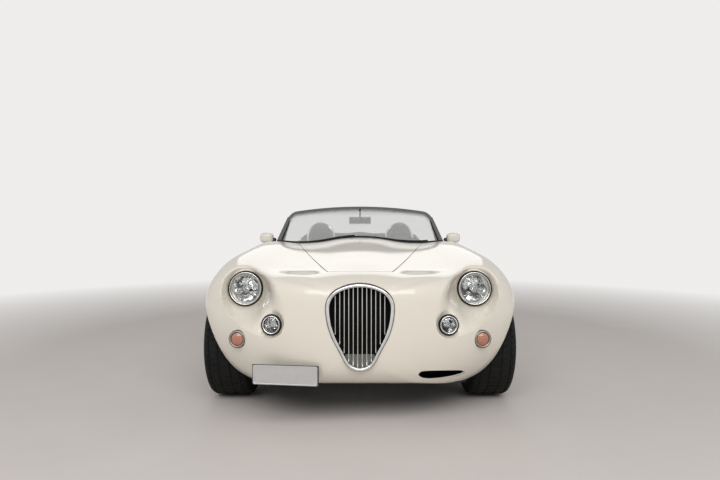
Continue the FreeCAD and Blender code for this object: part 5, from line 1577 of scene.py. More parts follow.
    def panel_piece(self, name: str, panel: Panel) -> None:
        """A bonnet or lid: the skin within the panel's outline, with a stiffening frame."""
        skin = self.skin(panel.front - 0.05, panel.rear + 0.05)
        p = skin.points
        skin = skin.clip(np.minimum(panel.level(p), p[:, 2] - 0.55))
        shell = skin.shell(0.0025)
        piece(name, shell, IVORY, body=name, slot="body_paint", replaces=(name,), crease=32)
        p = skin.points
        inner = skin.clip(0.052 - panel.level(p))
        base = Skin(inner.points - inner.normals * 0.003, inner.faces, inner.normals)
        piece(name + "_frame", base.shell(self.lid_wall - 0.003), IVORY, body=name, slot="body_paint",
              crease=32)

    def build_ledges(self) -> None:
        """The channels round the bonnet's and the lid's openings, with the rubber seal in each."""
        for name, panel in (("bonnet", self.bonnet), ("boot", self.lid)):
            skin = self.hull.grid(panel.front - 0.06, panel.rear + 0.06)
            p = skin.points
            level = panel.level(p)
            ring = skin.clip(np.minimum.reduce([level + 0.012, 0.026 - level, p[:, 2] - 0.55]))
            sunk = Skin(ring.points - UP * 0.0215, ring.faces, ring.normals)
            piece(f"{name}_channel", sunk.shell(THIN_WALL), IVORY, slot="body_paint")
            outline = resampled(panel.outline(-0.012), 220)
            z = self.hull.top(outline[:, 0], outline[:, 1]) - 0.0185
            path = np.column_stack([outline, z])
            seal = sweep(path, circle(0.004, 10, 0.8), closed=True)
            piece(f"{name}_seal", seal, SEAL, slot="black_plastic")
            rim = resampled(panel.outline(self.gap), OUTLINE_STEPS_FINE)
            top = self.hull.top(rim[:, 0], rim[:, 1])
            lip = np.stack([np.column_stack([rim, top - drop]) for drop in (0.0032, 0.022)])
            outer = np.stack([np.column_stack([resampled(panel.outline(self.gap + 0.002), OUTLINE_STEPS_FINE),
                                               top - drop]) for drop in (0.022, 0.0032)])
            wall = grid_skin(np.concatenate([lip, outer]), wrap_rows=True, wrap_columns=True)
            piece(f"{name}_return", facing_out(wall), IVORY, slot="body_paint")

    def build_doors(self) -> None:
        """The doors' outer skins and their inner cards."""
        for side in SIDES:
            name = f"door_{side.word}"
            skin = self.hull.grid(-0.33, 0.62)
            p = skin.points
            skin = skin.clip(np.minimum(self.door_level(p), p[:, 0]))
            outer = skin.shell(0.0045)
            card = self.door_card()
            body = Skin.joined([outer])
            if side is Side.RIGHT:
                body, card = body.mirrored(), card.mirrored()
            piece(name + "_skin", body, IVORY, body=name, slot="body_paint", replaces=(name,), crease=32)
            piece(name + "_card", card, HIDE, body=name, slot="dark_leather")

    def door_card(self) -> Skin:
        """The left door's inner box: its closed inner face, edges and foot, just inside the outer skin.

        The plan of the box follows the door's inner face and the arcs about the hinge at both ends; the
        outline is carried up from the bottom to the belt line.
        """
        hx, hy = self.hinge
        inner = self.door_inner
        reach = math.sqrt((self.door_reach - 0.001) ** 2 - (inner - hx) ** 2)
        n = 40
        y = np.linspace(hy + 0.001, hy + reach, n)
        rows = []
        levels = np.concatenate([np.linspace(self.door_bottom + 0.001, 0.40, 8), np.linspace(0.43, 1.0, 12)])
        for z in levels:
            outer_x = self.hull.side(y, np.minimum(z, 0.72)) - 0.006
            corner = max(0.0, self.door_corner - (z - self.door_bottom))
            cut = self.door_corner - math.sqrt(max(self.door_corner**2 - corner**2, 0.0))
            yy = np.minimum(y, hy + reach - cut - 0.001)
            face = np.column_stack([np.full(n, inner), yy])
            back = np.column_stack([outer_x, yy])[::-1]
            rows.append(np.column_stack([np.concatenate([face, back]), np.full(2 * n, z)]))
        points = np.array(rows)
        top = self.hull.top(points[..., 0], points[..., 1]) - 0.006
        points[..., 2] = np.minimum(points[..., 2], top)
        low = points[:1].copy()
        low[..., 0] = (inner + self.hull.side(0.2, 0.3)) / 2
        high = points[-1:].copy()
        return facing_out(grid_skin(np.concatenate([low, points, high]), wrap_columns=True))

    def build_liners(self) -> None:
        """Wheel wells, engine bay and boot box behind the skins."""
        for which, end in enumerate(("front", "rear")):
            self.build_well(which, end)
        half, front, rear = self.bay
        self.wall_box("engine_bay_liner", half, front, rear, 0.24, None, UNDERSEAL, open_low=True)
        half, front, rear = self.boot
        self.wall_box("boot_liner", half, front, rear, self.boot_floor, None, CARPET, open_low=False)

    def build_well(self, which: int, end: str) -> None:
        """The liners of one pair of wheel wells: a half drum about the axle, closed on its inner side.

        The drum is radius R at angles from a little under the sill, round over the tyre, and x runs from
        the inner wall to just inside the skin.
        """
        radius, x0, y0 = self.arch[which], self.well_x[which], self.axle_y[which]
        a = np.linspace(-0.62, np.pi + 0.62, 90)
        y = y0 + radius * np.cos(a)
        z = self.hub_z + radius * np.sin(a)
        edge = self.hull.side(y, np.clip(z, 0.17, 0.75)) - 0.004
        share = np.linspace(0, 1, 14)[:, None]
        x = x0 + (np.maximum(edge, x0 + 0.01) - x0)[None] * share
        drum = np.stack([x, np.broadcast_to(y, x.shape), np.broadcast_to(z, x.shape)], axis=2)
        r = np.linspace(0.0, 1.0, 10)[:, None]
        disc = np.stack(
            [np.full((10, 90), x0), y0 + r * radius * np.cos(a), self.hub_z + r * radius * np.sin(a)], axis=2
        )
        both = [grid_skin(drum), grid_skin(disc)]
        centre = np.array([x0 + 0.2, y0, self.hub_z])
        for k, skin in enumerate(both):
            if (skin.normals * (centre - skin.points)).sum() < 0:
                both[k] = skin.flipped()
        whole = Skin.joined([s.shell(THIN_WALL) for s in both])
        whole = whole.clip(whole.points[:, 2] - 0.152)
        for side in SIDES:
            made = whole if side is Side.LEFT else whole.mirrored()
            piece(f"{end}_well_{side.word}", made, UNDERSEAL, slot="chassis_black")

    def wall_box(
        self, name: str, half: float, front: float, rear: float, low: float, top: float | None,
        finish: Finish, open_low: bool
    ) -> None:
        """Four upright walls of a compartment, up to just under the skin, and its floor if it has one."""
        corner = 0.03
        plan = resampled(rounded_rectangle(2 * half, rear - front,
                                           corner) + np.array([0.0, (front + rear) / 2]), 160)
        roof = self.hull.top(plan[:, 0], plan[:, 1]) - 0.024 if top is None else np.full(len(plan), top)
        share = np.linspace(0, 1, 12)[:, None]
        z = low + (roof - low)[None] * share
        points = np.stack([np.broadcast_to(plan[:, 0], z.shape), np.broadcast_to(plan[:, 1], z.shape), z],
                          axis=2)
        if not open_low:
            shrink = np.linspace(0, 1, 10)[:, None, None]
            centre = np.array([0.0, (front + rear) / 2])
            floor = np.concatenate([centre + (plan - centre)[None] * shrink, np.full((10, 160, 1), low)],
                                   axis=2)
            points = np.concatenate([floor, points])
        skin = grid_skin(points, wrap_columns=True)
        toward = np.array([0.0, (front + rear) / 2, low + 0.3]) - skin.points
        if (skin.normals * toward).sum() < 0:
            skin = skin.flipped()
        piece(name, skin.shell(THIN_WALL), finish, slot="chassis_black" if open_low else "carpet")


@dataclass
class Grille:
    """The egg-shaped grille: a bright ring, twelve curved upright bars, mesh behind and a sill below."""

    top: float = 0.716
    wide: tuple[float, float] = (0.159, 0.602)
    knee: tuple[float, float] = (0.118, 0.440)
    bottom: float = 0.307
    ring: float = 0.019
    face: float = -1.930
    back: float = -1.858
    bars: int = 12
    pitch: float = 0.021
    bar_width: float = 0.0052
    bow: float = 0.006
    rail: float = 0.486
    sill: tuple[float, float] = (0.322, 0.377)

    def egg(self, grow: float = 0.0) -> Array:
        """The egg's outline as (x, z) points, larger all round by grow.

        Pairs of tangent arcs run from the top to the widest place and from the knee to the bottom, with
        one arc between them; the left half mirrors the right one.
        """
        share = np.linspace(0, 1, 16)
        top = np.array([[0.0, self.top + grow]])
        wide = np.array([[self.wide[0] + grow, self.wide[1]]])
        knee = np.array([[self.knee[0] + grow * 0.95, self.knee[1]]])
        bottom = np.array([[0.0, self.bottom - grow]])
        drop, narrow = self.wide[1] - self.knee[1], float(wide[0, 0] - knee[0, 0])
        sine = drop / ((drop * drop + narrow * narrow) / (2 * narrow))
        leaning = np.array([[-sine, -math.sqrt(1 - sine * sine)]])
        upper = along_biarc(top, np.array([[1.0, 0.0]]), wide, np.array([[0.0, -1.0]]), share)[0]
        middle = along_arc(wide, np.array([[0.0, -1.0]]), knee, share)[0]
        lower = along_biarc(knee, leaning, bottom, np.array([[-1.0, 0.0]]), share)[0]
        half = np.concatenate([upper, middle[1:], lower[1:]])
        return np.concatenate([half, half[1:-1][::-1] * np.array([-1.0, 1.0])])

    def ring_grid(self, stations: Sequence[tuple[float, float]], count: int = 220) -> Array:
        """Egg outlines at several (inset, place along the car) stations, one row for each."""
        rows = []
        for inset, y in stations:
            outline = resampled(self.egg(-inset), count)
            rows.append(np.column_stack([outline[:, 0], np.full(count, y), outline[:, 1]]))
        return np.array(rows)

    def build(self) -> None:
        """Builds the ring, the bars, the rails, the mesh and the sill behind the bars."""
        a = np.linspace(0, np.pi, 13)
        crown = [(0.008 - 0.008 * math.cos(t), self.face + 0.006 - 0.006 * math.sin(t)) for t in a]
        stations = [(0.0, self.back)] + crown + [(0.0165, self.face + 0.012), (0.019, self.face + 0.020),
                                                 (0.019, self.back)]
        ring = grid_skin(self.ring_grid(stations), wrap_rows=True, wrap_columns=True)
        piece("grille_ring", facing_out(ring), CHROME, slot="bright_chrome", replaces=("grille_frame",),
              crease=50)
        edge = [(-0.003, self.face + 0.013), (-0.0005, self.face + 0.010), (-0.0005, self.face + 0.021),
                (-0.003, self.face + 0.021)]
        gasket = grid_skin(self.ring_grid(edge), wrap_rows=True, wrap_columns=True)
        piece("grille_gasket", facing_out(gasket), SEAL, slot="black_plastic")
        self.build_bars()
        self.build_backing()

    def span(self, x: float) -> tuple[float, float]:
        """The lowest and highest place of a bar inside the ring."""
        outline = self.egg(-self.ring)
        right = outline[: len(outline) // 2 + 1]
        order = np.argsort(right[:, 1])
        heights = np.linspace(self.bottom + self.ring, self.top - self.ring, 900)
        widths = np.interp(heights, right[order, 1], right[order, 0])
        inside = heights[widths > abs(x) + self.bar_width / 2]
        return float(inside[0]) - 0.002, float(inside[-1]) + 0.002

    def build_bars(self) -> None:
        """Twelve bars of a drop-shaped section, bowed slightly forwards at their middle.

        A bar's centre line is y = front + bow times one less the square of the share from the middle.
        """
        section = smooth_profile(
            [(0.0, 0.0), (0.0019, -0.0014), (0.0025, -0.005), (0.0018, -0.013), (0.001, -0.0195),
             (0.0, -0.020)], 4
        )
        section = np.concatenate([section, section[1:-1][::-1] * np.array([-1.0, 1.0])])
        bars = []
        for number in range(self.bars):
            x = (number - (self.bars - 1) / 2) * self.pitch
            low, high = self.span(x)
            z = np.linspace(low, high, 28)
            share = (z - (low + high) / 2) / ((high - low) / 2)
            y = self.face + 0.010 + self.bow * share**2
            path = np.column_stack([np.full(len(z), x), y, z])
            bars.append(sweep(path, section, up=np.array([0.0, -1.0, 0.0])))
        piece("grille_bars", Skin.joined(bars), CHROME, slot="bright_chrome", replaces=("grille_bars",),
              crease=60)
        widths = self.egg(-self.ring)[:46]
        order = np.argsort(widths[:, 1])
        half = float(np.interp(self.rail, widths[order, 1], widths[order, 0]))
        front = self.face + 0.028
        rail = block((-half, front, self.rail - 0.003), (half, front + 0.006, self.rail + 0.003), 0.001)
        # The rail takes the same near-black painted shade as the grille's duct.
        piece("grille_rail", rail, SHADE_BLACK, slot="black_plastic")

    def build_backing(self) -> None:
        """Black mesh well behind the bars, the duct's walls and the sill under them, its pale grey darkened
        as painted shade.
        """
        wall = grid_skin(self.ring_grid([(0.019, self.back), (0.021, self.face + 0.150),
                                         (0.024, self.face + 0.150), (0.022, self.back)]), wrap_rows=True,
                                         wrap_columns=True)
        # The duct's near-black walls are painted shade.
        piece("grille_duct", facing_out(wall), SHADE_BLACK, slot="black_plastic")
        shrink = [(0.020, self.face + 0.058), (0.080, self.face + 0.058), (0.157, self.face + 0.058)]
        rows = self.ring_grid(shrink[:2])
        centre = np.broadcast_to(rows[1:].mean(axis=1, keepdims=True), rows[1:].shape)
        plate = grid_skin(np.concatenate([rows, centre]), wrap_columns=True)
        if plate.normals[:, 1].sum() > 0:
            plate = plate.flipped()
        piece("grille_mesh", plate.shell(THIN_WALL), GRILLE_MESH, slot="black_plastic")
        x, z = np.meshgrid(np.linspace(-0.11, 0.11, 90), np.linspace(*self.sill, 26))
        sill = grid_skin(np.stack([x, self.face + 0.046 + (z - self.sill[0]) * 0.15, z], axis=2))
        if sill.normals[:, 1].sum() > 0:
            sill = sill.flipped()
        sill = sill.clip(outline_level(sill.points[:, [0, 2]], self.egg(-self.ring)))
        # The sill's grey is darkened as painted shade.
        piece("grille_sill", sill.shell(0.004), SHADED_SILL_GREY, slot="black_plastic")


@dataclass
class Lamps:
    """All round lamps, at front and rear, each with a gasket, a bright bezel, a bowl and a lens.

    Attributes:
        ring: Width of the bright ring.
        glass_inset: How far the edge of glass and collar lies inside the lamp's radius.
    """

    hull: Hull
    ring: float = 0.007
    glass_inset: float = 0.0121

    def both(self, name: str, skins: Skin, finish: Finish, slot: str, **more: object) -> None:
        """Puts one side's mesh and its mirror image into one piece."""
        attributes = more.pop("attributes", None)
        pair = Skin.joined([skins, skins.mirrored()])
        doubled = {k: np.concatenate([v, v]) for k, v in attributes.items()} if attributes else None
        piece(name, pair, finish, slot=slot, attributes=doubled, **more)

    def bezel(self, site: LampSite, width: float, proud: float, back: float) -> Skin:
        """The bright ring round a lens: a rounded lip whose outer wall runs back into the body."""
        r = site.radius
        a = np.linspace(0, np.pi, 9)
        lip = [(proud * math.sin(t) * 0.6 + proud * 0.4, r - width / 2 + width / 2 * math.cos(t)) for t in a]
        profile = np.array([(-back, r), *lip, (-back, r - width), (-back, r)])
        return turned(profile, site.centre, site.look, TURN_FINEST)

    def bowl(self, site: LampSite, inner: float, depth: float) -> Skin:
        """A reflector: the radius falls from the rim to the middle of the floor as a parabola does."""
        s = np.linspace(0, 1, 9)
        profile = np.column_stack([-depth * (1 - s**2) * 0.85 - 0.004, inner * s])
        outer = profile[::-1] * np.array([1.0, 1.0]) + np.array([-0.003, 0.0])
        return turned(np.concatenate([profile, outer]), site.centre, site.look, 72)

    def dome(self, site: LampSite, radius: float, rise: float, wall: float = 0.003,
             base: float = 0.001) -> Skin:
        """A lens: a cap whose height over its rim falls with the square of the radius."""
        s = np.linspace(0, 1, 9)
        outer = np.column_stack([base + rise * (1 - s**2), radius * s])
        inner = np.column_stack([base + rise * (1 - s**2) - wall, radius * s])[::-1]
        return turned(np.concatenate([outer, inner]), site.centre, site.look, TURN_FINE)

    def projector(self, site: LampSite, off: Array, radius: float, at: float) -> tuple[Skin, Skin]:
        """A small projector in the bowl: its bright tube and its glass ball lens."""
        centre = site.centre + off
        tube = np.array(
            [(at - 0.030, radius * 0.8), (at - 0.002, radius), (at, radius), (at, radius * 0.84),
             (at - 0.01, radius * 0.8), (at - 0.03, 0.0)]
        )
        s = np.linspace(0, 1, 10)
        ball = np.column_stack([at - 0.006 + radius * 0.55 * np.sqrt(1 - s**2 * 0.96), radius * 0.82 * s])
        ball = np.concatenate([ball, [(at - 0.010, radius * 0.80), (at - 0.010, 0.0)]])
        return turned(tube, centre, site.look, TURN_COARSE), turned(ball, centre, site.look, TURN_COARSE)

    def across(self, site: LampSite) -> tuple[Array, Array]:
        """Two unit directions across a lamp: level and outwards, and upwards."""
        level = np.cross(UP, site.look)
        level /= np.linalg.norm(level)
        if level[0] < 0:
            level = -level
        return level, np.cross(level, site.look) * (1 if np.cross(level, site.look)[2] > 0 else -1)

    def front_lamp(
        self, name: str, site: LampSite, rise: float, pod: float, collar: float,
        spots: Sequence[tuple[float, float, float]]
    ) -> None:
        """A headlamp or driving lamp with its pod, gasket, bezel, collar, reflector, projectors and glass.

        Args:
            name: Start of the pieces' names.
            site: The lamp's place.
            rise: Height of the glass dome.
            pod: Outer radius of the pod behind the bezel.
            collar: The reflector's share of the lamp's radius; a pale collar lies outside it.
            spots: Projectors as (across, up, radius) in metres.
        """
        r = site.radius
        inner = LampSite(site.x, site.y, site.z, r - 0.0045, site.pitch, site.yaw)
        gasket = np.array([(-0.07, r - 0.0045), (0.003, r - 0.0045), (0.0045, r - 0.0025),
                           (0.003, r + 0.0018), (-0.07, r + 0.0018)])
        self.both(f"{name}_gasket", turned(np.concatenate([gasket, gasket[:1]]), site.centre, site.look,
                                           TURN_FINEST), SEAL, "black_plastic")
        outer = np.array([(-0.006, r + 0.0020), (-0.004, r + 0.0035), (-0.006, r + 0.0055), (-0.050, pod),
                          (-0.072, pod), (-0.072, r + 0.002), (-0.006, r + 0.0020)])
        self.both(f"{name}_pod", turned(outer, site.centre, site.look, TURN_FINEST), IVORY, "body_paint")
        self.both(f"{name}_bezel", self.bezel(inner, self.ring, 0.007, 0.05), CHROME, "bright_chrome",
                  replaces=(f"{name}s",))
        groove = np.array([(-0.02, r - 0.0115), (0.0, r - 0.0115), (0.0, r - self.glass_inset),
                           (-0.02, r - self.glass_inset),
                           (-0.02, r - 0.0115)])
        self.both(f"{name}_groove", turned(groove, site.centre, site.look, TURN_FINE), SEAL, "black_plastic")
        step = r * collar
        collars = np.array([(-0.002, r - self.glass_inset), (-0.006, step + 0.003), (-0.009, step),
                            (-0.014, step),
                            (-0.014, r - self.glass_inset), (-0.002, r - self.glass_inset)])
        self.both(f"{name}_collar", turned(collars, site.centre, site.look, TURN_FINE), COLLAR_PALE,
                  "bright_chrome")
        self.both(f"{name}_bowl", self.bowl(site, step, 0.055 if r > 0.06 else 0.038), REFLECTOR,
                  "bright_chrome")
        level, rise_way = self.across(site)
        tubes, balls = [], []
        for across, up, radius in spots:
            tube, ball = self.projector(site, level * across + rise_way * up, radius, -0.010)
            tubes.append(tube)
            balls.append(ball)
        self.both(f"{name}_tubes", Skin.joined(tubes), CHROME, "bright_chrome")
        self.both(f"{name}_balls", Skin.joined(balls), LAMP_GLASS, "lamp_glass")
        glass = self.dome(site, r - self.glass_inset, rise, base=0.0015)
        self.both(f"{name}_glass", glass, LAMP_GLASS, "lamp_glass", replaces=(f"{name}_lenses",))

    def simple_lamp(self, name: str, node: str, site: LampSite, finish: Finish, slot: str,
                    rise: float) -> None:
        """A small lamp: a rubber bed, a bright bezel, a bowl and a coloured lens."""
        r = site.radius
        pod = np.array([(-0.05, r + 0.0004), (-0.005, r + 0.0004), (-0.004, r - 0.001), (-0.004, r - 0.006),
                        (-0.05, r - 0.006), (-0.05, r + 0.0004)])
        self.both(f"{name}_pod", turned(pod, site.centre, site.look, TURN_MIDDLE), IVORY, "body_paint")
        bed = np.array([(-0.0045, r), (0.0015, r), (0.003, r - 0.002), (0.003, r - 0.006),
                        (-0.0045, r - 0.006), (-0.0045, r)])
        self.both(f"{name}_bed", turned(bed, site.centre, site.look, TURN_MIDDLE), SEAL, "black_plastic")
        ring = LampSite(site.x, site.y, site.z, r - 0.0025, site.pitch, site.yaw)
        wide = 0.0095
        self.both(f"{name}_bezel", self.bezel(ring, wide, 0.0075, 0.03), RING_BROWN, "bright_chrome",
                  replaces=(node,))
        inner = np.array([(-0.02, r - wide - 0.0020), (0.004, r - wide - 0.0020), (0.004, r - wide - 0.0045),
                          (-0.02, r - wide - 0.0045), (-0.02, r - wide - 0.0020)])
        self.both(f"{name}_groove", turned(inner, site.centre, site.look, TURN_MIDDLE), SEAL, "black_plastic")
        self.both(f"{name}_bowl", self.bowl(site, r - wide - 0.0040, 0.022), SATIN, "bright_chrome")
        self.both(f"{name}_lens", self.dome(site, r - wide - 0.0035, rise, 0.0025, 0.003), finish, slot)

    def build(self) -> None:
        """Builds every lamp on both sides."""
        spots = [(-0.004, 0.004, 0.019), (0.036, -0.012, 0.015), (-0.030, -0.026, 0.012),
                 (0.014, 0.034, 0.011)]
        self.front_lamp("headlamp", HEADLAMP, 0.024, 0.105, 0.74, spots)
        self.front_lamp("driving_lamp", DRIVING_LAMP, 0.009, 0.062, 0.70,
                        [(-0.007, 0.004, 0.015), (0.014, -0.006, 0.010)])
        self.simple_lamp("indicator", "indicators", INDICATOR, AMBER, "amber_lens", 0.009)
        self.simple_lamp("tail_lamp", "tail_lamps", TAIL_LAMP, RED, "red_lens", 0.012)
        self.simple_lamp("reverse_lamp", "reverse_lamps", REVERSE_LAMP, CLEAR_LENS, "clear_lens", 0.007)


def prism_skin(profile: Array, low: float, high: float, bulge: float = 0.0, rows: int = 9) -> Skin:
    """A closed (y, z) profile carried across the car, drawn in at both ends by a quarter circle.

    Args:
        profile: The closed outline.
        low: Smaller x.
        high: Larger x.
        bulge: Radius of the ends' rounding.
        rows: Sections along it.

    Returns:
        A closed mesh.
    """
    middle = (profile.max(axis=0) + profile.min(axis=0)) / 2
    reach = np.abs(profile - middle).max()
    a = np.linspace(0, np.pi / 2, 5)
    inset = np.concatenate([bulge * (1 - np.sin(a)), np.zeros(rows - 2), bulge * (1 - np.sin(a[::-1]))])
    x = np.concatenate(
        [low + bulge * (1 - np.cos(a)), np.linspace(low + bulge, high - bulge, rows)[1:-1],
         high - bulge * (1 - np.cos(a[::-1]))]
    )
    size = 1 - inset / reach
    points = np.stack(
        [
            np.broadcast_to(x[:, None], (len(x), len(profile))),
            middle[0] + (profile[None, :, 0] - middle[0]) * size[:, None],
            middle[1] + (profile[None, :, 1] - middle[1]) * size[:, None],
        ],
        axis=2,
    )
    return facing_out(grid_skin(capped(points), wrap_columns=True))


def rounded_profile(corners: Sequence[tuple[float, float, float]], steps: int = 6) -> Array:
    """A closed outline with round corners from (y, z, radius).

    Each corner is a quadratic curve between the points at the radius along its two edges.
    """
    p = np.array([c[:2] for c in corners], float)
    r = np.array([c[2] for c in corners])
    before, after = np.roll(p, 1, axis=0) - p, np.roll(p, -1, axis=0) - p
    before /= np.linalg.norm(before, axis=1, keepdims=True)
    after /= np.linalg.norm(after, axis=1, keepdims=True)
    t = np.linspace(0, 1, steps)[None, :, None]
    a, b = (p + before * r[:, None])[:, None], (p + after * r[:, None])[:, None]
    return ((1 - t) ** 2 * a + 2 * t * (1 - t) * p[:, None] + t * t * b).reshape(-1, 2)


def inflated(name: str, start: Skin, cap: float, pressure: float = 4.0, voxel: float = 0.0095) -> Skin:
    """Swells a pad as cloth under pressure, holds every point near where it began, and smooths it once.

    Args:
        name: Name of the scratch object.
        start: The pad's slightly smaller starting form.
        cap: How far a point may move, in metres.
        pressure: Gas pressure inside the cloth.
        voxel: Size of the even remesh.
    """
    scene = bpy.context.scene
    mesh = bpy.data.meshes.new(name)
    mesh.from_pydata(start.points.tolist(), [], start.faces.tolist())
    mesh.remesh_voxel_size = voxel
    obj = bpy.data.objects.new(name, mesh)
    scene.collection.objects.link(obj)
    remesh = obj.modifiers.new("even", "REMESH")
    remesh.mode = "VOXEL"
    remesh.voxel_size = voxel
    graph = bpy.context.evaluated_depsgraph_get()
    even = bpy.data.meshes.new_from_object(obj.evaluated_get(graph))
    obj.modifiers.clear()
    obj.data = even
    count = len(even.vertices)
    before = np.empty(count * 3, np.float32)
    even.vertices.foreach_get("co", before)
    cloth = obj.modifiers.new("swell", "CLOTH")
    cloth.settings.use_pressure = True
    cloth.settings.uniform_pressure_force = pressure
    cloth.settings.effector_weights.gravity = 0.0
    cloth.settings.quality = 4
    cloth.point_cache.frame_start = 1
    cloth.point_cache.frame_end = 20
    for number in range(1, 21):
        scene.frame_set(number)
    graph = bpy.context.evaluated_depsgraph_get()
    after = np.empty(count * 3, np.float32)
    obj.evaluated_get(graph).data.vertices.foreach_get("co", after)
    scene.frame_set(1)
    before, after = before.reshape(-1, 3).astype(float), after.reshape(-1, 3).astype(float)
    step = after - before
    length = np.linalg.norm(step, axis=1, keepdims=True)
    moved_to = before + step / np.maximum(length, 1e-9) * (cap * np.tanh(length / cap))
    obj.modifiers.clear()
    even.vertices.foreach_set("co", moved_to.astype(np.float32).ravel())
    smooth = obj.modifiers.new("smooth", "SUBSURF")
    smooth.levels = smooth.render_levels = 1
    graph = bpy.context.evaluated_depsgraph_get()
    fine = obj.evaluated_get(graph).data
    fine.calc_loop_triangles()
    points = np.empty(len(fine.vertices) * 3, np.float32)
    fine.vertices.foreach_get("co", points)
    faces = np.empty(len(fine.loop_triangles) * 3, np.int32)
    fine.loop_triangles.foreach_get("vertices", faces)
    result = Skin.of(points.reshape(-1, 3).astype(float), faces.reshape(-1, 3))
    bpy.data.objects.remove(obj)
    bpy.data.meshes.remove(even)
    bpy.data.meshes.remove(mesh)
    return result


@dataclass
class Seats:
    """Two bucket seats: padded cushion, back, side bolsters and domed head restraint on a hard shell.

    Attributes:
        x: Middle of the left seat.
        half: Half its width.
        channels: Number of sewn channels across the cushion and the back.
    """

    x: float = 0.372
    half: float = 0.232
    bolster: float = 0.056
    channels: int = 5
    groove: float = 0.006
    floor: float = 0.174
    dome_z: float = 0.945
    dome_r: float = 0.105

    def pad(self, corners: Sequence[tuple[float, float, float]], low: float, high: float,
            rows: int = 14) -> Skin:
        """A pad from its side view and its place across the seat, in the left seat's frame."""
        return prism_skin(rounded_profile(corners), low, high, 0.022, rows)

    def grooved(self, skin: Skin, low: float, high: float, front: Callable[[Array], Array]) -> Skin:
        """Sinks sewn channels that run along the pad.

        The depth is the groove's depth times a narrow bell of the distance to the nearest seam.
        """
        width = (high - low) / self.channels
        at = (skin.points[:, 0] - low) / width
        away = np.abs(at - np.round(at)) * width
        inside = (np.round(at) > 0.5) & (np.round(at) < self.channels - 0.5)
        depth = self.groove * np.exp(-((away / 0.0055) ** 2)) * inside * front(skin.points)
        return Skin.of(skin.points - skin.normals * depth[:, None], skin.faces)

    def build(self) -> None:
        """Builds the left seat's pads once and puts them into both seats."""
        inner = self.half - self.bolster - 0.003
        low, high = -inner, inner
        cushion = self.pad(
            [(-0.055, 0.24, 0.03), (-0.076, 0.300, 0.035), (-0.045, 0.340, 0.035), (0.36, 0.300, 0.03),
             (0.40, 0.26, 0.03), (0.38, 0.215, 0.02)],
            low, high,
        )
        back = self.pad(
            [(0.412, 0.300, 0.03), (0.425, 0.345, 0.03), (0.478, 0.800, 0.05), (0.512, 0.872, 0.035),
             (0.552, 0.862, 0.03), (0.512, 0.30, 0.03)],
            low, high,
        )
        head = self.pad(
            [(0.508, 0.880, 0.02), (0.498, 0.940, 0.03), (0.512, 1.020, 0.03), (0.548, 1.042, 0.03),
             (0.586, 1.010, 0.03), (0.592, 0.88, 0.02)],
            -0.094, 0.094,
        )
        rise = np.clip((head.points[:, 2] - self.dome_z) / self.dome_r, 0.0, 0.96)
        head.points[:, 0] *= np.sqrt(1.0 - rise**2)
        soft = {
            "cushion": (self.grooved(inflated("cushion", cushion, 0.012), low, high,
                                     lambda p: (p[:, 2] > 0.27) * 1.0), 0.75),
            "back": (self.grooved(inflated("back", back, 0.012), low, high, lambda p: (p[:, 1] < 0.50) * 1.0),
                     0.75),
            "head": (inflated("head", head, 0.010), 0.85),
        }
        for side in (-1.0, 1.0):
            x0 = side * (self.half - self.bolster / 2)
            soft[f"bolster_{'outer' if side > 0 else 'inner'}"] = (inflated("bolster", self.bolster_pad(x0),
                0.008), 0.9)
        for side in SIDES:
            for name, (skin, fill) in soft.items():
                turned_skin = skin if side is Side.LEFT else skin.mirrored()
                placed = Skin(turned_skin.points + np.array([side.value * self.x, 0, 0]), turned_skin.faces,
                              turned_skin.normals)
                node = (f"seat_{side.word}",) if name == "cushion" else ()
                obj = piece(f"seat_{side.word}_{name}", placed, HIDE, slot="dark_leather", replaces=node,
                            crease=60)
            self.build_shell(side)
            self.build_piping(side)

    def bolster_pad(self, x0: float) -> Skin:
        """A side bolster: an egg-shaped section carried along the edge of cushion and back."""
        path = smooth_profile(
            [(-0.030, 0.235), (-0.022, 0.305), (0.03, 0.345), (0.20, 0.342), (0.335, 0.345), (0.405, 0.42),
             (0.452, 0.60), (0.492, 0.755), (0.520, 0.822)], CURVE_STEPS
        )
        points = np.column_stack([np.full(len(path), x0), path])
        share = np.linspace(0, 1, len(path))
        size = np.clip(np.minimum(share, 1 - share) / 0.06, 0.0, 1.0) ** 0.5 * 0.28 + 0.72
        section = smooth_profile([(0.026, 0.0), (0.020, 0.034), (0.0, 0.043), (-0.020, 0.034), (-0.026, 0.0),
                                  (-0.024, -0.040), (0.024, -0.040), (0.026, 0.0)], 3)[:-1]
        normal = np.column_stack([np.zeros(len(path)), -np.gradient(path[:, 1]), np.gradient(path[:, 0])])
        return sweep(points, section, up=normal, scale=size)

    def build_shell(self, side: Side) -> None:
        """The seat's hard back shell and its plinth on the floor."""
        x = side.value * self.x
        shell = rounded_profile(
            [(0.440, 0.215, 0.01), (0.520, 0.235, 0.02), (0.568, 0.800, 0.03), (0.560, 0.835, 0.02),
             (0.535, 0.825, 0.01), (0.500, 0.300, 0.01)]
        )
        back = prism_skin(shell, x - self.half + 0.004, x + self.half - 0.004, 0.012)
        base = block((x - self.half + 0.02, -0.03, self.floor + 0.022), (x + self.half - 0.02, 0.46, 0.262),
                     0.02)
        rails = [block((x + o - 0.016, -0.02, self.floor), (x + o + 0.016, 0.44, self.floor + 0.024),
                       EDGE_ROUND) for o in (-0.16, 0.16)]
        piece(f"seat_{side.word}_shell", Skin.joined([back, base]), HIDE, slot="dark_leather")
        piece(f"seat_{side.word}_rails", Skin.joined(rails), SATIN, slot="frame_black")

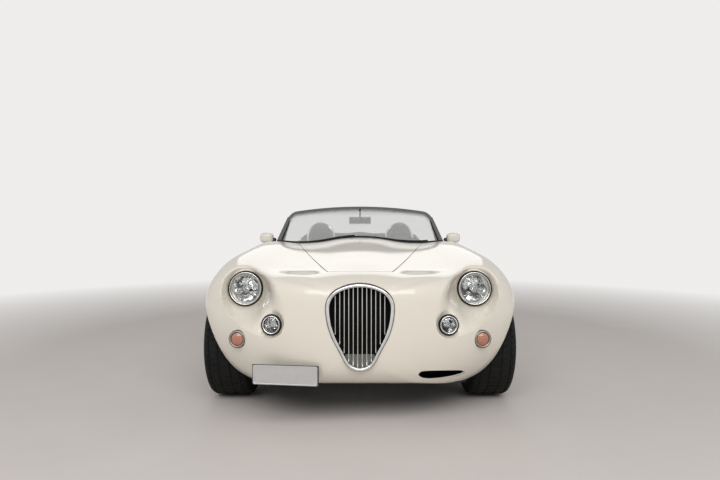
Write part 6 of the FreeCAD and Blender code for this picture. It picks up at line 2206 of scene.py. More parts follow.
    def build_piping(self, side: Side) -> None:
        """Thin piping round the head restraint's face."""
        x = side.value * self.x
        a = np.linspace(0.12, np.pi - 0.12, 40)
        arc = np.column_stack([x + 0.094 * np.cos(a), np.full(40, 0.5470), self.dome_z + 0.096 * np.sin(a)])
        piece(f"seat_{side.word}_piping", sweep(arc, circle(0.0024, CIRCLE_STEPS_FEW),
                                                up=np.array([0.0, 1.0, 0.0])), SEAL, slot="dark_leather")


@dataclass
class Cabin:
    """The cockpit's inside: tub, carpets, dashboard, controls, roll hoops and the folded roof.

    Attributes:
        half: Half width between the sills.
        front: Front bulkhead.
        rear: Rear bulkhead.
        sill_top: Level of the sills' covers, which the door jambs stand on.
        fascia_y: The fascia plates' place along the car.
        fascia_z: Level of their middle and of the air vents.
        tunnel_top: Level of the tunnel's carpet.
        hoop_half: Half the width of a roll hoop.
        hoop_y: The roll hoops' place along the car.
    """

    hull: Hull
    half: float = 0.660
    front: float = -0.700
    rear: float = 0.640
    floor: float = 0.174
    shelf: float = 0.800
    wheel_centre: tuple[float, float, float] = (0.372, -0.078, 0.742)
    wheel_lean: float = 24.0
    wheel_radius: float = 0.178
    grip: float = 0.0140
    sill_top: float = 0.2485
    fascia_y: float = -0.1625
    fascia_z: float = 0.712
    tunnel_top: float = 0.3955
    hoop_half: float = 0.118
    hoop_y: float = 0.618

    def build(self) -> None:
        """Builds everything inside the cockpit."""
        self.build_tub()
        self.build_jambs()
        self.build_dashboard()
        self.build_wheel()
        self.build_controls()
        self.build_hoops()
        self.build_roof()

    def panel(self, name: str, points: Array, toward: Sequence[float], finish: Finish, slot: str,
              wall: float = 0.003) -> None:
        """An open sheet with a wall, its front turned to face a point."""
        skin = grid_skin(points)
        if (skin.normals * (np.asarray(toward) - skin.points)).sum() < 0:
            skin = skin.flipped()
        piece(name, skin.shell(wall), finish, slot=slot)

    def build_tub(self) -> None:
        """Walls, bulkheads, rear shelf and carpets. Each wall is a sheet carried along a path in plan."""
        middle = (0.0, 0.0, 0.45)
        z = np.linspace(self.floor, 1.0, 24)
        for side in SIDES:
            for part, (y0, y1) in {"fore": (self.front, -0.262), "aft": (0.561, self.rear)}.items():
                y = np.linspace(y0, y1, 12)
                points = np.stack(np.broadcast_arrays(np.full((24, 12), side.value * self.half), y[None],
                                                      z[:, None]), axis=2)
                roof = self.hull.top(np.abs(points[..., 0]), points[..., 1]) - 0.005
                points[..., 2] = np.minimum(points[..., 2], roof)
                self.panel(f"tub_{part}_{side.word}", points, middle, HIDE, "dark_leather", 0.0025)
            x = np.linspace(self.half + 0.0005, 0.84, 8)
            y = np.linspace(-0.262, 0.570, 30)
            low = np.stack(np.broadcast_arrays(np.full((6, 30), self.half + 0.0005), y[None],
                                               np.linspace(0.155, self.sill_top, 6)[:, None]), axis=2)
            edge = self.hull.side(y, self.sill_top) - 0.005
            flat = np.stack(np.broadcast_arrays(np.minimum(x[:, None], edge[None]), y[None],
                                                np.full((8, 30), self.sill_top)), axis=2)
            sill = np.concatenate([low, flat])
            sill[..., 0] *= side.value
            self.panel(f"sill_cover_{side.word}", sill, (0.0, 0.15, 0.9), IVORY, "body_paint", 0.002)
            plate = block((self.half + 0.012, -0.16, 0.2488), (self.half + 0.058, 0.44, 0.2512), 0.001)
            plate = plate if side is Side.LEFT else plate.mirrored()
            piece(f"sill_plate_{side.word}", plate, SATIN, slot="bright_chrome")
        x = np.linspace(-self.half, self.half, 30)
        heights = np.linspace(self.floor, 0.700, 10)
        front = np.stack(np.broadcast_arrays(x[None], np.full((10, 30), self.front + 0.001),
                                             heights[:, None]), axis=2)
        self.panel("front_bulkhead", front, middle, CARPET, "carpet")
        heights = np.linspace(self.floor, self.shelf, 14)
        back = np.stack(np.broadcast_arrays(x[None], np.full((14, 30), self.rear - 0.001), heights[:, None]),
                        axis=2)
        y = np.linspace(self.rear - 0.001, 0.903, 10)[:, None]
        shelf = np.stack(np.broadcast_arrays(x[None] * (0.608 / self.half), y,
                                             np.full((10, 30), self.shelf - 0.001)), axis=2)
        shelf[0, :, 0] = x
        rear = np.concatenate([back, shelf])
        self.panel("rear_bulkhead", rear, (0.0, 0.2, 1.2), CARPET, "carpet")
        roof = np.stack(np.broadcast_arrays(x[None], np.linspace(self.front, -0.385, 8)[:, None],
                                            np.full((8, 30), 0.703)), axis=2)
        self.panel("scuttle_lining", roof, middle, BLACK, "black_plastic")
        self.build_carpets()

    def build_carpets(self) -> None:
        """Footwell carpets with bound mats."""
        dress("floor_pan", CARPET)
        for side in SIDES:
            x = side.value * 0.385
            mat = block((x - 0.19, -0.62, self.floor + 0.001), (x + 0.19, -0.12, self.floor + 0.009),
                        EDGE_ROUND)
            piece(f"mat_{side.word}", mat, Weave(colour=(0.030, 0.030, 0.033), thread=(0.075, 0.075, 0.080),
                                                 pitch=0.006, depth=0.002, fuzz=0.6), slot="carpet")
            outline = rounded_rectangle(0.384, 0.504, 0.03, CORNER_STEPS)
            path = np.column_stack([outline[:, 0] + x, outline[:, 1] - 0.37,
                                    np.full(len(outline), self.floor + 0.0055)])
            piece(f"mat_binding_{side.word}", sweep(path, circle(0.0045, CIRCLE_STEPS_FEW), closed=True),
                  HIDE, slot="dark_leather")

    def build_jambs(self) -> None:
        """The upright walls that a door shuts against, arcs about its hinge."""
        hx, hy = 0.768, -0.218
        for side in SIDES:
            a = np.linspace(-np.pi, -0.25 * np.pi, 20)
            z = np.linspace(self.sill_top, 0.96, 24)
            for name, radius, angles in (("hinge", 0.052, a),
                                         ("latch", 0.796, np.linspace(1.703, 1.502, 20))):
                x, y = hx + radius * np.cos(angles), hy + radius * np.sin(angles)
                x = np.clip(x, self.half + 0.002, None)
                points = np.stack(np.broadcast_arrays(x[None], y[None], z[:, None]), axis=2).copy()
                limit = self.hull.side(points[..., 1], np.minimum(points[..., 2], 0.70)) - 0.006
                points[..., 0] = np.minimum(points[..., 0], limit)
                points[..., 2] = np.minimum(points[..., 2],
                                            self.hull.top(points[..., 0], points[..., 1]) - 0.006)
                points[..., 0] *= side.value
                self.panel(f"door_jamb_{name}_{side.word}", points, (side.value * 0.75, 0.15, 0.5), IVORY,
                           "body_paint", 0.002)
            striker = block((0.70, 0.561, 0.52), (0.73, 0.572, 0.57), EDGE_SOFT)
            piece(f"striker_{side.word}", striker if side is Side.LEFT else striker.mirrored(), SATIN,
                  slot="bright_chrome")

    def build_dashboard(self) -> None:
        """The padded dash, its fascia, gauges, vents and stitched edge."""
        profile = rounded_profile(
            [
                (-0.373, 0.702, 0.004), (-0.373, 0.612, 0.01), (-0.215, 0.563, 0.03), (-0.163, 0.590, 0.02),
                (-0.158, 0.650, 0.03), (-0.169, 0.790, 0.02), (-0.188, 0.826, 0.018), (-0.225, 0.838, 0.01),
                (-0.233, 0.802, 0.01), (-0.233, 0.702, 0.004),
            ]
        )
        dash = prism_skin(profile, -0.6585, 0.6585, 0.004, 24)
        piece("dash", dash, HIDE, slot="dark_leather", replaces=("dashboard",), crease=45)
        face = np.array([[-0.159, 0.640], [-0.1685, 0.780]])
        lean = math.degrees(math.atan2(0.0095, 0.140))
        plate = rounded_rectangle(0.40, 0.120, 0.03, CORNER_STEPS)
        tilt = turn_about((1, 0, 0), lean)
        self.fascia("fascia_middle", plate, (0.0, self.fascia_y, self.fascia_z), tilt)
        self.fascia("fascia_left", rounded_rectangle(0.27, 0.112, 0.04, CORNER_STEPS),
                    (0.372, self.fascia_y, self.fascia_z), tilt)
        self.fascia("fascia_right", rounded_rectangle(0.27, 0.112, 0.04, CORNER_STEPS),
                    (-0.372, self.fascia_y, self.fascia_z), tilt)
        way = np.array([0.0, math.cos(math.radians(lean)), math.sin(math.radians(lean))])
        dials = [(x, 0.714, 0.032) for x in (-0.144, -0.048, 0.048, 0.144)] + [(0.318, 0.715, 0.044),
            (0.426, 0.715, 0.044)]
        rims, faces, radii, angles, glasses, hubs = [], [], [], [], [], []
        for x, z, r in dials:
            y = float(np.interp(z, face[:, 1], face[:, 0])) + 0.0035
            centre = np.array([x, y, z])
            rims.append(turned(np.array([(0, r), (0.004, r + 0.0008), (0.007, r - 0.001), (0.006, r - 0.004),
                                         (0, r - 0.0045), (0, r)]), centre, way, TURN_PLAIN))
            disc = turned(np.array([(0.0005, 0.0), (0.0010, 0.0), (0.0010, r * 0.5), (0.0010, r - 0.004),
                                    (0.0005, r - 0.004)]), centre, way, TURN_PLAIN)
            faces.append(disc)
            away = disc.points - centre
            radii.append(np.linalg.norm(away - (away @ way)[:, None] * way, axis=1) / (r - 0.004))
            angles.append(np.arctan2(away[:, 0], away[:, 2]))
            hubs.append(turned(np.array([(0.001, 0.0), (0.001, 0.004), (0.0035, 0.0035), (0.0035, 0.0)]),
                               centre, way, TURN_LEAST))
            glasses.append(turned(np.array([(0.0045, 0.0), (0.0045, r - 0.003), (0.0055, r - 0.003),
                                            (0.0060, 0.0)]), centre, way, 32))
        piece("dial_rims", Skin.joined(rims), CHROME, slot="bright_chrome")
        attributes = {"radius": np.concatenate(radii), "angle": np.concatenate(angles)}
        piece("dial_faces", Skin.joined(faces), DIAL, slot="black_plastic", attributes=attributes)
        piece("dial_hubs", Skin.joined(hubs), BLACK, slot="black_plastic")
        piece("dial_glasses", Skin.joined(glasses), LAMP_GLASS, slot="clear_lens")
        self.build_vents(way)
        line = np.array([(-0.1745, 0.801), (-0.180, 0.8145)])
        x = np.linspace(-0.64, 0.64, 214)
        stitches = [slab((v, line[0, 0] - 0.0002, 0.7985),
                         (v + 0.0035, line[0, 0] + 0.0009, 0.7997)) for v in x]
        piece("dash_stitching", Skin.joined(stitches),
              Plastic(colour=(0.30, 0.29, 0.27), wear=(0.42, 0.41, 0.38), roughness=0.7), slot="dark_leather")

    def fascia(self, name: str, outline: Array, centre: Sequence[float], tilt: Array) -> None:
        """A lacquered plate on the dash's face, with a rounded edge."""
        rings = []
        for inset, height in ((0.0, -0.004), (0.0, 0.0015), (0.0012, 0.003), (0.05, 0.003)):
            shrink = 1 - inset / np.abs(outline).max(axis=0)
            ring = outline * shrink
            rings.append(np.column_stack([ring[:, 0], np.full(len(ring), height), ring[:, 1]]))
        rings.append(np.column_stack([np.zeros(len(outline)), np.full(len(outline), 0.003),
                                      np.zeros(len(outline))]))
        rings.insert(0, np.column_stack([np.zeros(len(outline)), np.full(len(outline), -0.004),
                                         np.zeros(len(outline))]))
        skin = facing_out(grid_skin(np.array(rings), wrap_columns=True))
        piece(name, moved(skin, tilt, centre), IVORY, slot="body_paint")

    def build_vents(self, way: Array) -> None:
        """Four round air vents with slats."""
        rings, slats = [], []
        for x in (-0.580, -0.235, 0.235, 0.580):
            centre = np.array([x, -0.1580, self.fascia_z])
            rings.append(turned(np.array([(0, 0.027), (0.006, 0.027), (0.008, 0.025), (0.006, 0.022),
                                          (0, 0.022), (0, 0.027)]), centre, way, TURN_COARSE))
            for k in range(-2, 3):
                half = math.sqrt(0.0215**2 - (k * 0.008) ** 2)
                slats.append(block((x - half, -0.1575, 0.711 + k * 0.008),
                                   (x + half, -0.1545, 0.7125 + k * 0.008), 0.0005))
        piece("vent_rings", Skin.joined(rings), CHROME, slot="bright_chrome")
        piece("vent_slats", Skin.joined(slats), BLACK, slot="black_plastic")

    def build_wheel(self) -> None:
        """The steering wheel: a leather grip, three spokes and a hub with a plain pad."""
        a = math.radians(self.wheel_lean)
        axis = np.array([0.0, math.cos(a), math.sin(a)])
        centre = np.array(self.wheel_centre)
        first, second = np.array([1.0, 0.0, 0.0]), np.cross(axis, np.array([1.0, 0.0, 0.0]))
        second = -second if second[2] < 0 else second
        t = np.linspace(0, 2 * np.pi, 120, endpoint=False)
        path = centre + self.wheel_radius * (np.cos(t)[:, None] * first + np.sin(t)[:, None] * second)
        bumps = 1.0 + 0.035 * np.cos(t * 30) + 0.10 * (np.exp(-(((t - 0.30) / 0.12) ** 2))
                                                       + np.exp(-(((t - np.pi + 0.30) / 0.12) ** 2)))
        rim = sweep(path, circle(self.grip * 0.93, 20, 1.1), up=axis, closed=True, scale=bumps)
        piece("wheel_grip", rim, HIDE, body="steering_wheel", slot="dark_leather",
              replaces=("steering_wheel",))
        spokes = []
        for angle in (0.16, np.pi - 0.16, -np.pi / 2):
            way = math.cos(angle) * first + math.sin(angle) * second
            across = np.cross(axis, way)
            s = np.linspace(0.030, self.wheel_radius - 0.006, 16)
            lift = -0.018 * (1 - (s / self.wheel_radius) ** 2)
            width = 0.017 + 0.010 * ((s - 0.09) / 0.09) ** 2
            spine = centre + way * s[:, None] + axis * lift[:, None]
            left, right = spine + across * width[:, None], spine - across * width[:, None]
            thick = axis * 0.0022
            rows = np.stack([left + thick, right + thick, right - thick, left - thick], axis=1)
            spokes.append(facing_out(grid_skin(capped(rows), wrap_columns=True)))
        piece("wheel_spokes", Skin.joined(spokes), SATIN, body="steering_wheel", slot="bright_chrome")
        hub = np.array([(-0.047, 0.0), (-0.047, 0.026), (-0.022, 0.040), (-0.012, 0.040), (-0.006, 0.036),
                        (-0.003, 0.020), (-0.002, 0.0)])
        piece("wheel_hub", turned(hub, centre, axis, TURN_PLAIN), HIDE, body="steering_wheel",
              slot="dark_leather")
        ring = np.array([(-0.006, 0.030), (-0.0035, 0.030), (-0.0025, 0.028), (-0.0035, 0.026),
                         (-0.006, 0.026), (-0.006, 0.030)])
        piece("wheel_badge_ring", turned(ring, centre, axis, TURN_PLAIN), CHROME, body="steering_wheel",
              slot="bright_chrome")
        dress("steering_column", BLACK)
        stalks = []
        for sign in (-1.0, 1.0):
            root_point = centre - axis * 0.075
            tip = centre - axis * 0.045 + first * sign * 0.125 + second * 0.012
            stalks.append(rod(root_point, tip, 0.0048, 14))
            stalks.append(rod(tip - first * sign * 0.012, tip + first * sign * 0.022, 0.0072, TURN_LEAST))
        shroud = turned(np.array([(-0.115, 0.0), (-0.115, 0.030), (-0.062, 0.038), (-0.054, 0.034),
                                  (-0.054, 0.0)]), centre, axis, TURN_COARSE)
        piece("column_stalks", Skin.joined([*stalks, shroud]), BLACK, slot="black_plastic")

    def build_controls(self) -> None:
        """Gear lever with a pleated boot, handbrake and pedals."""
        levels = np.linspace(0, 1, 25)
        radius = 0.0455 - 0.026 * levels + 0.0022 * np.sin(levels * np.pi * 9)
        boot = np.concatenate([[(0.0, 0.0)], np.column_stack([levels * 0.046, radius]), [(0.046, 0.0)]])
        piece("gear_boot", turned(boot, (0.0, -0.095, self.tunnel_top), UP, TURN_COARSE), HIDE,
              slot="dark_leather",
              replaces=("levers",))
        stem = rod((0.0, -0.094, 0.436), (0.0, -0.087, 0.508), 0.0052, TURN_LEAST)
        knob = smooth_profile([(-0.016, 0.006), (-0.012, 0.013), (0.002, 0.0205), (0.014, 0.0215),
                               (0.021, 0.014), (0.0225, 0.0)], CURVE_STEPS_FEW)
        piece("gear_stem", stem, CHROME, slot="bright_chrome")
        piece("gear_knob", turned(np.concatenate([[(-0.016, 0.0)], knob]), (0.0, -0.086, 0.521),
                                  (0.0, 0.06, 1.0), 36), ALLOY, slot="cast_alloy")
        gate = turned(np.array([(0, 0.050), (0.003, 0.050), (0.004, 0.048), (0.003, 0.0455), (0, 0.0455),
                                (0, 0.050)]), (0.0, -0.095, self.tunnel_top), UP, TURN_PLAIN)
        piece("gear_ring", gate, CHROME, slot="bright_chrome")
        handle = sweep(
            smooth_profile([(0.0, 0.240, 0.410), (0.0, 0.20, 0.425), (0.0, 0.13, 0.440), (0.0, 0.050, 0.455)],
                           CURVE_STEPS),
            circle(0.0115, 18), scale=np.interp(np.linspace(0, 1, 19), [0, 0.3, 0.6, 1.0],
                                                [0.85, 0.8, 1.05, 1.0]),
        )
        foot = block((-0.016, 0.203, self.tunnel_top), (0.016, 0.273, 0.420), 0.006)
        piece("handbrake", Skin.joined([handle, foot]), HIDE, slot="dark_leather")
        piece("handbrake_button", rod((0.0, 0.052, 0.4545), (0.0, 0.042, 0.4575), 0.0058, TURN_LEAST), CHROME,
              slot="bright_chrome")
        pads, arms = [], []
        for x, width in ((0.300, 0.055), (0.375, 0.060), (0.455, 0.045)):
            pads.append(moved(block((-width / 2, -0.004, -0.036), (width / 2, 0.004, 0.036), EDGE_SOFT),
                              turn_about((1, 0, 0), 28), (x, -0.575, 0.290)))
            arms.append(rod((x, -0.580, 0.295), (x, -0.688, 0.560), 0.007, 12))
            for k in range(-2, 3):
                rib = moved(block((-width / 2 + 0.006, 0.004, k * 0.012 - 0.002),
                                  (width / 2 - 0.006, 0.0058, k * 0.012 + 0.002), 0.0005),
                                  turn_about((1, 0, 0), 28), (x, -0.575, 0.290))
                pads.append(rib)
        piece("pedal_pads", Skin.joined(pads), ALLOY, slot="cast_alloy")
        piece("pedal_arms", Skin.joined(arms), BLACK, slot="frame_black")

    def build_hoops(self) -> None:
        """Chromed roll hoops, each an arch on two upright legs."""
        hoops = []
        for x in (-self.wheel_centre[0], self.wheel_centre[0]):
            a = np.linspace(0, np.pi, 30)
            arch = np.column_stack([x + self.hoop_half * np.cos(a), np.full(30, self.hoop_y),
                                    0.907 + self.hoop_half * np.sin(a)])
            legs = np.linspace(self.floor, 0.907, 12)[:-1]
            right = np.column_stack([np.full(11, x + self.hoop_half), np.full(11, self.hoop_y), legs])
            left = np.column_stack([np.full(11, x - self.hoop_half), np.full(11, self.hoop_y), legs[::-1]])
            hoops.append(sweep(np.concatenate([right, arch, left]), circle(0.0179, 24),
                               up=np.array([0.0, 1.0, 0.0])))
        piece("hoops", Skin.joined(hoops), CHROME, slot="bright_chrome", replaces=("roll_hoops",))

    def build_roof(self) -> None:
        """The folded roof under its cloth cover: a crowned bolster with folds, piping and press studs.

        The section is a flattened dome over the rear deck. Along it, the height falls off at both ends
        with a half circle's rounding and small folds are added as sines of both parameters.
        """
        u = np.linspace(-1, 1, 200)
        v = np.linspace(0, 1, 60)
        x = 0.606 * u
        ends = np.clip(1 - np.clip((np.abs(u) - 0.80) / 0.20, 0, 1) ** 2, 0, 1) ** 0.5
        across = np.pi * v
        y_mid, y_half = 0.780, 0.124
        shape_y = y_mid - y_half * np.cos(across)[None] * (0.55 + 0.45 * ends[:, None])
        crown = 0.806 + (0.148 * ends[:, None] + 0.002) * np.sin(across)[None] ** 0.62 * (1.0 - 0.18
            * v[None])
        folds = 0.0038 * np.sin(11 * across[None] + 2.2 * np.sin(5.0 * u[:,
            None])) * np.sin(across)[None] ** 0.5
        folds = folds + 0.0030 * np.sin(17.0 * u[:, None] + 3.0 * v[None]) * np.sin(across)[None]
        swell = 0.006 * np.cos(3 * np.pi * u)[:, None] * np.sin(across)[None]
        points = np.stack(np.broadcast_arrays(x[:, None], shape_y, crown + (folds + swell) * ends[:, None]),
                          axis=2)
        skin = grid_skin(points)
        if skin.normals[:, 2].sum() < 0:
            skin = skin.flipped()
        cover = piece("roof_cover", skin.shell(THIN_WALL), SOFT_TOP, slot="roof_cloth",
                      replaces=("folded_roof",), crease=60)
        a, b, c = (skin.points[skin.faces[:, k]] for k in range(3))
        area = float(np.linalg.norm(np.cross(b - a, c - a), axis=1).sum() / 2)
        edge = points[:, [0, -1]].transpose(1, 0, 2)
        rim = np.concatenate([edge[0], edge[1][::-1]])
        piece("roof_piping", sweep(resampled(rim, OUTLINE_STEPS_FINE) + np.array([0, 0, 0.002]),
                                   circle(0.004, CIRCLE_STEPS_FEW), closed=True), SEAL, slot="roof_cloth")
        studs = [turned(np.array([(0, 0.006), (0.002, 0.006), (0.0035, 0.004), (0.004, 0.0)]),
                        points[k, 3] + UP * 0.002, (0, -1.0, 0.6), TURN_LEAST) for k in range(14, 190, 19)]
        piece("roof_studs", Skin.joined(studs), CHROME, slot="bright_chrome")


@dataclass
class Windscreen:
    """The raked windscreen: frame and glass from the frame, rubber foot, pillar covers, wipers and mirrors.

    Attributes:
        cover_top: Upper end of the dark covers on the pillars.
    """

    hull: Hull
    cover_top: float = 1.080

    def place(self, x: Array, z: Array) -> Array:
        """The glass's place along the car: arcs across it at two heights, joined by straight lines."""
        def bow(at: Array, edge: float, y_edge: float, y_mid: float) -> Array:
            """An arc through both edges and the middle."""
            sag = y_edge - y_mid
            radius = (edge**2 + sag**2) / (2 * sag)
            return y_mid + radius - np.sqrt(radius**2 - at**2)

        low, high = bow(x, 0.680, -0.265, -0.586), bow(x, 0.680, 0.257, 0.057)
        return low + (high - low) * (z - 0.840) / 0.340

    def build(self) -> None:
        """Dresses the frame and the glass and adds the trim."""
        dress("windscreen_frame", FRAME_BLACK)
        dress("windscreen_glass", PANE)
        x = np.linspace(-0.648, 0.648, 120)
        guess = np.full(120, 0.85)
        for _ in range(12):
            guess = self.hull.top(np.abs(x), self.place(x, guess))
        path = np.column_stack([x, self.place(x, guess) - 0.010, guess + 0.003])
        section = np.array([(-0.012, -0.008), (0.010, -0.008), (0.010, 0.002), (0.003, 0.009),
                            (-0.002, 0.009), (-0.010, 0.001)])
        foot = sweep(path, section[::-1])
        piece("screen_seal", foot, SEAL, slot="black_plastic")
        self.build_pillar_covers()
        self.build_wipers()
        self.build_mirror()

    def build_pillar_covers(self) -> None:
        """Dark covers behind the glass along both pillars, widening in a straight line towards the foot."""
        z = np.linspace(0.850, self.cover_top, 30)[:, None]
        edge = 0.654 - 0.048 * (z - 0.820) / 0.236 + 0.010 + 0.012 * (self.cover_top - z) / 0.230
        width = 0.030 + 0.048 * (self.cover_top - z) / 0.230
        x = edge - width * np.linspace(0, 1, 8)[None]
        cover = grid_skin(np.stack([x, self.place(x, np.broadcast_to(z, x.shape)) + 0.006,
                                    np.broadcast_to(z, x.shape)], axis=2))
        if cover.normals[:, 1].sum() > 0:
            cover = cover.flipped()
        cover = cover.shell(THIN_WALL)
        piece("pillar_covers", Skin.joined([cover, cover.mirrored()]), FRAME_BLACK, slot="black_plastic")

    def build_wipers(self) -> None:
        """Two wipers parked along the foot of the glass: spindle cap, arm and blade."""
        arms, blades, caps = [], [], []
        for x0, x1 in ((0.10, 0.52), (-0.46, -0.04)):
            base_z = float(self.hull.top(np.array([abs(x0)]),
                                         self.place(np.array([x0]), np.array([0.88])))[0])
            y0 = float(self.place(np.array([x0]), np.array([base_z]))[0]) - 0.045
            z0 = float(self.hull.top(np.array([abs(x0)]), np.array([y0]))[0])
            caps.append(turned(np.array([(-0.01, 0.0), (-0.01, 0.013), (0.010, 0.012), (0.016, 0.007),
                                         (0.017, 0.0)]), (x0, y0, z0), UP, TURN_SMALL))
            xs = np.linspace(x0, x1, 12)
            low = np.array([float(self.hull.top(np.array([abs(v)]),
                                                self.place(np.array([v]), np.array([0.88])))[0]) for v in xs])
            lift = np.interp(xs, (x0, x1), (0.000, 0.010))
            z = low + lift + 0.010
            y = self.place(xs, z) - 0.016
            arm = np.column_stack([xs, y, z])[:8]
            arm[0] = (x0, y0, z0 + 0.012)
            arms.append(sweep(smooth_profile(arm, 3), rounded_rectangle(0.009, 0.004, 0.0015, 3)))
            xb = np.linspace(x0 + (x1 - x0) * 0.12, x1, 30)
            lb = np.interp(xb, xs if x1 > x0 else xs[::-1], z if x1 > x0 else z[::-1]) - 0.004
            yb = self.place(xb, lb) - 0.0075
            blades.append(sweep(np.column_stack([xb, yb, lb]), rounded_rectangle(0.007, 0.011, 0.002, 3)))
        piece("wiper_arms", Skin.joined(arms + caps), BLACK, slot="black_plastic")
        piece("wiper_blades", Skin.joined(blades), SEAL, slot="black_plastic")

    def build_mirror(self) -> None:
        """The mirror inside the screen and the door mirrors, each with its silvered glass."""
        dress("interior_mirror", GLOSS_BLACK)
        glass = block((-0.084, 0.0955, 1.030), (0.084, 0.0985, 1.076), 0.0012)
        piece("interior_mirror_glass", glass, CHROME, slot="bright_chrome")
        for side in SIDES:
            housing = pillow((0.751, -0.152, 0.908), (0.054, 0.038, 0.041), 2.9, 29, 56)
            level = -0.136 - housing.points[:, 1]
            housing = housing.clip(level)
            glass = pillow((0.751, -0.138, 0.908), (0.0505, 0.003, 0.0380), 2.9, 17, 48)
            ball = turned(smooth_profile([(-0.016, 0.002), (-0.012, 0.010), (0.0, 0.0155), (0.012, 0.012),
                                          (0.018, 0.008)], CURVE_STEPS_FEW), (0.690, -0.146, 0.893),
                                          (1, 0, 0.1), 30)
            stalk = sweep(smooth_profile([(0.686, -0.149, 0.812), (0.687, -0.149, 0.850),
                                          (0.690, -0.147, 0.890)], CURVE_STEPS), circle(0.009, CIRCLE_STEPS),
                                          up=np.array([0.0, 1.0, 0.0]))
            foot = turned(np.array([(-0.006, 0.0), (-0.006, 0.021), (0.004, 0.018), (0.010, 0.009),
                                    (0.010, 0.0)]), (0.687, -0.149, 0.858), UP, 28)
            parts = {"housing": (housing.shell(THIN_WALL), IVORY, "body_paint"),
                     "glass": (glass, CHROME, "bright_chrome"),
                     "stalk": (Skin.joined([ball, stalk, foot]), BLACK, "black_plastic")}
            for name, (skin, finish, slot) in parts.items():
                skin = skin if side is Side.LEFT else skin.mirrored()
                replaced = (f"mirror_{side.word}",) if name == "housing" else ()
                piece(f"mirror_{side.word}_{name}", skin, finish, body=f"door_{side.word}", slot=slot,
                      replaces=replaced)


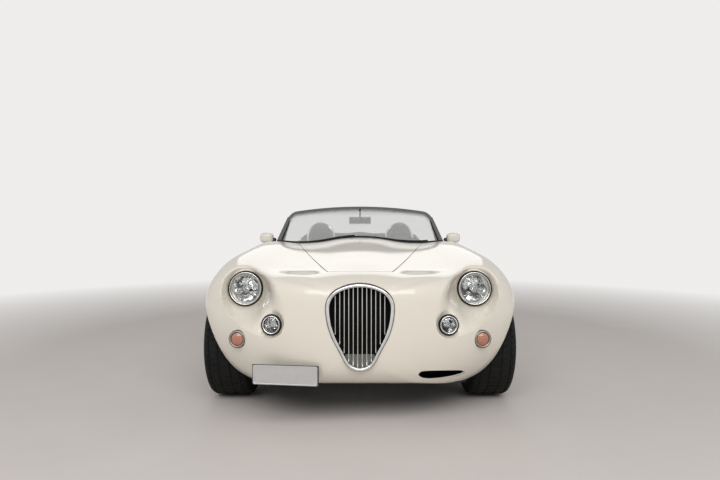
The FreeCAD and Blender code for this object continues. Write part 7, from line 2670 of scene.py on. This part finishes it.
@dataclass
class Wheels:
    """The four road wheels with tyres, brake discs and calipers, and the running gear.

    Attributes:
        tyre_radius: Radius over the tread.
        rim_radius: Radius of the bead seat.
        stations: Points round a tyre.
        spoke_start: Radius at which the spokes leave the hub.
        spoke_end: Radius at which they meet the rim.
    """

    tyre_radius: float = 0.320
    rim_radius: float = 0.228
    stations: int = 280
    front: tuple[float, float, float] = (0.733, -1.230, 0.235)
    rear: tuple[float, float, float] = (0.730, 1.132, 0.265)
    spoke_start: float = 0.048
    spoke_end: float = 0.2235

    def tyre(self, width: float) -> Skin:
        """A tyre whose own x runs outwards: its profile turned about the axle and cut by cross grooves.

        The profile runs bead, sidewall, shoulder, tread with four grooves, and back inside. A tread point
        sinks by the cross grooves' depth where a sine of its angle, shifted by its place across the
        tread, is above a limit; shoulders have wider ones.
        """
        half, r, seat = width / 2, self.tyre_radius, self.rim_radius
        side = [
            (half - 0.0145, seat + 0.0005), (half - 0.0135, seat + 0.012), (half - 0.006, seat + 0.020),
            (half - 0.001, seat + 0.034),
            (half, seat + 0.047), (half - 0.0015, seat + 0.058), (half - 0.0006, seat + 0.060),
            (half - 0.0030, seat + 0.063),
            (half - 0.0065, r - 0.018), (half - 0.012, r - 0.010), (half - 0.019, r - 0.0045),
            (half - 0.028, r - 0.0015),
        ]
        tread = []
        edges = [(0.078, 0.008), (0.030, 0.010)] if width < 0.25 else [(0.092, 0.009), (0.036, 0.010)]
        for at, gap in edges:
            tread += [(at + gap / 2 + 0.001, r - 0.0004), (at + gap / 2 - 0.001, r - 0.0052),
                      (at - gap / 2 + 0.001, r - 0.0052), (at - gap / 2 - 0.001, r - 0.0002)]
        outer = np.array(side + tread)
        low = np.array([(half - 0.022, seat + 0.0015), (half - 0.020, seat + 0.02),
                        (half - 0.012, seat + 0.045), (half - 0.020, r - 0.022), (0.0, r - 0.014)])
        right = densified(outer, 0.0068)
        profile = np.concatenate([right, right[::-1] * np.array([-1.0, 1.0]),
                                  low[:-1] * np.array([-1.0, 1.0]), low[::-1]])
        a = np.linspace(0, 2 * np.pi, self.stations, endpoint=False)
        x, radius = profile[:, 0], profile[:, 1]
        on_tread = radius > r - 0.003
        shoulder = np.abs(x) > edges[0][0] + 0.004
        phase = 56 * a[:, None] + np.where(shoulder, 0.0,
                                           np.sign(x) * 1.1)[None] + x[None] * np.where(shoulder, 20.0,
                                               55.0)[None]
        cut = np.clip((np.sin(phase) - np.where(shoulder, 0.55, 0.80)[None]) * 12, 0, 1)
        sink = cut * np.where(on_tread, np.where(shoulder, 0.0065, 0.0045), 0.0)[None]
        near = np.abs(x) > half - 0.016
        rib = 0.0007 * np.sin(126 * a)[:, None] * (near & (radius > r - 0.022) & (radius < r - 0.010))[None]
        size = radius[None] - sink
        points = np.stack([np.broadcast_to(x[None], size.shape) + rib * np.sign(x)[None],
                           np.cos(a)[:, None] * size, np.sin(a)[:, None] * size], axis=2)
        return facing_out(grid_skin(points, wrap_rows=True, wrap_columns=True))

    def rim(self, width: float) -> Skin:
        """The wheel's barrel: a dished profile with rolled lips at both edges."""
        bead, seat = width / 2 - 0.014, self.rim_radius
        inner = [
            (bead + 0.0068, seat + 0.0086), (bead + 0.0055, seat + 0.0092), (bead + 0.0025, seat + 0.0085),
            (bead + 0.0015, seat + 0.003), (bead + 0.0012, seat - 0.001),
            (bead - 0.020, seat - 0.0012), (0.028, seat - 0.0075), (-0.028, seat - 0.0075),
            (-bead + 0.020, seat - 0.0012), (-bead - 0.0012, seat - 0.001),
            (-bead - 0.0015, seat + 0.003), (-bead - 0.0025, seat + 0.0085), (-bead - 0.0055, seat + 0.0092),
            (-bead - 0.0068, seat + 0.0086),
        ]
        outer = [(-bead - 0.0068, seat - 0.004), (-bead + 0.012, seat - 0.0088),
                 (bead - 0.016, seat - 0.0088), (bead - 0.002, seat - 0.006), (bead + 0.005, seat - 0.001),
                 (bead + 0.0068, seat + 0.0086)]
        return turned(np.array(inner + outer), (0, 0, 0), (1, 0, 0), 120)

    def spokes(self, width: float) -> Skin:
        """Ten spokes in five pairs: a rounded bar from the hub, dished and widening towards the barrel.

        The spine's x falls from the rim to the hub as the square of the radius; its width and depth are
        straight-line tables of the radius.
        """
        face = width / 2 - 0.030
        s = np.linspace(self.spoke_start, self.spoke_end, 22)
        bars = []
        for pair in range(5):
            for side in (-1.0, 1.0):
                base = math.radians(72 * pair + side * 11.0)
                flare = np.radians(side * 5.5) * ((s - 0.048) / 0.175) ** 1.6
                angle = base + flare - math.radians(side * 1.5)
                way = np.column_stack([np.zeros(22), np.cos(angle), np.sin(angle)])
                across = np.column_stack([np.zeros(22), -np.sin(angle), np.cos(angle)])
                x = 0.072 + (face - 0.072) * ((s - 0.048) / 0.175) ** 2.2
                spine = way * s[:, None] + np.array([1.0, 0, 0]) * x[:, None]
                wide = np.interp(s, [self.spoke_start, 0.10, 0.19, self.spoke_end],
                                 [0.0115, 0.0100, 0.0105, 0.0165])
                deep = np.interp(s, [self.spoke_start, 0.12, self.spoke_end], [0.026, 0.022, 0.016])
                section = rounded_rectangle(2.0, 2.0, 0.55, CORNER_STEPS_FEW)
                points = spine[:, None] + across[:, None] * (section[None, :, 0, None] * wide[:, None, None])
                points = points + np.array([1.0, 0, 0]) * (section[None, :, 1, None] * deep[:, None,
                    None] * 0.5 - deep[:, None, None] * 0.5)
                bars.append(facing_out(grid_skin(capped(points), wrap_columns=True)))
        return Skin.joined(bars)

    def hub(self) -> tuple[Skin, Skin, Skin]:
        """The hub's dish, the bare centre cap and five wheel bolts."""
        dish = np.array([(0.016, 0.0), (0.016, 0.072), (0.050, 0.072), (0.064, 0.066), (0.071, 0.056),
                         (0.0725, 0.044), (0.0705, 0.034), (0.0705, 0.0)])
        cap = smooth_profile([(0.066, 0.0335), (0.0745, 0.0325), (0.0770, 0.028), (0.0762, 0.020),
                              (0.0775, 0.010), (0.0780, 0.0)], 4)
        cap = np.concatenate([[(0.066, 0.0)], cap])
        bolts = []
        for k in range(5):
            a = math.radians(72 * k + 36)
            centre = (0.0, 0.0520 * math.cos(a), 0.0520 * math.sin(a))
            bolts.append(turned(np.array([(0.064, 0.0), (0.064, 0.0085), (0.0735, 0.0080), (0.0745, 0.0070),
                                          (0.0745, 0.004), (0.072, 0.0035), (0.072, 0.0)]), centre, (1, 0, 0),
                                          6))
        return turned(dish, (0, 0, 0), (1, 0, 0), 72), turned(cap, (0, 0, 0), (1, 0, 0),
            TURN_PLAIN), Skin.joined(bolts)

    def disc(self) -> tuple[Skin, Array]:
        """A vented brake disc with its bell, and each vertex's distance from the axle."""
        profile = np.array(
            [(-0.012, 0.060), (-0.012, 0.1645), (-0.0035, 0.1648), (-0.0035, 0.158), (0.0035, 0.158),
             (0.0035, 0.1648), (0.0120, 0.1645), (0.0125, 0.100), (0.0155, 0.092), (0.0155, 0.060),
             (-0.012, 0.060)]
        )
        skin = turned(densified(profile, 0.012), (0, 0, 0), (1, 0, 0), TURN_FINEST)
        return skin, np.hypot(skin.points[:, 1], skin.points[:, 2])

    def caliper(self) -> Skin:
        """A four-piston caliper over the disc's edge: an arc-shaped block with rounded ends."""
        a = np.linspace(-0.40, 0.40, 24)
        rows = []
        section = [(-0.048, 0.128), (-0.048, 0.166), (-0.034, 0.182), (0.026, 0.182), (0.036, 0.168),
                   (0.036, 0.128), (0.0160, 0.128), (0.0160, 0.1685), (-0.0160, 0.1685), (-0.0160, 0.128)]
        section = np.array(section)
        size = np.clip((0.42 - np.abs(a)) / 0.07, 0.75, 1.0)
        for angle, s in zip(a, size):
            mid = section.mean(axis=0)
            ring = mid + (section - mid) * np.array([s, 1.0])
            ring[-4:] = section[-4:]
            rows.append(np.column_stack([ring[:, 0], ring[:, 1] * math.cos(angle),
                                         ring[:, 1] * math.sin(angle)]))
        points = np.array(rows)
        return facing_out(grid_skin(capped(points), wrap_columns=True))

    def build(self) -> None:
        """Builds the wheels, brakes and running gear."""
        for end, (x, y, width) in {"front": self.front, "rear": self.rear}.items():
            tyre, rim, spokes = self.tyre(width), self.rim(width), self.spokes(width)
            dish, cap, bolts = self.hub()
            disc, radius = self.disc()
            valve = rod((width / 2 - 0.052, 0.0, 0.214), (width / 2 - 0.022, 0.0, 0.206), 0.0032, 10)
            for side in SIDES:
                body = f"wheel_{end}_{side.word}"
                centre = np.array([x, y, self.tyre_radius])
                parts = {
                    "tyre": (tyre, TYRE, "tyre_rubber", (f"tyre_{end}_{side.word}",), None),
                    "rim": (rim, ALLOY, "wheel_alloy", (f"rim_{end}_{side.word}",), None),
                    "spokes": (spokes, ALLOY, "wheel_alloy", (), None),
                    "hub": (Skin.joined([dish, valve]), ALLOY, "wheel_alloy", (), None),
                    "cap": (cap, CHROME, "bright_chrome", (), None),
                    "bolts": (bolts, SATIN, "bright_chrome", (), None),
                    "disc": (disc, BLADE, "cast_alloy", (), {"radius": radius}),
                }
                for name, (skin, finish, slot, replaced, attributes) in parts.items():
                    placed = Skin(skin.points + centre, skin.faces, skin.normals)
                    placed = placed if side is Side.LEFT else placed.mirrored()
                    piece(f"{name}_{end}_{side.word}_piece", placed, finish, body=body, slot=slot,
                          replaces=replaced, attributes=attributes)
                caliper = moved(self.caliper(), turn_about((1, 0, 0), 0 if end == "front" else 180), centre)
                caliper = caliper if side is Side.LEFT else caliper.mirrored()
                carrier = f"knuckle_{side.word}" if end == "front" else "root"
                piece(f"caliper_{end}_{side.word}", caliper, CAST, body=carrier, slot="cast_alloy")
        for node in ("front_suspension", "rear_axle"):
            dress(node, CAST)
        for side in SIDES:
            dress(f"knuckle_{side.word}", CAST)
        dress("engine", ALLOY)


def densified(profile: Array, step: float) -> Array:
    """An open profile with points added on its long edges, so that no edge is longer than step."""
    out = []
    for a, b in zip(profile[:-1], profile[1:]):
        n = max(1, int(math.ceil(np.linalg.norm(b - a) / step)))
        out.append(a + (b - a) * np.linspace(0, 1, n, endpoint=False)[:, None])
    return np.concatenate([*out, profile[-1:]])


@dataclass
class Trim:
    """Small outside parts: plates, exhaust tips, vents, handles, filler flap, engine dressing.

    Attributes:
        rear_wall: Place of the flat wall that the rear plate stands on.
    """

    hull: Hull
    front_plate: tuple[float, float, float] = (-0.352, -1.912, 0.285)
    front_size: tuple[float, float] = (0.310, 0.091)
    rear_plate: tuple[float, float, float] = (0.0, 1.903, 0.450)
    rear_size: tuple[float, float] = (0.500, 0.112)
    tips: tuple[float, ...] = (-0.322, -0.228, 0.228, 0.322)
    rear_wall: float = 1.8965

    def build(self) -> None:
        """Builds every small part."""
        self.build_plates()
        self.build_exhaust()
        self.build_handles()
        self.build_vents()
        self.build_flap()
        self.build_engine()

    def plate(self, size: tuple[float, float]) -> tuple[Skin, Skin]:
        """A blank pressed plate facing -Y about the origin, with a raised rim, and its four screws."""
        w, h = size
        rings = []
        for inset, depth in ((0.0, 0.0055), (0.0, 0.0010), (0.001, 0.0), (0.0045, 0.0), (0.0060, 0.0014),
                             (0.0075, 0.0014)):
            outline = rounded_rectangle(w - 2 * inset, h - 2 * inset, 0.009 - inset * 0.5, CORNER_STEPS)
            rings.append(np.column_stack([outline[:, 0], np.full(len(outline), depth), outline[:, 1]]))
        rings = np.array(rings)
        skin = facing_out(grid_skin(capped(rings), wrap_columns=True))
        screw = np.array([(-0.002, 0.0), (-0.002, 0.0036), (0.0, 0.0036), (0.0012, 0.0026), (0.0014, 0.0)])
        screws = [turned(screw, (x, 0.0014, z), (0, -1, 0), TURN_LEAST) for x in (-w * 0.36,
            w * 0.36) for z in (-h * 0.3, h * 0.3)]
        return skin, Skin.joined(screws)

    def build_plates(self) -> None:
        """The blank front plate, turned with the nose, and the rear one with its lamp in the recess."""
        turn = turn_about((0, 0, 1), -7.0)
        front, screws = self.plate(self.front_size)
        piece("front_plate", moved(front, turn, self.front_plate), PLATE, slot="plate_silver",
              replaces=("plates",))
        piece("front_plate_screws", moved(screws, turn, self.front_plate), SATIN, slot="bright_chrome")
        holder = block((-0.160, 0.0056, -0.048), (0.160, 0.0105, 0.048), EDGE_SOFT)
        arms = [block((x - 0.014, 0.008, -0.012), (x + 0.014, 0.150, 0.012), EDGE_SOFT) for x in (-0.07,
            0.09)]
        piece("front_plate_holder", moved(Skin.joined([holder, *arms]), turn, self.front_plate), BLACK,
              slot="black_plastic")
        half = turn_about((0, 0, 1), 180.0)
        rear, screws = self.plate(self.rear_size)
        piece("rear_plate", moved(rear, half, self.rear_plate), PLATE, slot="plate_silver")
        piece("rear_plate_screws", moved(screws, half, self.rear_plate), SATIN, slot="bright_chrome")
        self.build_recess()

    def build_recess(self) -> None:
        """The rear plate's recess: walls from the skin in to a flat back, and a lamp bar over the plate."""
        outline = resampled(rounded_rectangle(0.524, 0.136, 0.006, CORNER_STEPS_FEW) + np.array([0.0, 0.450]),
                            240)
        edge = self.hull.end(np.abs(outline[:, 0]), outline[:, 1], nose=False) - 0.001
        share = np.linspace(0, 1, 8)[:, None]
        y = edge[None] * (1 - share) + self.rear_wall * share
        y = np.where(edge[None] > self.rear_wall, y, edge[None] - 0.002 * share)
        rows = np.stack(np.broadcast_arrays(outline[None, :, 0], y, outline[None, :, 1]), axis=2)
        centre = np.array([0.0, self.rear_wall, 0.450])
        shrink = np.linspace(1, 0, 8)[:, None, None]
        floor = rows[-1:] * shrink + centre * (1 - shrink)
        skin = grid_skin(np.concatenate([rows, floor[1:]]), wrap_columns=True)
        if skin.normals[:, 1].sum() < 0:
            skin = skin.flipped()
        piece("rear_plate_recess", skin.shell(THIN_WALL), IVORY, slot="body_paint")
        bar = block((-0.075, 1.8975, 0.508), (0.075, 1.918, 0.5185), EDGE_ROUND)
        piece("rear_plate_lamp", bar, CHROME, slot="bright_chrome")

    def build_exhaust(self) -> None:
        """The silencer and pipes with rolled bright tips."""
        dress("exhaust", PIPE)
        profile = smooth_profile([(-0.10, 0.0385), (-0.02, 0.0390), (0.0, 0.0405), (0.004, 0.0395),
                                  (0.002, 0.0365), (-0.02, 0.0350), (-0.10, 0.0345)], CURVE_STEPS_FEW)
        profile = np.concatenate([profile, profile[:1]])
        tips = [turned(profile, (x, 1.883, 0.275), (0, 1, 0), TURN_PLAIN) for x in self.tips]
        piece("exhaust_tips", Skin.joined(tips), CHROME, slot="bright_chrome")
        # Dark discs a little inside the tips close the pipes: soot black, and painted shade for the pipes'
        # dark insides.
        soot_and_shade = [turned(np.array([(-0.120, 0.0), (-0.120, 0.0338), (-0.118, 0.0338), (-0.118, 0.0)]),
                       (x, 1.883, 0.275), (0, 1, 0), 32) for x in self.tips]
        piece("exhaust_soot", Skin.joined(soot_and_shade), UNDERSEAL, slot="exhaust_steel")

    def build_handles(self) -> None:
        """Chromed pull handles on the doors, each a bowed bar on two feet, with a lock."""
        y = np.linspace(0.325, 0.465, 24)
        z = np.full(24, 0.690)
        skin_x = self.hull.side(y, z)
        share = (y - 0.395) / 0.07
        lift = 0.006 + 0.020 * (1 - share**2)
        path = np.column_stack([skin_x + lift - 0.004, y, z])
        bar = sweep(path, circle(0.0068, CIRCLE_STEPS, 0.75),
                    scale=np.interp(np.abs(share), [0, 0.8, 1], [1.0, 0.95, 0.7]))
        feet = [turned(np.array([(-0.002, 0.0), (-0.002, 0.0115), (0.002, 0.011), (0.005, 0.007),
                                 (0.007, 0.0)]), (float(np.interp(v, y, skin_x)), v, 0.690), (1, 0, 0.12),
                                 TURN_SMALL) for v in (0.330, 0.460)]
        lock = turned(np.array([(-0.002, 0.0), (-0.002, 0.008), (0.001, 0.008), (0.002, 0.006),
                                (0.002, 0.0)]),
                                (float(np.interp(0.46, y, self.hull.side(y, np.full(24, 0.655)))), 0.452,
                                 0.655), (1, 0, 0.1), TURN_SMALL)
        handle = Skin.joined([bar, *feet, lock])
        for side in SIDES:
            made = handle if side is Side.LEFT else handle.mirrored()
            piece(f"door_handle_{side.word}", made, CHROME, body=f"door_{side.word}", slot="bright_chrome")

    def build_vents(self) -> None:
        """Side vents behind the front wheels: a recess lined with near-black mesh as painted shade, a bright
        rim and three slats along the skin.
        """
        outline = VENT
        y, z = outline[:, 0], outline[:, 1]
        x = self.hull.side(y, z)
        rim = sweep(np.column_stack([x - 0.001, y, z]), circle(0.0042, 10, 0.8), up=np.array([1.0, 0.0, 0.0]),
                    closed=True)
        shrink = np.linspace(1.0, 0.0, 6)[:, None]
        cy, cz = y.mean(), z.mean()
        gy, gz = cy + (y[None] - cy) * shrink, cz + (z[None] - cz) * shrink
        back = np.stack([self.hull.side(gy, gz) - 0.034, gy, gz], axis=2)
        wall = np.stack([x - 0.003, y, z], axis=1)[None]
        well = grid_skin(np.concatenate([wall, back]), wrap_columns=True)
        if well.normals[:, 0].sum() < 0:
            well = well.flipped()
        slats = []
        for level in (0.520, 0.548, 0.576):
            inside = np.linspace(y.min(), y.max(), 400)
            ok = outline_level(np.column_stack([inside, np.full(400, level)]), outline) > 0.001
            span = np.linspace(inside[ok][0], inside[ok][-1], 26)
            path = np.column_stack([self.hull.side(span, np.full(26, level)) - 0.006, span,
                                    np.full(26, level)])
            slats.append(sweep(path, rounded_rectangle(0.012, 0.0045, 0.002, CORNER_STEPS_FEW)))
        for name, skin, finish, slot in (
            ("side_vent_rims", rim, CHROME, "bright_chrome"),
            ("side_vent_wells", well.shell(THIN_WALL), GRILLE_MESH, "black_plastic"),
            ("side_vent_slats", Skin.joined(slats), CHROME, "bright_chrome"),
        ):
            piece(name, Skin.joined([skin, skin.mirrored()]), finish, slot=slot)

    def build_flap(self) -> None:
        """A round filler flap on the right rear wing, a shallow cap that follows the skin."""
        r = np.array([0.0, 0.02, 0.04, 0.055, 0.0615, 0.0640, 0.0655])
        lift = np.array([0.0042, 0.0040, 0.0036, 0.0032, 0.0024, 0.0008, -0.004])
        a = np.linspace(0, 2 * np.pi, 64, endpoint=False)
        y = 0.905 + r[:, None] * np.cos(a)
        z = 0.675 + r[:, None] * np.sin(a)
        x = self.hull.side(y, z) + lift[:, None]
        points = np.stack([-x, y, z], axis=2)
        skin = grid_skin(points, wrap_columns=True)
        if skin.normals[:, 0].sum() > 0:
            skin = skin.flipped()
        piece("filler_flap", skin.shell(0.002), SATIN, slot="bright_chrome")
        ring_y, ring_z = 0.905 + 0.0685 * np.cos(a), 0.675 + 0.0685 * np.sin(a)
        path = np.column_stack([-(self.hull.side(ring_y, ring_z) + 0.001), ring_y, ring_z])
        piece("filler_ring", sweep(path, circle(0.0028, CIRCLE_STEPS_FEW), up=np.array([1.0, 0, 0]),
                                   closed=True), CHROME, slot="bright_chrome")

    def build_engine(self) -> None:
        """Cam covers, inlet plenum, belt pulleys and hoses over the engine block."""
        covers = [prism_skin(rounded_profile([(-1.42, 0.612, 0.01), (-1.42, 0.652, 0.02),
                                              (-0.84, 0.652, 0.02), (-0.84, 0.612, 0.01)]), x - 0.045,
                                              x + 0.045, 0.015) for x in (-0.075, 0.075)]
        piece("cam_covers", Skin.joined(covers), SATIN, slot="engine_alloy")
        runners = []
        for k in range(6):
            y = -1.38 + k * 0.096
            runners.append(sweep(smooth_profile([(0.12, y, 0.585), (0.20, y, 0.628), (0.27, y, 0.590),
                                                 (0.29, y, 0.53)], CURVE_STEPS_FEW),
                                                 circle(0.021, CIRCLE_STEPS), up=np.array([0.0, 1.0, 0.0])))
        plenum = rod((0.290, -1.44, 0.545), (0.290, -0.85, 0.545), 0.052, 36)
        piece("inlet_runners", Skin.joined([*runners, plenum]), CAST, slot="engine_alloy")
        pulleys = [turned(np.array([(0.0, 0.0), (0.0, r), (0.006, r), (0.012, r - 0.006), (0.018, r),
                                    (0.024, r), (0.024, 0.0)]), (x, -1.512, z), (0, -1, 0),
                                    TURN_COARSE) for x, z,
                                    r in ((0.0, 0.32, 0.075), (0.13, 0.47, 0.045), (-0.12, 0.50, 0.050))]
        piece("pulleys", Skin.joined(pulleys), SATIN, slot="engine_alloy")
        hose = sweep(smooth_profile([(-0.10, -1.50, 0.59), (-0.16, -1.545, 0.60), (-0.22, -1.565, 0.58),
                                     (-0.24, -1.57, 0.52)], CURVE_STEPS), circle(0.020, CIRCLE_STEPS), up=UP)
        radiator = block((-0.30, -1.590, 0.300), (0.30, -1.560, 0.600), 0.006)
        # The radiator takes the near-black mesh, painted shade behind the grille.
        piece("radiator", Skin.joined([radiator]), GRILLE_MESH, slot="black_plastic")
        piece("coolant_hose", hose, SEAL, slot="black_plastic")


VENT = resampled(smooth_profile([(-0.735, 0.500), (-0.600, 0.506), (-0.578, 0.530), (-0.600, 0.590),
                                 (-0.640, 0.604), (-0.770, 0.596), (-0.782, 0.560), (-0.735, 0.500)], 8)[:-1],
                                 OUTLINE_STEPS)


@dataclass
class Studio:
    """Floor, backdrop, soft light and the camera.

    Attributes:
        eye: The camera's place.
        lens: Focal length in millimetres on a 36 mm sensor.
        pitch: How far the camera looks down, in degrees.
        sensor: Width of the camera's sensor in millimetres.
    """

    eye: tuple[float, float, float] = (0.0, -4.32, 0.962)
    lens: float = 25.85
    pitch: float = 1.0
    pale: Colour = (0.86, 0.85, 0.835)
    floor: Colour = (0.74, 0.70, 0.68)
    fade: tuple[float, float] = (2.6, 6.5)
    reach: float = 60.0
    ambient: float = 0.25
    mirrored: float = 0.72
    sensor: float = 36.0

    def build(self) -> None:
        """Builds the whole studio."""
        self.build_floor()
        self.build_light()
        self.build_camera()

    def build_floor(self) -> None:
        """A wide level floor whose far part shows as plain pale in every direction."""
        side = np.concatenate([-np.geomspace(self.reach, 1.0, 14), [0.0], np.geomspace(1.0, self.reach, 14)])
        x, y = np.meshgrid(side, side)
        skin = grid_skin(np.stack([x, y, np.zeros_like(x)], axis=2))
        if skin.normals[:, 2].sum() < 0:
            skin = skin.flipped()
        mesh = bpy.data.meshes.new("floor")
        mesh.from_pydata(skin.points.tolist(), [], skin.faces.tolist())
        mesh.shade_smooth()
        mesh.materials.append(self.floor_material())
        obj = bpy.data.objects.new("floor", mesh)
        bpy.context.scene.collection.objects.link(obj)

    def floor_material(self) -> bpy.types.Material:
        """Matt paint with faint scuffs; the camera, mirrors and glass see the far part as plain pale."""
        graph = Graph("studio_floor")
        scuff = graph.noise(3.0, 5.0, 0.6)
        tone = graph.blend(scuff.between(0.3, 0.7) * 0.25, self.floor, (0.66, 0.63, 0.61))
        paint = graph.surface(Base_Color=tone, Roughness=0.55 + scuff * 0.1, Specular_IOR_Level=0.3)
        light = graph.value("ShaderNodeEmission", 0, {}, {"Color": self.pale, "Strength": 1.0})
        camera = graph.value("ShaderNodeLightPath", "Is Camera Ray")
        glossy = graph.value("ShaderNodeLightPath", "Is Glossy Ray")
        through = graph.value("ShaderNodeLightPath", "Is Transmission Ray")
        seen = (camera + glossy + through).between(0.0, 1.0)
        across, along = graph.axis("X"), graph.axis("Y")
        away = (across * across + along * along) ** 0.5
        share = away.between(*self.fade) * seen
        return graph.finish(graph.value("ShaderNodeMixShader", 0, {}, {0: share, 1: paint, 2: light}))

    def build_light(self) -> None:
        """A large soft light overhead, weaker ones ahead and at the sides, and a pale world."""
        lamps = (
            ("overhead", (0.0, -0.3, 4.6), (0.0, 0.0, 0.0), (7.0, 6.0), 8.0),
            ("ahead", (0.0, -6.3, 4.4), (0.0, 0.0, 0.6), (8.0, 3.0), 296.0),
            ("left", (6.0, -2.0, 2.6), (0.0, 0.0, 0.5), (4.0, 3.0), 36.0),
            ("right", (-6.0, -2.0, 2.6), (0.0, 0.0, 0.5), (4.0, 3.0), 36.0),
            ("behind", (0.0, 5.5, 3.6), (0.0, 0.5, 0.5), (6.0, 2.5), 45.0),
        )
        for name, place, target, size, power in lamps:
            light = bpy.data.lights.new(name, "AREA")
            light.shape = "RECTANGLE"
            light.size, light.size_y = size
            light.energy = power
            light.color = (1.0, 0.985, 0.965)
            obj = bpy.data.objects.new(name, light)
            obj.location = place
            obj.visible_glossy = name != "overhead"
            obj.rotation_euler = (Vector(target) - Vector(place)).to_track_quat("-Z", "Y").to_euler()
            bpy.context.scene.collection.objects.link(obj)
        world = bpy.data.worlds.new("studio")
        bpy.context.scene.world = world
        world.use_nodes = True
        tree = world.node_tree
        tree.nodes.clear()
        path = tree.nodes.new("ShaderNodeLightPath")
        seen = self.backing(tree, self.ambient)
        for ray, strength in (("Is Glossy Ray", self.mirrored), ("Is Transmission Ray", 1.0),
                              ("Is Camera Ray", 1.0)):
            mix = tree.nodes.new("ShaderNodeMixShader")
            tree.links.new(path.outputs[ray], mix.inputs[0])
            tree.links.new(seen, mix.inputs[1])
            tree.links.new(self.backing(tree, strength), mix.inputs[2])
            seen = mix.outputs[0]
        out = tree.nodes.new("ShaderNodeOutputWorld")
        tree.links.new(seen, out.inputs["Surface"])

    def backing(self, tree: bpy.types.NodeTree, strength: float) -> bpy.types.NodeSocket:
        """The plain pale backdrop at one strength."""
        back = tree.nodes.new("ShaderNodeBackground")
        back.inputs["Color"].default_value = (*self.pale, 1.0)
        back.inputs["Strength"].default_value = strength
        return back.outputs[0]

    def build_camera(self) -> None:
        """The camera on the car's middle line, looking back along it."""
        data = bpy.data.cameras.new("camera")
        data.lens = self.lens
        data.sensor_width = self.sensor
        obj = bpy.data.objects.new("camera", data)
        obj.location = self.eye
        obj.rotation_euler = (math.radians(90.0 - self.pitch), 0.0, 0.0)
        bpy.context.scene.collection.objects.link(obj)
        bpy.context.scene.camera = obj
        bpy.context.scene.view_settings.view_transform = "Standard"


def main() -> None:
    """Builds the sub-assemblies in order."""
    logging.basicConfig(level=logging.INFO, format="%(name)s: %(message)s")
    hull = Hull()
    body = Body(hull)
    body.build_shell()
    body.panel_piece("bonnet", body.bonnet)
    body.panel_piece("boot_lid", body.lid)
    body.build_ledges()
    body.build_doors()
    body.build_liners()
    Grille().build()
    Lamps(hull).build()
    Windscreen(hull).build()
    Cabin(hull).build()
    Seats().build()
    Wheels().build()
    Trim(hull).build()
    Studio().build()


if __name__ == "__main__":
    main()
